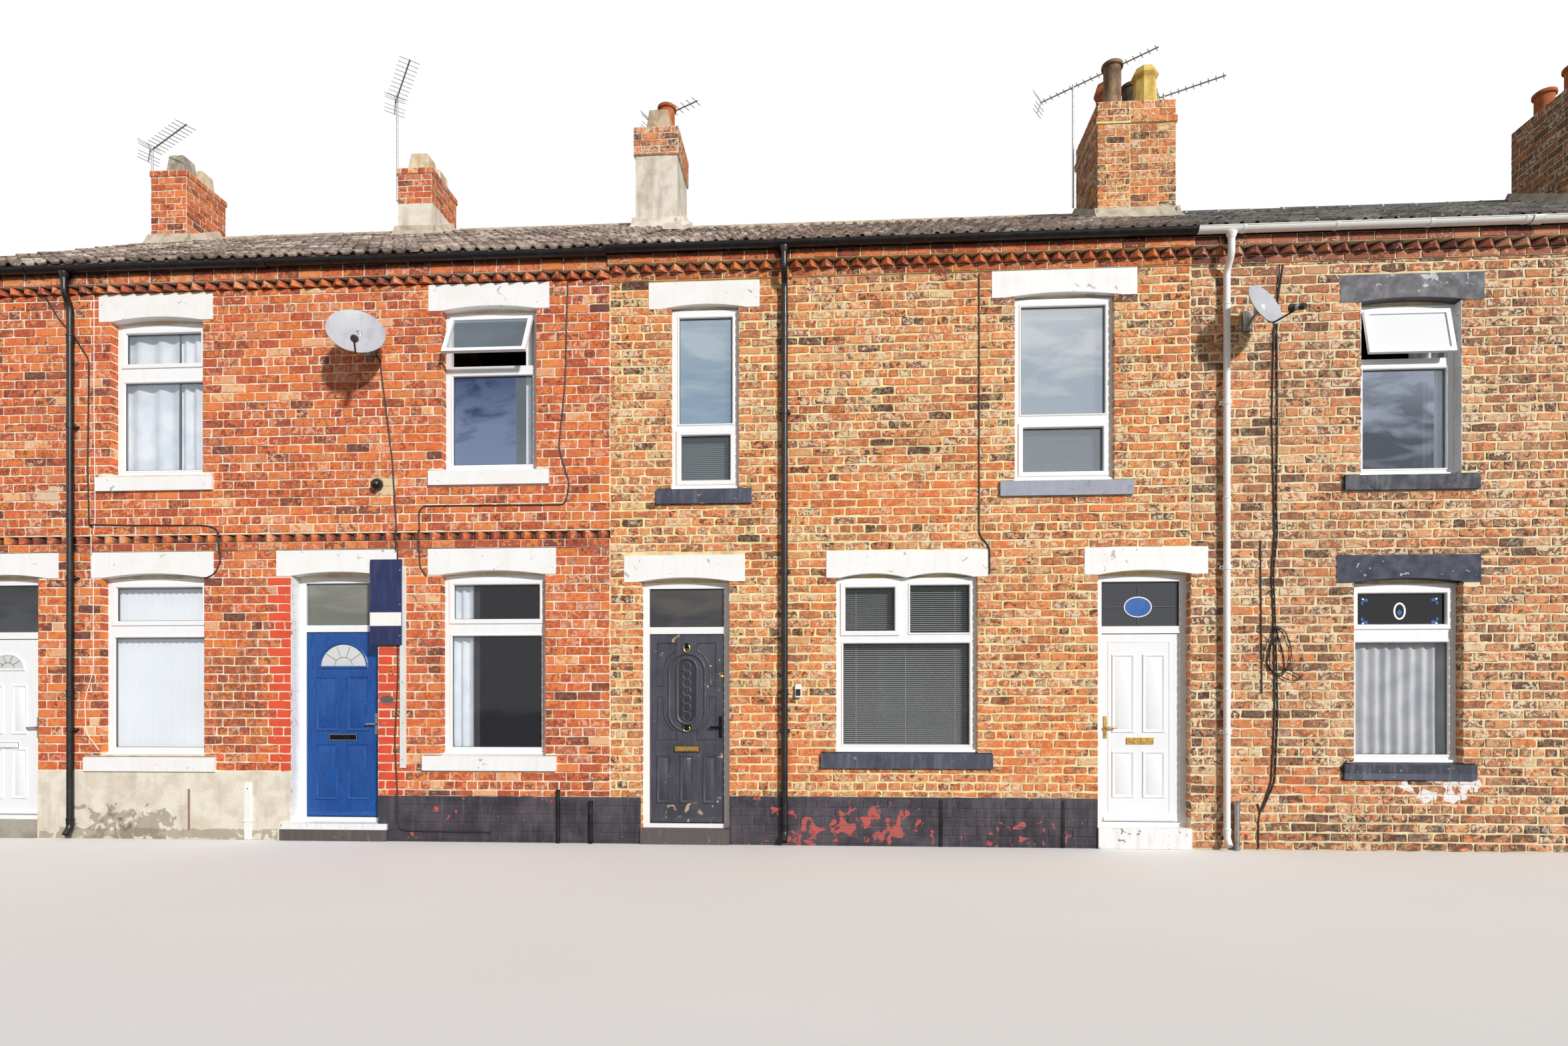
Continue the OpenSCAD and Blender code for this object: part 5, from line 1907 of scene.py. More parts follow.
@dataclass(frozen=True)
class Curtain:
    """A pleated curtain hung inside a window."""

    name: str
    window: str
    start: float
    end: float
    pleats: float
    swing: float = 0.016
    lean: float = 0.0
    foot: float = 0.02
    head: float = 0.01

    def build(self, cloth: Finish) -> None:
        """Hangs the curtain in place of its share of the node.

        Args:
            cloth: The curtain's finish.
        """
        w = WINDOWS[self.window]
        y = w.recess + 0.106
        inner = w.width - 0.012
        x0, x1 = w.left + 0.006 + self.start * inner, w.left + 0.006 + self.end * inner
        low, high = w.sill + BAR + self.foot, w.top - self.head
        steps = max(24, int(self.pleats * 12))
        levels = 12
        rng = np.random.default_rng(len(self.name) + int(1000 * self.end))
        phase = np.cumsum(rng.uniform(0.75, 1.25, steps + 1))
        phase *= 2 * math.pi * self.pleats / phase[-1]
        grid = []
        for k in range(levels + 1):
            t = k / levels
            squeeze = 1 - self.lean * math.sin(math.pi * min(1.0, 1.3 * t)) if self.lean else 1.0
            span = np.linspace(0.0, 1.0, steps + 1)
            xs = x0 + (x1 - x0) * (span * squeeze if self.lean >= 0 else 1 - (1 - span) * (2 - squeeze))
            ys = y + self.swing * (0.75 + 0.25 * t) * np.sin(phase + 0.5 * t * math.sin(3 * t))
            grid.append(np.column_stack([xs, ys, np.full(steps + 1, high + (low - high) * t)]))
        front = np.array(grid)
        back = front + np.array([0.0, 0.0014, 0.0])
        rings = [np.vstack([front[k], back[k][::-1]]) for k in range(levels, -1, -1)]
        pile = Pile()
        pile.shell(rings)
        made = pile.make(self.name, [cloth], "houses", 60)
        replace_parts(made, "curtains")


CURTAINS = (
    Curtain("curtain_a_up_left", "a_up", 0.0, 0.6, 2.6, 0.024),
    Curtain("curtain_a_up_right", "a_up", 0.61, 1.0, 3.4, 0.022),
    Curtain("curtain_b_up", "b_up", 0.82, 1.0, 2, 0.02),
    Curtain("curtain_b_low", "b_low", 0.0, 0.3, 3.5, 0.02),
    Curtain("net_d_up", "d_up", 0.62, 1.0, 5, 0.012),
    Curtain("net_d_low", "d_low", 0.0, 1.0, 9, 0.022, head=0.53),
)


@dataclass(frozen=True)
class Blinds:
    """Slatted blinds: upright vanes in house A, level slats in house C."""

    vane: float = 0.089
    slat: float = 0.025
    slat_pitch: float = 0.0215

    def build(self, slats: Finish, cord: Finish) -> None:
        """Builds the blinds in place of their node.

        Args:
            slats: The slats' finish.
            cord: The finish of the ladder tapes and rails.
        """
        pile = Pile()
        w = WINDOWS["a_low"]
        y = w.recess + 0.108
        count = round((w.width - 0.02) / 0.076)
        for i in range(count):
            x = w.left + 0.01 + (i + 0.5) * (w.width - 0.02) / count
            along = np.array([math.cos(math.radians(24)), math.sin(math.radians(24))]) * self.vane / 2
            section = [
                (x - along[0], y - along[1]), (x, y - 0.006), (x + along[0], y + along[1]), (x, y - 0.0045)
            ]
            rings = [np.array([(px, py, z) for px, py in section]) for z in (w.sill + 0.07, w.top - 0.03)]
            pile.shell(rings, tone=0.4 + 0.02 * (i % 3))
        pile.box(
            (w.left + 0.01, y - 0.02, w.top - 0.032), (w.right - 0.01, y + 0.02, w.top - 0.004), 0.003, 1
        )
        for name, tilt in (("c_low", 19), ("c_slim", 62), ("c_up", 66)):
            self.level(pile, WINDOWS[name], tilt)
        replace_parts(pile.make("window_blinds", [slats, cord], "houses", 30), "blinds")

    def level(self, pile: Pile, w: Opening, tilt: float) -> None:
        """Adds a blind of level slats.

        Args:
            pile: The pile that it joins.
            w: The window.
            tilt: The slats' tilt in degrees.
        """
        y = w.recess + 0.106
        x0, x1 = w.left + 0.012, w.right - 0.012
        c, s = math.cos(math.radians(tilt)), math.sin(math.radians(tilt))
        z = w.top - 0.06
        while z > w.sill + 0.075:
            arc = [(-self.slat / 2, 0.0), (0.0, 0.0022), (self.slat / 2, 0.0), (0.0, 0.0014)]
            section = [(y + a * c - b * s, z + a * s + b * c) for a, b in arc]
            pile.bar(section, x0, x1)
            z -= self.slat_pitch
        pile.box((x0, y - 0.014, w.top - 0.045), (x1, y + 0.014, w.top - 0.014), 0.003, 1)
        pile.box((x0, y - 0.011, w.sill + BAR), (x1, y + 0.011, w.sill + 0.074), 0.002, 1)
        for share in (0.14, 0.5, 0.86) if w.width > 1.2 else (0.2, 0.8):
            x = x0 + share * (x1 - x0)
            pile.box(
                (x - 0.0015, y - 0.0145, w.sill + 0.07), (x + 0.0015, y - 0.0135, w.top - 0.04), 0.0004, 1
            )


class Hand(Enum):
    """The side that a door's hinges are on, seen from the front."""

    LEFT = 1
    RIGHT = -1


@dataclass(frozen=True)
class Doors:
    """One panelled front door: its slab, mouldings, glass and fittings."""

    name: str
    body: str
    slot: str
    leaf_high: float
    hinges: Hand
    panels: tuple[tuple[float, float, float, float], ...]
    plate_z: float
    lever_z: float
    fan: tuple[float, float, float] | None = None
    plate_wide: float = 0.278

    @property
    def hole(self) -> Opening:
        """The doorway."""
        return DOORWAYS[self.name]

    @property
    def left(self) -> float:
        """The leaf's left edge."""
        return self.hole.left + BAR + (0.005 if self.hinges is Hand.LEFT else 0.007)

    @property
    def right(self) -> float:
        """The leaf's right edge."""
        return self.hole.right - BAR - (0.007 if self.hinges is Hand.LEFT else 0.005)

    @property
    def middle(self) -> float:
        """The leaf's middle line."""
        return (self.left + self.right) / 2

    @property
    def foot(self) -> float:
        """The leaf's foot."""
        return self.hole.sill + 0.05

    @property
    def face(self) -> float:
        """Y of the leaf's front."""
        return self.hole.recess + 0.018

    def mould(self, pile: Pile, outline: np.ndarray, section: Section) -> None:
        """Adds a moulding on the leaf.

        Args:
            pile: The pile that it joins.
            outline: Its outline.
            section: How far in each point of its section lies, and how far behind the leaf's front.
        """
        pile.frame(outline, [(inset, self.face + y) for inset, y in section])

    def panel(self, pile: Pile, outline: np.ndarray) -> None:
        """Adds a moulding round a panel and its raised field.

        Args:
            pile: The pile that they join.
            outline: The panel's outline.
        """
        f, field_y = self.face, self.face - 0.009
        edge = (
            (-0.01, 0.002), (-0.01, -0.004), (-0.003, -0.0115), (0.006, -0.01), (0.018, -0.0005),
            (0.018, 0.003),
        )
        self.mould(pile, outline, edge)
        rings = ((0.026, f + 0.002), (0.028, f - 0.001), (0.054, field_y), (0.058, field_y - 0.001))
        pile.shell([upright_ring(outline, inset, y) for inset, y in rings])

    def at(self, x: float, z: float) -> tuple[float, float]:
        """Turns a place on the leaf, from its lower left corner, into X and Z."""
        return self.left + x, self.foot + z

    def letter_plate(self, pile: Pile) -> None:
        """Adds the letter plate with its flap.

        Args:
            pile: The pile that it joins.
        """
        finish, wide, high = 1, self.plate_wide, 0.068
        x, z, f = self.middle, self.foot + self.plate_z + 0.03, self.face
        plate = rectangle(x - wide / 2, x + wide / 2, z - high / 2, z + high / 2)
        pile.plate(plate, f - 0.001, f - 0.0095, 0.003, finish)
        pile.frame(plate, [(0.0, f - 0.009), (0.0, f - 0.012), (0.006, f - 0.012), (0.006, f - 0.009)], 4)
        flap = rectangle(
            x - wide / 2 + 0.022, x + wide / 2 - 0.022, z - high / 2 + 0.012, z + high / 2 - 0.014
        )
        pile.plate(flap, f - 0.009, f - 0.0145, 0.003, finish)
        pile.frame(
            flap, [(-0.004, f - 0.009), (-0.004, f - 0.012), (0.0, f - 0.012), (0.0, f - 0.009)], finish
        )
        for side in (-1, 1):
            pile.stud(
                [(0.005, 0.0), (0.005, 0.003), (0.003, 0.005)], (x + side * (wide / 2 - 0.011), f - 0.009, z),
                12, finish,
            )

    def lever(self, pile: Pile) -> None:
        """Adds the lever handle on its long plate.

        Args:
            pile: The pile that it joins.
        """
        way, finish = -self.hinges.value, 4
        x = self.right - 0.045 if self.hinges is Hand.LEFT else self.left + 0.045
        z, f = self.foot + self.lever_z, self.face
        outline = rectangle(x - 0.018, x + 0.018, z - 0.118, z + 0.118)
        pile.plate(outline, f - 0.001, f - 0.0115, 0.004, finish)
        pile.stud([(0.014, 0.0), (0.012, 0.012), (0.0105, 0.05)], (x, f - 0.004, z), 16, finish)
        path = ((-0.008, 0.044, 0.0), (0.03, 0.046, 0.0), (0.09, 0.046, 0.002), (0.112, 0.04, 0.004))
        pile.tube([(x + way * along, f - out, z - drop) for along, out, drop in path], 0.0102, 12, finish)
        pile.stud([(0.0085, 0.0), (0.0085, 0.004), (0.006, 0.006)], (x, f - 0.0105, z - 0.07), 16, finish)

    def fan_glass(self, pile: Pile) -> None:
        """Adds the half-round glass with its moulding and spokes.

        Args:
            pile: The pile that they join.
        """
        if self.fan is None:
            return
        low, radius, rise = self.fan
        cx, z, f = self.middle, self.foot + low, self.face
        turn = np.radians(np.linspace(0, 180, 25))
        outline = np.column_stack([cx + radius * np.cos(turn), z + 0.012 + (rise - 0.012) * np.sin(turn)])
        outline = np.vstack([[(cx - radius, z), (cx + radius, z)], outline[1:-1]])
        edge = (
            (-0.008, 0.002), (-0.008, -0.005), (0.004, -0.012), (0.018, -0.008), (0.024, 0.003),
            (0.024, 0.006),
        )
        self.mould(pile, outline, edge)
        pile.plate(inset_outline(outline, 0.022), f + 0.002, f - 0.001, 0.001, 2)

        def ring(share: float, angles: Iterable[float]) -> list[tuple[float, float]]:
            """Gives points of the fan at one share of its reach."""
            return arc(cx, z + 0.03, share * radius, share * (rise - 0.03), angles)

        for spoke in np.radians((36, 72, 108, 144)):
            pile.hoop(ring(0.36, [spoke]) + ring(0.86, [spoke]), f - 0.002, 0.003, finish=3)
        pile.hoop(ring(0.36, np.radians(np.linspace(0, 180, 13))), f - 0.002, 0.003, finish=3)

    def build(self, finishes: Sequence[Finish]) -> None:
        """Builds the leaf with its mouldings and fittings as one piece on its body.

        Args:
            finishes: The leaf's paint, the letter plate, the glass, the leading and the handle.
        """
        pile = Pile()
        f, x0, x1 = self.face, self.left, self.right
        if self.name == "c1":
            self.oval_leaf(pile)
        for x, z, wide, high in self.panels:
            low, foot = self.at(x, z)
            self.panel(pile, rectangle(low, low + wide, foot, foot + high))
        self.fan_glass(pile)
        self.letter_plate(pile)
        self.lever(pile)
        drip = ((0.0, 0.012), (0.0, 0.058), (0.022, 0.036), (0.024, 0.014))
        pile.bar([(f - out, self.foot + up) for out, up in drip], x0 + 0.03, x1 - 0.03)
        if self.body == "houses":
            pile.make(f"door_dress_{self.name}", finishes, self.body, 30)
            return
        pile.box((x0, f, self.foot), (x1, f + 0.044, self.foot + self.leaf_high), 0.003)
        if self.name == "c2":
            (a, c), (b, d) = self.at(0.08, 0.1), self.at(0.716, 1.91)
            self.mould(
                pile, rectangle(a, b, c, d),
                ((-0.004, 0.002), (-0.004, -0.004), (0.004, -0.005), (0.008, 0.002)),
            )
        made = pile.make(f"panelled_door_{self.name}", finishes, self.body, 30)
        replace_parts(made, f"door_leaf_{self.name}")

    def stadium(self, half: float, low: float, high: float, count: int = 16) -> np.ndarray:
        """Gives an upright outline with round ends, on the leaf's middle line.

        Args:
            half: Half its width.
            low: Its foot above the leaf's foot.
            high: Its head above the leaf's foot.
            count: Steps in each round end.

        Returns:
            The outline, anticlockwise.
        """
        cx = self.middle
        turn = np.linspace(0, math.pi, count + 1)
        top = np.column_stack([cx + half * np.cos(turn), self.foot + high - half + half * np.sin(turn)])
        foot = np.column_stack([cx - half * np.cos(turn), self.foot + low + half - half * np.sin(turn)])
        return np.vstack([top, foot])

    def oval_leaf(self, pile: Pile) -> None:
        """Adds a tall leaded glass in a round-ended ring, four corner panels and two knockers.

        Args:
            pile: The pile that they join.
        """
        cx, f, half = self.middle, self.face, 0.205
        ring = (
            (-0.006, 0.002), (-0.006, -0.006), (0.006, -0.014), (0.02, -0.01), (0.03, 0.003), (0.03, 0.006)
        )
        self.mould(pile, self.stadium(half, 0.995, 1.86), ring)
        glass = self.stadium(0.1, 1.09, 1.785)
        edge = (
            (-0.022, 0.002), (-0.022, -0.008), (-0.01, -0.016), (0.004, -0.01), (0.012, -0.001),
            (0.012, 0.003),
        )
        self.mould(pile, glass, edge)
        pile.plate(inset_outline(glass, 0.01), f + 0.002, f - 0.002, 0.001, 2)
        turn = np.linspace(0, 2 * math.pi, 13)
        for k in range(7):
            pile.hoop(arc(cx, self.foot + 1.17 + 0.09 * k, 0.045, 0.05, turn), f - 0.0025, 0.0025, finish=3)
        for side in (-1, 1):
            for flip, base in ((1, 1.5), (-1, 1.385)):
                outer, head = cx + side * 0.322, base + flip * 0.47
                curve = [
                    (
                        cx + side * (half + 0.05) * math.cos(a),
                        base + flip * (0.155 + (half + 0.05) * math.sin(a)),
                    )
                    for a in np.radians((64, 48, 32, 16, 0))
                ]
                points = [(outer, base), (outer, head), (curve[0][0], head), *curve, (curve[-1][0], base)]
                outline = np.array([(x, self.foot + z) for x, z in points])
                outline = outline if side * flip > 0 else outline[::-1]
                bead = ((-0.006, 0.002), (-0.006, -0.004), (0.0, -0.0095), (0.007, -0.007), (0.012, 0.002))
                self.mould(pile, outline, bead)
        z = self.foot + 1.94
        pile.stud([(0.03, 0.0), (0.028, 0.008), (0.012, 0.014)], (cx, f - 0.001, z), 20, 4)
        turn = np.linspace(-math.pi * 1.25, math.pi * 0.25, 18)
        pile.hoop(arc(cx, z - 0.03, 0.032, 0.044, turn), f - 0.016, 0.0055, 8, 1)
        z = self.foot + 1.045
        pile.plate(ellipse(cx, z, 0.05, 0.03, 24), f - 0.001, f - 0.012, 0.003, 4)
        pile.hoop(arc(cx, z - 0.018, 0.036, 0.03, turn), f - 0.018, 0.005, 8, 1)
        pile.stud(
            [(0.019, 0.0), (0.019, 0.004), (0.012, 0.007)], (self.right - 0.035, f - 0.001, self.foot + 1.6),
            20, 1,
        )


DOORS = (
    Doors(
        "a", "door_a", "white_leaf", 2.01, Hand.LEFT,
        (
            (0.193, 0.19, 0.168, 0.56), (0.483, 0.19, 0.168, 0.56), (0.193, 0.93, 0.168, 0.55),
            (0.483, 0.93, 0.168, 0.55),
        ),
        0.765, 1.0, (1.655, 0.21, 0.19),
    ),
    Doors(
        "b", "door_b", "blue_leaf", 2.075, Hand.LEFT,
        (
            (0.12, 0.2, 0.24, 0.62), (0.485, 0.2, 0.24, 0.62), (0.12, 0.975, 0.24, 0.6),
            (0.485, 0.975, 0.24, 0.6),
        ),
        0.865, 1.045, (1.675, 0.285, 0.285), 0.32,
    ),
    Doors(
        "c1", "door_c1", "black_leaf", 2.06, Hand.LEFT,
        ((0.09, 0.225, 0.14, 0.51), (0.345, 0.225, 0.14, 0.51), (0.6, 0.225, 0.14, 0.51)), 0.78, 1.05,
    ),
    Doors(
        "c2", "door_c2", "white_leaf", 1.99, Hand.RIGHT,
        (
            (0.125, 0.26, 0.215, 0.476), (0.443, 0.26, 0.215, 0.476), (0.125, 0.953, 0.215, 0.81),
            (0.443, 0.953, 0.215, 0.81),
        ),
        0.826, 1.0,
    ),
    Doors(
        "d", "houses", "green_leaf", 2.06, Hand.LEFT,
        (
            (0.11, 0.17, 0.2905, 0.56), (0.4305, 0.17, 0.2905, 0.56), (0.11, 0.86, 0.2905, 0.64),
            (0.4305, 0.86, 0.2905, 0.64),
        ),
        0.8, 1.0,
    ),
)


def build_leaded_lights(finishes: Sequence[Finish]) -> None:
    """Builds the plain coloured glass and the lead lines of two lights.

    Args:
        finishes: Blue glass, white glass and lead.
    """
    pile = Pile()
    cx, cz, y = 13.538, 2.54, 0.128
    blue = ellipse(cx, cz, 0.135, 0.1)
    pile.plate(blue, y, y - 0.004, 0.001, 0)
    pile.frame(blue, [(-0.01, y), (-0.01, y - 0.006), (0.0, y - 0.007), (0.0, y)], 1)
    for x0, z0, x1, z1 in (
        (13.155, cz, 13.395, cz), (13.68, cz, 13.925, cz), (cx, 2.31, cx, 2.432), (cx, 2.648, cx, 2.76)
    ):
        pile.hoop([(x0, z0), (x1, z1)], y - 0.003, 0.004, finish=2)
    cx, cz, y = 16.205, 2.48, 0.128
    pile.frame(
        ellipse(cx, cz, 0.062, 0.09, 24), [(0.0, y), (0.0, y - 0.005), (0.018, y - 0.005), (0.018, y)], 1
    )
    pile.plate(ellipse(cx, cz - 0.015, 0.03, 0.035, 4), y, y - 0.004, 0.001, 0)
    for sx in (-1, 1):
        for sz in (-1, 1):
            px, pz = cx + sx * 0.34, cz + sz * 0.115
            pile.plate(ellipse(px, pz, 0.028, 0.018, 8), y, y - 0.004, 0.001, 0)
            pile.plate(ellipse(px + sx * 0.035, pz - sz * 0.03, 0.014, 0.022, 8), y, y - 0.004, 0.001, 0)
            pile.plate(ellipse(px + sx * 0.028, pz + sz * 0.012, 0.012, 0.01, 8), y, y - 0.0045, 0.001, 1)
    pile.make("leaded_lights", finishes, "houses", 30)


def rounded(path: Sequence[Point], radius: float, steps: int = 5) -> list[Point]:
    """Rounds the corners of a path.

    Args:
        path: Its corner points.
        radius: How far from a corner its curve starts.
        steps: Points in each curve.

    Returns:
        The smoother path.
    """
    line = [np.array(p, float) for p in path]
    out = [line[0]]
    for before, here, after in zip(line, line[1:], line[2:]):
        a, b = before - here, after - here
        reach = min(radius, 0.45 * float(np.linalg.norm(a)), 0.45 * float(np.linalg.norm(b)))
        start, end = here + a / np.linalg.norm(a) * reach, here + b / np.linalg.norm(b) * reach
        for k in range(steps + 1):
            t = k / steps
            out.append((1 - t) ** 2 * start + 2 * t * (1 - t) * here + t * t * end)
    out.append(line[-1])
    return [tuple(float(v) for v in p) for p in out]


@dataclass(frozen=True)
class Gutter:
    """A half-round gutter under the eaves, with its brackets and joints."""

    x0: float
    x1: float
    back: float
    rear: bool = False
    open_left: bool = False
    open_right: bool = False
    rim: float = 6.365
    radius: float = 0.056
    bracket_gap: float = 0.9
    joint_gap: float = 3.6

    def spin(self, section: list[tuple[float, float]]) -> list[tuple[float, float]]:
        """Turns a section to the rear side where the gutter hangs there."""
        return [(DEPTH - y, z) for y, z in section] if self.rear else section

    def add(self, pile: Pile) -> None:
        """Adds the gutter to a pile."""
        radius, rim = self.radius, self.rim
        centre = self.back - radius
        turn = np.radians(np.linspace(180, 360, 15))

        def cup(grow: float, t: float) -> list[tuple[float, float]]:
            """Gives the section of a trough, this much wider than the gutter and this thick."""
            r = radius + grow
            return arc(centre, rim, r, r, turn) + arc(centre, rim, r - t, r - t, turn[::-1])

        def run(section: list[tuple[float, float]], x: float, half: float) -> None:
            """Adds a short length of a section, to both sides of an X."""
            pile.bar(self.spin(section), x - half, x + half)

        bead = arc(centre - radius, rim - 0.004, 0.006, 0.006, np.radians(np.arange(0, 360, 45)))
        for section in (cup(0.0, 0.0035), bead):
            pile.bar(self.spin(section), self.x0, self.x1)
        length = self.x1 - self.x0
        brackets, joints = max(2, round(length / self.bracket_gap)), max(1, round(length / self.joint_gap))
        front, back = centre + radius - 0.004, self.back + 0.001
        clip = [(front, rim - 0.03), (back, rim - 0.03), (back, rim - 0.004), (front, rim - 0.004)]
        for i in range(brackets):
            x = self.x0 + (i + 0.5) * length / brackets
            run(cup(0.005, 0.006), x, 0.014)
            run(clip, x, 0.012)
        for i in range(1, joints):
            x = self.x0 + i * length / joints + 0.11
            run(cup(0.007, 0.008), x, 0.055)
            for side in (-0.05, 0.05):
                run(cup(0.009, 0.01), x + side, 0.005)
        stop = self.spin(arc(centre, rim, radius + 0.003, radius + 0.003, turn))
        if self.open_left:
            pile.bar(stop, self.x0, self.x0 + 0.004)
        if self.open_right:
            pile.bar(stop, self.x1 - 0.004, self.x1)


@dataclass(frozen=True)
class Downpipe:
    """A round downpipe with its swan neck, sockets, brackets and shoe."""

    x: float
    gutter_y: float
    bend_z: float
    top: float
    rear: bool = False
    collars: tuple[float, ...] = (4.6, 2.9, 1.2)
    sockets: tuple[float, ...] = (5.6, 3.6, 1.62)
    radius: float = 0.034

    def add(self, pile: Pile) -> None:
        """Adds the pipe: plastic first, then bolts with rust.

        Args:
            pile: The pile that it joins.
        """
        r, wall = self.radius, -self.radius - 0.03

        def spot(y: float, z: float) -> Point:
            """Puts a point of the pipe's plane on its side of the row."""
            return (self.x, DEPTH - y if self.rear else y, z)

        def sleeve(profile: Section, y: float, z: float) -> None:
            """Adds a turned sleeve round the pipe, from how far each ring stands off it and its height."""
            pile.lathe([(r + off, up) for off, up in profile], spot(y, z), sides=18)

        low = self.bend_z - 0.13
        path = (
            (self.gutter_y, self.top), (self.gutter_y, self.bend_z), (wall, low), (wall, 0.13),
            (wall - 0.06, 0.052),
        )
        pile.tube(rounded([spot(y, z) for y, z in path], 0.05), r, 16)
        sleeve(((0.004, 0.0), (0.006, 0.01), (0.02, 0.05), (0.02, 0.06)), self.gutter_y, self.top - 0.07)
        for z in self.sockets:
            sleeve(
                (
                    (-0.004, -0.045), (0.003, -0.045), (0.004, 0.03), (0.009, 0.034), (0.009, 0.046),
                    (-0.004, 0.048),
                ), wall, z
            )
        sleeve(
            ((-0.004, -0.02), (0.004, -0.02), (0.004, 0.03), (0.008, 0.034), (0.008, 0.046), (-0.004, 0.048)),
            wall, 0.18,
        )
        way = (0, 1, 0) if self.rear else FORWARD
        for z in self.collars:
            sleeve(((-0.004, 0.0), (0.007, 0.0), (0.007, 0.05), (-0.004, 0.05)), wall, z)
            y1 = max(spot(wall - 0.004, 0)[1], spot(-0.0005, 0)[1])
            a, b = sorted((spot(wall + 0.012, 0)[1], spot(wall + 0.02, 0)[1]))
            pile.box((self.x - 0.062, a, z + 0.006), (self.x + 0.062, b, z + 0.044), 0.002)
            for x in (self.x - 0.052, self.x + 0.052):
                pile.box((x - 0.008, min(b, y1), z + 0.014), (x + 0.008, max(y1, b), z + 0.036), 0.002)
                centre = (x, b if self.rear else a, z + 0.025)
                pile.lathe([(0.009, -0.002), (0.009, 0.003), (0.006, 0.006)], centre, way, 8, 1)


def build_rainwater(black: Sequence[Finish], white: Sequence[Finish]) -> None:
    """Builds gutters and downpipes in place of their nodes.

    Args:
        black: Black plastic and rusty bolts.
        white: White plastic and rusty bolts.
    """
    sets = (
        ("gutters_black", "black_plastic", black, (
            Gutter(0.0, RED_END, -0.08, open_left=True),
            Gutter(RED_END, C_END, -0.11, open_right=True, rim=6.378),
            Gutter(0.0, C_END, 0.0, True, True, True, 6.34),
        )),
        ("gutters_white", "white_plastic", white, (
            Gutter(C_END, ROW_W, -0.11, False, True, True, 6.378),
            Gutter(C_END, ROW_W, 0.0, True, True, True, 6.34),
        )),
        ("downpipes_black", "black_plastic", black, (
            Downpipe(1.766, -0.136, 6.09, 6.323), Downpipe(9.796, -0.166, 6.11, 6.336),
            Downpipe(3.2, -0.056, 6.23, 6.298, True), Downpipe(9.0, -0.056, 6.23, 6.298, True),
        )),
        ("downpipes_white", "white_plastic", white, (
            Downpipe(14.372, -0.166, 6.11, 6.336), Downpipe(17.5, -0.056, 6.23, 6.298, True),
        )),
    )
    for node, slot, finishes, parts in sets:
        pile = Pile()
        for part in parts:
            part.add(pile)
        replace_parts(pile.make(f"dressed_{node}", finishes, "houses", 35), node)


@dataclass(frozen=True)
class Dish:
    """A satellite dish on its arm."""

    x: float
    z: float
    radius: float
    turn: float
    tilt: float
    feed: tuple[float, float]
    out: float = 0.33

    def add(self, pile: Pile) -> None:
        """Adds the dish, its feed and its wall bracket.

        Args:
            pile: The pile that they join.
        """
        t, e = math.radians(self.turn), math.radians(self.tilt)
        aim = np.array((math.sin(t) * math.cos(e), -math.cos(t) * math.cos(e), math.sin(e)))
        side = np.array((math.cos(t), math.sin(t), 0.0))
        up = np.cross(side, aim)
        up = up if up[2] > 0 else -up
        centre = np.array((self.x, -self.out, self.z))
        r = self.radius
        deep = 0.18 * r
        bowl = [(r * k / 10 + 0.0005, deep * (k / 10) ** 2) for k in range(11)]
        rim = [(r + 0.006, deep - 0.007), (r + 0.006, deep + 0.001)]
        pile.lathe([*((x, h - 0.004) for x, h in bowl), *rim, *bowl[::-1]], tuple(centre), tuple(aim), 48)

        def spot(across: float, high: float, forward: float) -> Point:
            """Gives a point in the dish's own directions."""
            p = centre + side * across + up * high + aim * forward
            return (float(p[0]), float(p[1]), float(p[2]))

        low, ahead = self.feed
        arm = [spot(0, -0.3 * r, -0.02), spot(0, -1.0 * r, 0.02), spot(0, low - 0.02, ahead - 0.03)]
        pile.tube(rounded(arm, 0.05), 0.009, 10, 2)
        back = tuple(-aim - up * (low / ahead) * 0.8)
        pile.lathe(
            [(0.026, -0.1), (0.031, -0.085), (0.031, 0.02), (0.038, 0.026), (0.04, 0.05), (0.034, 0.056)],
            spot(0, low, ahead), back, 20, 2,
        )
        pile.lathe(
            [(0.0315, -0.05), (0.0325, -0.048), (0.0325, -0.014), (0.0315, -0.012)], spot(0, low, ahead),
            back, 20, 1,
        )
        hub = spot(0, 0, -0.012)
        pile.box(
            (hub[0] - 0.045, hub[1], hub[2] - 0.055), (hub[0] + 0.045, hub[1] + 0.06, hub[2] + 0.055), 0.004,
            1,
        )
        bracket = ((-self.out + 0.05, 0.0), (-0.16, 0.02), (-0.055, 0.06))
        pile.tube(rounded([(self.x, y, self.z - drop) for y, drop in bracket], 0.05), 0.016, 12, 1)
        pile.box((self.x - 0.03, -0.062, self.z - 0.1), (self.x + 0.03, -0.05, self.z + 0.09), 0.002, 1)
        pile.box((self.x - 0.045, -0.05, self.z - 0.11), (self.x + 0.045, 0.0, self.z + 0.1), 0.004, 1)
        for dx, dz in ((-0.03, -0.085), (-0.03, 0.075), (0.03, -0.085), (0.03, 0.075)):
            pile.stud(
                [(0.008, 0.0), (0.008, 0.004), (0.005, 0.007)], (self.x + dx, -0.049, self.z + dz), 8, 3
            )


DISHES = (Dish(5.236, 5.45, 0.28, 28, 22, (-0.33, 0.29)), Dish(14.592, 5.48, 0.225, 30, 20, (-0.25, 0.27)))

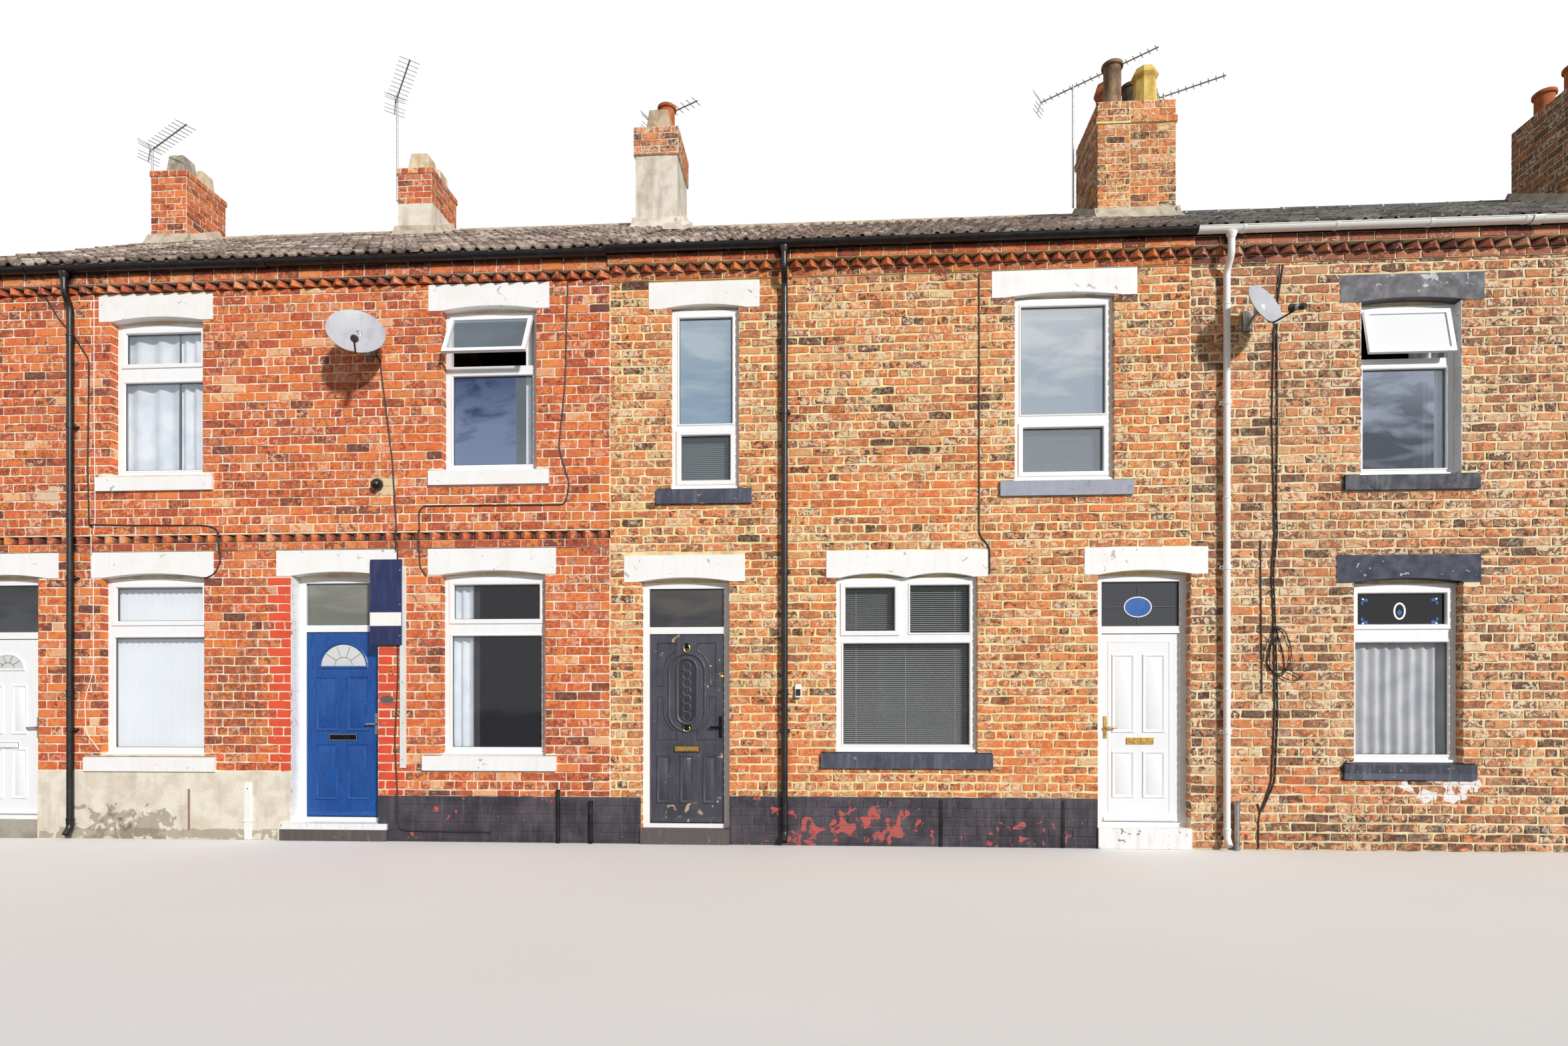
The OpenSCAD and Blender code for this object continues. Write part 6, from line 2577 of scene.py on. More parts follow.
CLIP_GAP = 0.5
CABLES: tuple[tuple[tuple[tuple[float, float], ...], float, int], ...] = (
    (
        (
            (1.42, 6.11), (1.58, 5.86), (1.76, 5.66), (1.942, 5.388), (1.926, 4.18), (1.942, 3.52),
            (1.985, 3.5),
        ),
        0.0, 0,
    ),
    (((1.998, 6.11), (1.998, 4.935), (2.013, 3.581), (1.99, 3.411)), 0.0, 2),
    (((1.99, 3.421), (1.99, 3.2)), 0.028, 2),
    (((1.99, 3.21), (1.99, 1.889), (1.887, 1.55), (1.902, 1.189), (2.06, 0.985)), 0.0, 2),
    (((1.942, 3.53), (2.495, 3.515), (3.317, 3.504), (3.43, 3.47), (3.47, 3.411)), 0.0, 0),
    (((3.47, 3.421), (3.485, 3.2)), 0.028, 0),
    (((3.485, 3.21), (3.481, 3.078), (3.42, 2.96), (3.3, 2.91)), 0.0, 0),
    (
        (
            (7.43, 6.1), (7.4, 5.0), (7.33, 4.3), (7.45, 3.9), (7.4, 3.68), (5.817, 3.687), (5.764, 3.63),
            (5.77, 3.411),
        ),
        0.0, 0,
    ),
    (((5.77, 3.421), (5.77, 3.2)), 0.028, 0),
    (((5.77, 3.21), (5.772, 3.02), (5.85, 2.915)), 0.0, 0),
    (((5.24, 5.4), (5.317, 5.321), (5.378, 4.856), (5.462, 4.199), (5.51, 3.411)), 0.0, 0),
    (((5.51, 3.421), (5.52, 3.2)), 0.028, 0),
    (((5.52, 3.21), (5.522, 3.021), (5.525, 1.8), (5.49, 1.1), (5.52, 0.51)), 0.0, 0),
    (((5.52, 0.52), (5.52, 0.18), (5.6, 0.12), (6.58, 0.11)), 0.02, 0),
    (((11.853, 6.06), (11.853, 3.3), (11.962, 3.17), (11.962, 2.89)), 0.0, 0),
    (
        (
            (14.96, 6.06), (14.867, 5.395), (14.847, 4.476), (14.867, 3.563), (14.874, 3.279),
            (14.841, 2.878), (14.864, 2.325), (14.874, 1.439), (14.841, 0.706), (14.713, 0.338),
            (14.713, 0.01),
        ),
        0.0, 0,
    ),
    (
        (
            (14.92, 6.06), (14.894, 5.395), (14.901, 4.475), (14.89, 3.562), (14.901, 3.279), (14.862, 2.878),
            (14.881, 2.325),
        ),
        0.004, 0,
    ),
    (((14.733, 3.211), (14.733, 3.059), (14.747, 1.626)), 0.0, 0),
    (((14.885, 2.2), (14.905, 1.44), (14.875, 0.706), (14.735, 0.38), (14.7, 0.48)), 0.004, 0),
)


def build_dishes(finishes: Sequence[Finish]) -> None:
    """Builds the dishes in place of their node.

    Args:
        finishes: Pale enamel, galvanised metal, black plastic and rusty bolts.
    """
    pile = Pile()
    for dish in DISHES:
        dish.add(pile)
    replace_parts(pile.make("dishes_on_arms", finishes, "houses", 40), "satellite_dishes")


def build_cables(finishes: Sequence[Finish]) -> None:
    """Builds the wall cables, clipped every half metre, in place of their node.

    Args:
        finishes: Black sheath, black clips and white sheath.
    """
    pile = Pile()
    for points, out, sheath in CABLES:
        radius = 0.004 if sheath else 0.0075
        y = -out - radius - 0.0055
        pile.tube(rounded([(x, y, z) for x, z in points], 0.06), radius, 8, sheath)
        for (x0, z0), (x1, z1) in zip(points, points[1:]):
            clips = int(math.hypot(x1 - x0, z1 - z0) / CLIP_GAP)
            for k in range(clips):
                t = (k + 0.5) / clips
                x, z = x0 + t * (x1 - x0), z0 + t * (z1 - z0)
                pile.box(
                    (x - 0.008, y - radius - 0.002, z - 0.004), (x + 0.008, -out, z + 0.004), 0.001, sheath
                )
    loops = (
        (
            (14.89, 2.32), (14.84, 2.12), (14.79, 1.92), (14.86, 1.82), (14.98, 1.84), (14.96, 2.04),
            (14.91, 2.2), (14.89, 2.31),
        ),
        (
            (14.9, 2.31), (14.98, 2.26), (15.04, 2.08), (15.02, 1.9), (14.92, 1.78), (14.82, 1.86),
            (14.82, 2.06), (14.88, 2.3),
        ),
        (
            (14.88, 2.3), (14.8, 2.1), (14.77, 1.96), (14.84, 1.85), (15.0, 1.76), (15.1, 1.75), (15.12, 1.8),
            (15.0, 1.87), (14.9, 1.9),
        ),
    )
    for k, loop in enumerate(loops):
        pile.tube(rounded([(x, -0.014 - 0.009 * k, z) for x, z in loop], 0.06), 0.0055, 6)
    pile.box((14.87, -0.045, 2.29), (14.91, 0.0, 2.302), 0.003, 1)
    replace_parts(pile.make("clipped_cables", finishes, "houses", 40), "wall_cables")


def build_board(finishes: Sequence[Finish]) -> None:
    """Builds the plain board on its batten in place of its node.

    Args:
        finishes: White timber, navy panel, white panel and screw heads.
    """
    pile = Pile()
    pile.box((5.552, -0.028, 0.805), (5.62, 0.0, 3.03), 0.004, 0)
    pile.box((5.227, -0.047, 2.16), (5.582, -0.0285, 3.098), 0.0015, 1)
    pile.box((5.2275, -0.0485, 2.368), (5.5815, -0.046, 2.516), 0.0008, 2)
    for z in (2.26, 2.6, 2.98):
        pile.stud([(0.008, 0.0), (0.008, 0.002), (0.004, 0.003)], (5.566, -0.047, z), 12, 3)
    for z in (0.9, 1.3, 1.75):
        pile.stud([(0.007, 0.0), (0.007, 0.0015), (0.003, 0.0025)], (5.586, -0.028, z), 12, 3)
    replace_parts(pile.make("board_on_batten", finishes, "houses"), "sale_board")


def build_wall_fittings(finishes: Sequence[Finish]) -> None:
    """Builds the small fittings on the front: lamp dome, number, plaque, key box and plinth pipes.

    Args:
        finishes: White plastic, black plastic, grey metal, rusty metal, the plaque's paint and brass.
    """
    pile = Pile()
    pile.stud([(0.064, 0.0), (0.066, 0.012), (0.058, 0.022)], (5.3, -0.004, 3.935), 24, 2)
    pile.lathe(
        [(0.06, 0.012), (0.06, 0.05), (0.052, 0.078), (0.034, 0.1), (0.012, 0.11)], (5.3, -0.004, 3.93),
        (0.1, -1, -0.15), 28, 1,
    )
    turn = np.linspace(0, 2 * math.pi, 21)
    for z, r in ((1.895 + 1.3 * 0.004, 0.017), (1.86, 0.021)):
        pile.hoop(arc(5.45, z, 1.25 * r, 1.3 * r, turn), -0.013, 0.006, 8, 5)
    plaque = ellipse(5.4, 1.56, 0.082, 0.05)
    pile.plate(plaque, -0.002, -0.013, 0.003, 4)
    pile.frame(plaque, [(0.0, -0.01), (0.0, -0.0155), (0.007, -0.0155), (0.007, -0.01)], 2)
    pile.box((9.905, -0.05, 1.58), (9.975, -0.0, 1.72), 0.006, 0)
    pile.box((9.915, -0.058, 1.6), (9.965, -0.048, 1.67), 0.003, 1)
    for x, z1, r, finish in ((7.33, 0.58, 0.02, 1), (7.69, 0.46, 0.022, 1), (14.48, 0.5, 0.03, 2)):
        pile.tube([(x, -0.015 - r, 0.0), (x, -0.015 - r, z1)], r, 12, finish)
        pile.lathe([(r + 0.004, 0.0), (r + 0.004, 0.03)], (x, -0.015 - r, z1 - 0.03), sides=14, finish=finish)
    pile.box((3.775, -0.036, 0.0), (3.86, -0.015, 0.63), 0.004, 0)
    pile.box((3.765, -0.042, 0.2), (3.872, -0.015, 0.225), 0.003, 0)
    pile.stud([(0.008, 0.0), (0.008, 0.003), (0.005, 0.005)], (3.818, -0.036, 0.57), 8, 3)
    for x in (11.45, 12.72):
        pile.box((x - 0.018, -0.028, 0.0), (x + 0.018, -0.015, 0.5), 0.003, 1)
    pile.make("wall_fittings", finishes, "houses", 35)


@dataclass(frozen=True)
class Studio:
    """The camera, the pale floor and the soft light."""

    eye: Point = (0.12, -12.55, 1.55)
    turn_left: float = 3.4
    lens: float = 19.294
    shift_up: float = 0.1131
    sun_from: Point = (0.53, -0.74, 0.41)
    sun_power: float = 3.15
    sun_angle: float = 4.0
    sky: float = 0.31

    def build(self) -> None:
        """Sets the camera, the floor, the light and the view's transform."""
        scene = bpy.context.scene
        scene.view_settings.view_transform = "Standard"
        data = bpy.data.cameras.new("camera")
        data.sensor_width, data.lens, data.shift_y = 36.0, self.lens, self.shift_up
        data.clip_end = 500.0
        camera = bpy.data.objects.new("camera", data)
        camera.location = self.eye
        camera.rotation_euler = (math.radians(90), 0.0, math.radians(self.turn_left))
        scene.collection.objects.link(camera)
        scene.camera = camera
        lamp = bpy.data.lights.new("key", "SUN")
        lamp.energy, lamp.angle, lamp.color = self.sun_power, math.radians(self.sun_angle), (1.0, 0.99, 0.975)
        sun = bpy.data.objects.new("key", lamp)
        ray = np.array(self.sun_from) / np.linalg.norm(self.sun_from)
        sun.rotation_euler = (math.acos(ray[2]), 0.0, math.atan2(ray[0], -ray[1]))
        scene.collection.objects.link(sun)
        self.light_sky(scene)
        self.lay_floor(scene)

    def light_sky(self, scene: bpy.types.Scene) -> None:
        """Lights the scene softly from all round, and shows white behind it.

        Args:
            scene: The scene.
        """
        world = bpy.data.worlds.new("sky")
        scene.world = world
        world.use_nodes = True
        tree = world.node_tree
        tree.nodes.clear()
        path = tree.nodes.new("ShaderNodeLightPath")
        seen = tree.nodes.new("ShaderNodeMath")
        seen.operation = "MAXIMUM"
        tree.links.new(path.outputs["Is Camera Ray"], seen.inputs[0])
        tree.links.new(path.outputs["Is Transmission Ray"], seen.inputs[1])
        also = tree.nodes.new("ShaderNodeMath")
        also.operation = "MAXIMUM"
        tree.links.new(seen.outputs[0], also.inputs[0])
        tree.links.new(path.outputs["Is Glossy Ray"], also.inputs[1])
        soft, white, mixed = (
            tree.nodes.new(kind)
            for kind in ("ShaderNodeBackground", "ShaderNodeBackground", "ShaderNodeMixShader")
        )
        soft.inputs["Color"].default_value = (0.93, 0.96, 1.0, 1.0)
        soft.inputs["Strength"].default_value = self.sky
        white.inputs["Color"].default_value = (1.0, 1.0, 1.0, 1.0)
        tree.links.new(also.outputs[0], mixed.inputs[0])
        tree.links.new(soft.outputs[0], mixed.inputs[1])
        tree.links.new(white.outputs[0], mixed.inputs[2])
        out = tree.nodes.new("ShaderNodeOutputWorld")
        tree.links.new(mixed.outputs[0], out.inputs["Surface"])

    def lay_floor(self, scene: bpy.types.Scene) -> None:
        """Lays the pale floor.

        Args:
            scene: The scene.
        """
        turn = np.linspace(0, 2 * math.pi, 64, endpoint=False)
        points = [(120 * math.cos(t), 120 * math.sin(t), -0.002) for t in turn]
        mesh = bpy.data.meshes.new("floor")
        mesh.from_pydata(points, [], [list(range(64))])
        g = Graph("floor")
        pale = g.ramp(g.noise(0.4, 3.0), [(0.3, (246, 245, 243)), (0.7, (250, 249, 247))])
        seen = g.node("ShaderNodeLightPath").outputs["Is Camera Ray"]
        colour = g.mix(seen, linear((136, 133, 130)), pale)
        mesh.materials.append(g.surface(colour, 0.9))
        floor = bpy.data.objects.new("floor", mesh)
        scene.collection.objects.link(floor)


RED_TONES = (
    (0.0, (108, 60, 48)), (0.05, (152, 76, 52)), (0.16, (194, 88, 52)), (0.36, (218, 100, 52)),
    (0.6, (234, 116, 58)), (0.8, (242, 134, 74)), (0.92, (208, 112, 76)), (0.97, (238, 166, 120)),
    (1.0, (246, 204, 156)),
)
RED_MOTTLES = (
    Mottle((180, 78, 50), 0.61, 0.8, 7.3, 14.0), Mottle((244, 146, 66), 0.66, 0.7, 17.9, 14.0),
    Mottle((112, 58, 46), 0.7, 0.85, 23.7), Mottle((244, 186, 150), 0.72, 0.75, 41.9),
)
RED_ZONES = (
    Zone(3.3, 4.12, 0.9, 2.3, (134, 72, 48), 0.65, start=0.42),
    Zone(1.27, 1.63, 3.75, 3.97, (236, 208, 176), 0.85, start=0.34),
    Zone(5.22, 5.52, 3.78, 4.02, (240, 218, 176), 0.85, start=0.34),
    Zone(3.3, 4.3, 0.9, 2.1, (246, 150, 66), 0.6, start=0.56),
)
SPLASHES = (Zone(15.9, 17.0, 0.42, 0.86, (250, 250, 250), 0.95, start=0.5),)
TAN_ZONES = (
    Zone(14.0, 20.4, -0.4, 0.4, (74, 52, 46), 0.75, start=0.47),
    Zone(14.0, 17.4, 0.38, 0.95, (238, 114, 56), 0.6, start=0.47), *SPLASHES,
)
BAND_TONES = (
    (0.0, (130, 64, 48)), (0.2, (184, 90, 58)), (0.5, (218, 110, 64)), (0.8, (236, 132, 78)),
    (1.0, (244, 168, 116)),
)
DARK_BAND_TONES = (
    (0.0, (104, 56, 50)), (0.25, (146, 80, 62)), (0.6, (178, 104, 78)), (0.85, (206, 130, 92)),
    (1.0, (222, 168, 130)),
)
BUFF_TONES = (
    (0.0, (86, 52, 40)), (0.06, (134, 78, 52)), (0.18, (182, 100, 60)), (0.38, (218, 122, 68)),
    (0.6, (238, 140, 80)), (0.8, (238, 162, 104)), (0.92, (206, 148, 104)), (1.0, (246, 208, 154)),
)
BUFF_ZONES = (
    Zone(9.7, 11.9, 3.5, 3.95, (240, 122, 62), 0.6, start=0.3),
    Zone(11.7, 13.1, 0.5, 1.5, (242, 124, 60), 0.6, start=0.36),
    Zone(9.2, 10.3, 0.5, 1.6, (240, 118, 66), 0.5, start=0.42),
)
BUFF_MOTTLES = (
    Mottle((240, 128, 64), 0.65, 0.85, 7.3, 15.0), Mottle((172, 104, 78), 0.64, 0.7, 17.9, 17.0),
    Mottle((76, 48, 44), 0.71, 0.92, 23.7), Mottle((232, 212, 184), 0.7, 0.85, 41.9, 22.0),
)
TAN_TONES = (
    (0.0, (92, 62, 50)), (0.06, (132, 88, 64)), (0.18, (176, 112, 76)), (0.4, (210, 134, 86)),
    (0.62, (226, 154, 102)), (0.8, (230, 172, 122)), (0.92, (198, 150, 110)), (1.0, (246, 216, 172)),
)
TAN_MOTTLES = (
    Mottle((240, 126, 58), 0.69, 0.8, 7.3, 15.0), Mottle((140, 90, 66), 0.62, 0.75, 17.9, 17.0),
    Mottle((74, 52, 46), 0.7, 0.92, 23.7), Mottle((240, 220, 186), 0.7, 0.85, 41.9, 22.0),
)

# Painted sky reflections: b_up, the upper panes of c_slim and c_up (partly the blinds' own pale blue), and
# d_up, whose lower panes fade up and whose top light is near white.
GLASS_TINTS_AND_SKY_REFLECTIONS = (
    Zone(10.3, 11.9, 0.95, 2.9, (84, 88, 90), 0.2),
    Zone(8.55, 9.32, 4.5, 5.8, (150, 180, 204), 0.5, (196, 214, 226)),
    Zone(12.2, 13.28, 4.52, 5.82, (184, 198, 212), 0.5, (226, 232, 238)),
    Zone(8.55, 9.32, 3.82, 4.5, (84, 98, 104), 0.42), Zone(12.2, 13.28, 3.85, 4.52, (150, 158, 168), 0.5),
    Zone(15.75, 16.7, 0.9, 2.28, (66, 74, 88), 0.12, (88, 96, 108)),
    Zone(4.3, 5.3, 2.3, 2.95, (120, 122, 112), 0.88, (146, 146, 138)),
    Zone(0.35, 1.35, 2.25, 2.95, (70, 72, 76), 0.85, (40, 42, 48)),
    Zone(8.2, 9.2, 2.2, 2.85, (60, 60, 66), 0.8, (92, 88, 86)),
    Zone(13.0, 14.05, 2.25, 2.9, (70, 72, 78), 0.9),
    Zone(6.05, 6.8, 4.1, 5.2, (116, 134, 168), 0.86, (30, 54, 102)),
    Zone(6.32, 7.2, 0.95, 2.95, (48, 48, 54), 0.6),
    Zone(15.75, 16.55, 3.9, 5.06, (80, 86, 98), 0.75, (160, 170, 188)),
    Zone(15.7, 16.8, 5.06, 5.75, (250, 251, 253), 0.92),
    Zone(15.7, 16.8, 2.28, 2.8, (34, 32, 36), 0.85),
)


class Finishes:
    """Every finish of the row, each built once."""

    def __init__(self) -> None:
        """Builds the finishes."""
        wanted = (
            BrickFinish("red_bricks", RED_TONES, RED_MOTTLES, bloom_amount=0.3, zones=RED_ZONES),
            BrickFinish(
                "buff_bricks", BUFF_TONES, BUFF_MOTTLES, (250, 234, 186), 0.6, 0.47, zones=BUFF_ZONES
            ),
            BrickFinish("tan_bricks", TAN_TONES, TAN_MOTTLES, (246, 230, 194), 0.5, 0.5, zones=TAN_ZONES),
            # The band bricks carry painted shade in their hollows.
            BrickFinish("band_bricks", BAND_TONES, RED_MOTTLES, bloom_amount=0.15, painted_shade_reach=0.09),
            BrickFinish("band_bricks_dark", DARK_BAND_TONES, RED_MOTTLES[2:], bloom_amount=0.15, painted_shade_reach=0.09),
            MortarFinish("red_mortar", (255, 240, 214), (240, 214, 180), zones=RED_ZONES[1:3]),
            MortarFinish("buff_mortar", (255, 240, 182), (240, 212, 148)),
            MortarFinish("tan_mortar", (252, 236, 194), (232, 208, 160), zones=SPLASHES),
            MortarFinish("pale_render", (240, 232, 218), (216, 204, 184), (140, 118, 96), 0.4, 2.4),
            MortarFinish(
                "grey_render", (246, 238, 222), (228, 216, 196), (170, 150, 124), 0.35, 2.4,
                zones=(
                    Zone(1.7, 3.0, -0.1, 0.4, (120, 104, 86), 0.55, start=0.42),
                    Zone(1.9, 2.6, 0.0, 0.4, (64, 54, 46), 0.6, start=0.55),
                    Zone(3.105, 3.135, 0.1, 0.56, (132, 84, 62), 0.8, start=0.12),
                    Zone(4.8, 7.0, 6.2, 9.5, (208, 188, 162), 0.75),
                    Zone(1.35, 4.15, 0.0, 0.12, (150, 132, 108), 0.6, start=0.3),
                ),
            ),
            MortarFinish("concrete", (176, 172, 166), (156, 152, 146)),
            PaintFinish(
                "black_paint", (52, 48, 56), (82, 76, 84), (196, 88, 82), 0.12, (124, 116, 116), 0.3, 0.42,
                2.6,
                zones=(
                    Zone(9.25, 11.6, -0.1, 0.5, (198, 92, 86), 0.9, start=0.545),
                    Zone(11.6, 13.0, -0.1, 0.4, (190, 96, 88), 0.9, start=0.58),
                ),
            ),
            PaintFinish(
                "lintel_white", (252, 251, 249), (248, 246, 243), (196, 190, 180), 0.08, (190, 184, 174), 0.1,
                0.55, 0.8,
            ),
            PaintFinish(
                "lintel_grey", (96, 94, 100), (76, 75, 82), (176, 174, 174), 0.12, (66, 62, 64), 0.35, 0.6,
                1.5,
                zones=(
                    Zone(15.4, 17.1, 2.7, 3.1, (32, 40, 62)), Zone(18.6, 20.2, 2.7, 3.2, (32, 40, 62)),
                    Zone(16.1, 17.0, 5.74, 5.98, (206, 206, 210), 0.85, start=0.56),
                    Zone(15.5, 16.2, 5.84, 5.98, (196, 196, 200), 0.7, start=0.58),
                ),
            ),
            PaintFinish(
                "sill_grey", (58, 62, 78), (82, 86, 100), (150, 150, 156), 0.1, (134, 136, 144), 0.4, 0.6,
                1.0,
                zones=(
                    Zone(12.0, 13.5, 3.6, 3.9, (162, 165, 178)), Zone(15.3, 17.1, 0.8, 1.05, (42, 45, 60)),
                    Zone(15.3, 17.1, 3.6, 3.9, (42, 44, 56)),
                ),
            ),
            PaintFinish(
                "step_stone", (176, 168, 156), (146, 138, 128), (150, 140, 128), 0.1, (150, 140, 128), 0.25,
                0.7, 1.4,
                zones=(
                    Zone(4.0, 5.5, 0.125, 0.2, (250, 249, 249)), Zone(4.0, 5.5, 0.0, 0.125, (92, 84, 80)),
                    Zone(12.9, 14.2, 0.0, 0.25, (252, 251, 249)), Zone(8.0, 9.4, 0.0, 0.2, (96, 88, 88)),
                ),
            ),
            PlasticFinish("white_frames", (250, 250, 250), (190, 186, 178), 0.1),
            PlasticFinish("white_leaf", (246, 247, 248), (196, 192, 186), 0.1),
            PaintFinish(
                "blue_leaf", (26, 84, 158), (20, 76, 150), (58, 96, 150), 0.0, (60, 100, 160), 0.1, 0.34, 0.9,
                wood=(10, 44, 104),
            ),
            PaintFinish(
                "black_leaf", (62, 62, 72), (76, 76, 88), (200, 168, 128), 0.06, (112, 108, 108), 0.3, 0.42,
                1.2, wood=(50, 50, 58),
                zones=(Zone(8.3, 9.15, 0.2, 0.5, (206, 176, 138), 0.9, start=0.62),),
            ),
            PaintFinish("green_leaf", (44, 92, 72), (38, 82, 62), rough=0.45),
            PlasticFinish("black_plastic", (22, 19, 20), (92, 86, 82), 0.16, 0.3),
            PlasticFinish("white_plastic", (253, 251, 248), (196, 176, 156), 0.14, 0.42),
            PlasticFinish("dish_grey", (188, 188, 194), (120, 116, 112), 0.35, 0.45),
            MetalFinish("aerial_metal", (168, 168, 168), (116, 96, 80), 0.35),
            PlasticFinish("cable_black", (40, 36, 34), (110, 100, 90), 0.25, 0.5),
            PaintFinish("navy_board", (30, 42, 92), (26, 36, 82), rough=0.35),
            TileFinish(
                "roof_tiles",
                (
                    (0.0, (112, 96, 86)), (0.4, (156, 136, 124)), (0.75, (182, 162, 148)),
                    (1.0, (214, 200, 186)),
                ),
            ),
            TileFinish("roof_slates", ((0.0, (86, 82, 79)), (0.5, (125, 120, 113)), (1.0, (164, 158, 151)))),
            MortarFinish("ridge_mortar", (214, 202, 180), (178, 164, 142)),
            MortarFinish("ridge_clay", (206, 190, 164), (164, 146, 124), (110, 96, 80), 0.5),
            MortarFinish("fired_clay", (222, 190, 156), (196, 156, 120), (110, 84, 66), 0.5),
            GlassFinish("window_glass_and_sky_reflections", (188, 206, 222), 0.13, zones=GLASS_TINTS_AND_SKY_REFLECTIONS),
            PlasticFinish("dark_glass", (40, 42, 48), (70, 74, 80), 0.5, 0.12),
            PlasticFinish("blue_glass", (52, 100, 176), (90, 140, 200), 0.4, 0.12),
            PaintFinish("plaque", (122, 92, 84), (104, 80, 74), rough=0.4),
            MortarFinish("pot_buff", (214, 190, 160), (176, 146, 116), (90, 70, 56), 0.6),
            MortarFinish("pot_cream", (238, 222, 190), (206, 180, 146), (120, 90, 66), 0.5),
            MortarFinish("pot_brown", (178, 146, 114), (120, 92, 70), (70, 52, 42), 0.7),
            MortarFinish("pot_yellow", (244, 212, 120), (214, 168, 82), (112, 66, 24), 0.6),
            MortarFinish("pot_orange", (206, 120, 70), (166, 88, 52), (80, 50, 40), 0.5),
            MortarFinish("pot_streaked", (206, 196, 178), (150, 138, 122), (66, 58, 52), 0.8),
            MortarFinish("pot_mossy", (92, 84, 62), (58, 54, 44), (40, 40, 32), 0.6),
            MortarFinish("ridge_blue", (104, 106, 112), (82, 82, 88), (60, 60, 60), 0.4),
            PlasticFinish("rubber", (48, 46, 46), rough=0.6),
            PlasticFinish("blind_slats", (250, 251, 252), (214, 212, 208), 0.1, 0.4),
            MetalFinish("brass", (206, 166, 92), (110, 78, 40), 0.3, 0.28),
            MetalFinish("black_metal", (36, 36, 38), (90, 60, 44), 0.15, 0.4),
            MetalFinish("rusty_metal", (150, 120, 96), (132, 68, 34), 0.9, 0.6),
            MetalFinish("lead", (120, 122, 126), (90, 90, 92), 0.3, 0.5),
            GlassFinish("door_glass", (196, 198, 196), 0.9, 0.25),
            PaintFinish("white_timber", (236, 236, 232), (222, 222, 216), (170, 150, 120), 0.15),
            ClothFinish("net_curtain", (252, 253, 255), (228, 233, 240), cover=0.95),
            PaintFinish("painted_reveal", (246, 246, 246), (232, 232, 232), (190, 120, 84), 0.05, relief=1.2),
            PaintFinish("red_paint", (236, 88, 54), (216, 76, 48), (226, 150, 110), 0.1, relief=1.5),
        )
        self.made = {finish.name: finish.build() for finish in wanted}

    def __getitem__(self, name: str) -> Finish:
        """Gives a finish by its name."""
        return self.made[name]

    def pick(self, *names: str) -> list[Finish]:
        """Gives several finishes by their names, in that order."""
        return [self.made[name] for name in names]


NODES_BY_FINISH = {
    "red_mortar": ("front_wall_upper_red", "front_wall_ground_red", "rear_wall_red", "chimney_a"),
    "buff_mortar": ("front_wall_upper_c", "front_wall_ground_c", "rear_wall_c", "chimney_cd"),
    "tan_mortar": ("front_wall_upper_d", "front_wall_ground_d", "rear_wall_d", "party_walls", "chimney_d"),
    "concrete": ("ground_floor", "first_floor"),
    "roof_tiles": ("roof_tiles_abc",),
    "roof_slates": ("roof_slates_d",),
    "ridge_mortar": ("ridge_tiles",),
    "grey_render": ("chimney_b", "plinth_render"),
    "pale_render": ("chimney_bc",),
    "fired_clay": ("chimney_pots",),
    "black_plastic": ("gutters_black", "downpipes_black"),
    "white_plastic": ("gutters_white", "downpipes_white"),
    "lintel_white": ("lintels_white", "sills_light"),
    "lintel_grey": ("lintels_dark",),
    "sill_grey": ("sills_dark",),
    "step_stone": ("door_steps",),
    "black_paint": ("plinth_black",),
    "white_frames": ("window_frames", "door_jambs", "door_rails"),
    "window_glass_and_sky_reflections": ("window_glass",),
    "white_leaf": ("door_leaf_a", "door_leaf_c2"),
    "blue_leaf": ("door_leaf_b",),
    "black_leaf": ("door_leaf_c1",),
    "green_leaf": ("fixed_doors",),
    "dish_grey": ("satellite_dishes",),
    "aerial_metal": ("aerials",),
    "cable_black": ("wall_cables",),
    "navy_board": ("sale_board",),
    "net_curtain": ("curtains", "blinds"),
}


def dress_nodes(frame: dict[str, dict[str, bpy.types.Object]], finishes: Finishes) -> None:
    """Gives every CAD node its finish.

    Args:
        frame: The loaded frame.
        finishes: The finishes.
    """
    for finish, nodes in NODES_BY_FINISH.items():
        for node in nodes:
            if node in frame["nodes"]:
                materials = frame["nodes"][node].data.materials
                materials.clear()
                materials.append(finishes[finish])


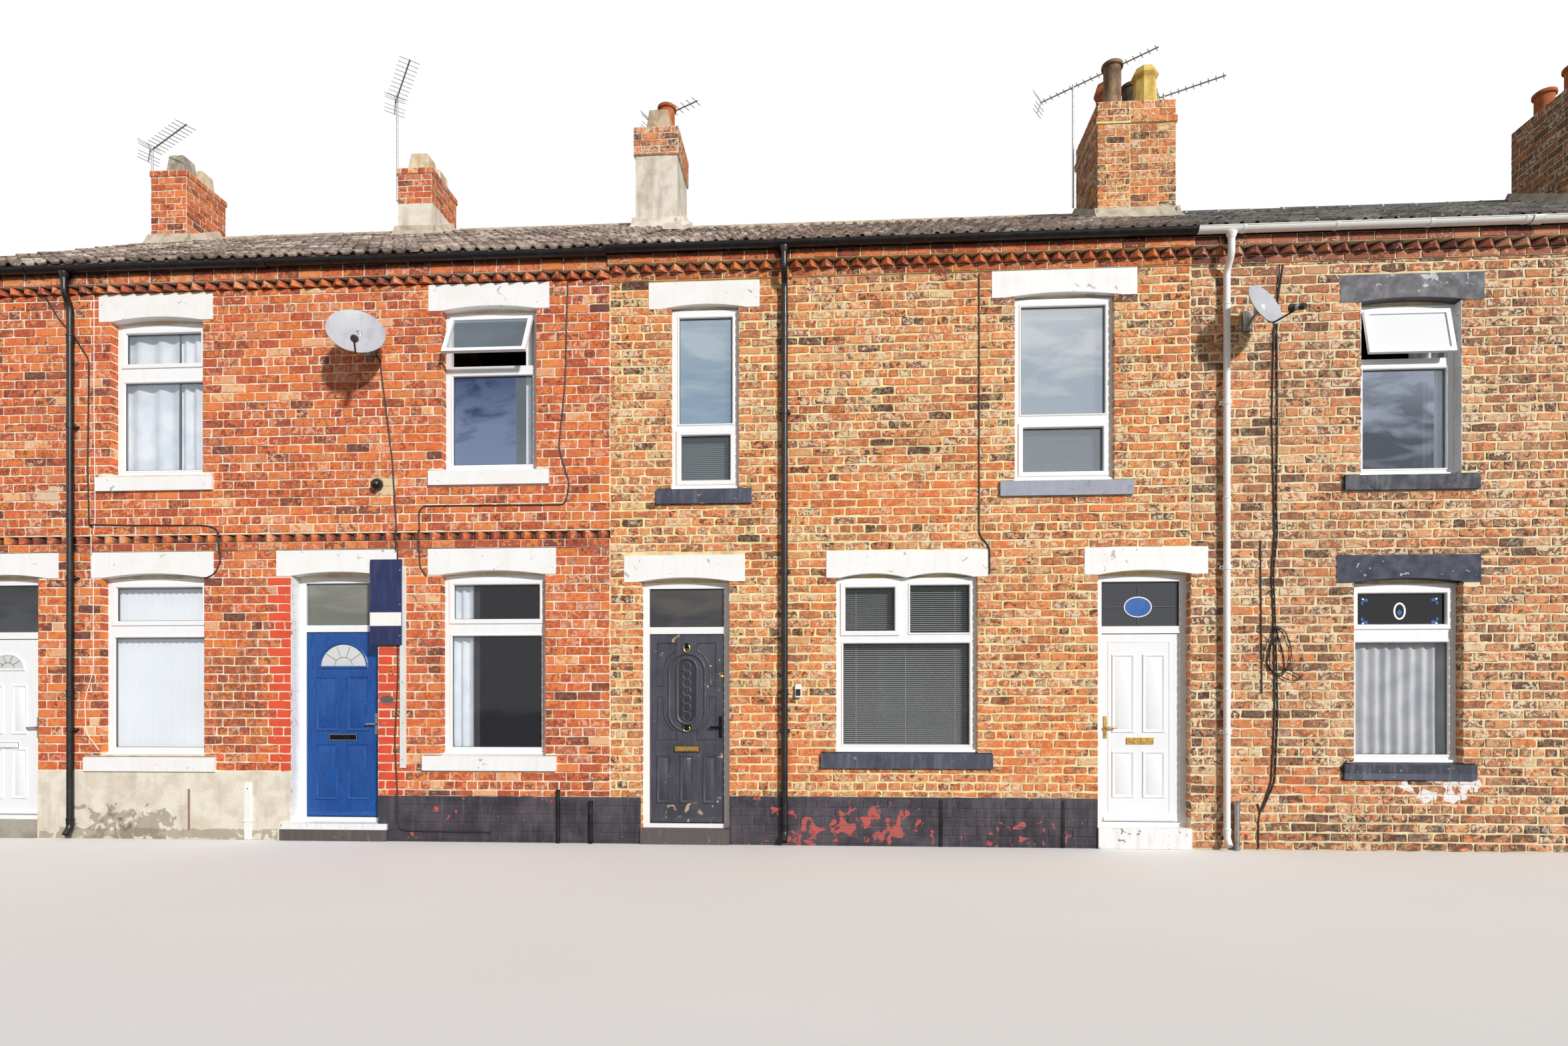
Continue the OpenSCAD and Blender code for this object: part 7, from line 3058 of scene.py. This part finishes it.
def main() -> None:
    """Builds the studio and every sub-assembly of the row, in order."""
    logging.basicConfig(level=logging.INFO, format="%(message)s")
    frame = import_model()
    Studio().build()
    finishes = Finishes()
    dress_nodes(frame, finishes)
    for house, bricks in zip(HOUSES, ("red_bricks", "buff_bricks", "tan_bricks")):
        house.build(finishes.pick(bricks, "red_paint", "painted_reveal"))
    Gables().build(*finishes.pick("red_bricks", "tan_bricks"))
    band_finishes = (
        ("band_bricks", "red_mortar"), ("band_bricks", "buff_mortar"),
        ("band_bricks_dark", "tan_mortar"), ("band_bricks", "red_mortar"),
    )
    for band, names in zip(BANDS, band_finishes):
        band.build(*finishes.pick(*names))
    paint_plinths(finishes["black_paint"])
    build_plinth_ends(*finishes.pick("grey_render", "black_paint"))
    stack_finishes = (
        ("red_bricks", "ridge_mortar"), ("red_bricks", "ridge_mortar"), ("buff_bricks", "pale_render"),
        ("buff_bricks", "ridge_mortar"), ("tan_bricks", "ridge_mortar"),
    )
    for stack, names in zip(STACKS, stack_finishes):
        stack.build(*finishes.pick(*names))
    for roof in ROOFS:
        roof.build(*finishes.pick("roof_slates" if roof.name == "d" else "roof_tiles", "ridge_mortar"))
    Ridge().build(finishes.pick("ridge_clay", "ridge_mortar", "ridge_blue"))
    clays = ("streaked", "cream", "brown", "yellow", "orange", "buff", "mossy")
    build_pots(finishes.pick(*(f"pot_{clay}" for clay in clays)))
    build_sashes(*finishes.pick("white_frames", "rubber"))
    for curtain in CURTAINS:
        curtain.build(finishes["net_curtain"])
    Blinds().build(*finishes.pick("blind_slats", "white_frames"))
    fittings = (
        ("white_leaf", "white_frames", "aerial_metal"), ("blue_leaf", "black_metal", "aerial_metal"),
        ("black_leaf", "brass", "black_metal"), ("white_leaf", "brass", "brass"),
        ("green_leaf", "brass", "brass"),
    )
    for door, (leaf, plate, metal) in zip(DOORS, fittings):
        glass = "dark_glass" if door.name == "c1" else "door_glass"
        door.build(finishes.pick(leaf, plate, glass, "lead", metal))
    build_leaded_lights(finishes.pick("blue_glass", "white_frames", "lead"))
    build_rainwater(
        finishes.pick("black_plastic", "rusty_metal"), finishes.pick("white_plastic", "rusty_metal")
    )
    build_dishes(finishes.pick("dish_grey", "aerial_metal", "cable_black", "rusty_metal"))
    build_cables(finishes.pick("cable_black", "cable_black", "white_frames"))
    build_board(finishes.pick("white_timber", "navy_board", "white_plastic", "aerial_metal"))
    build_wall_fittings(
        finishes.pick("white_plastic", "black_plastic", "aerial_metal", "rusty_metal", "plaque", "brass")
    )


if __name__ == "__main__":
    main()
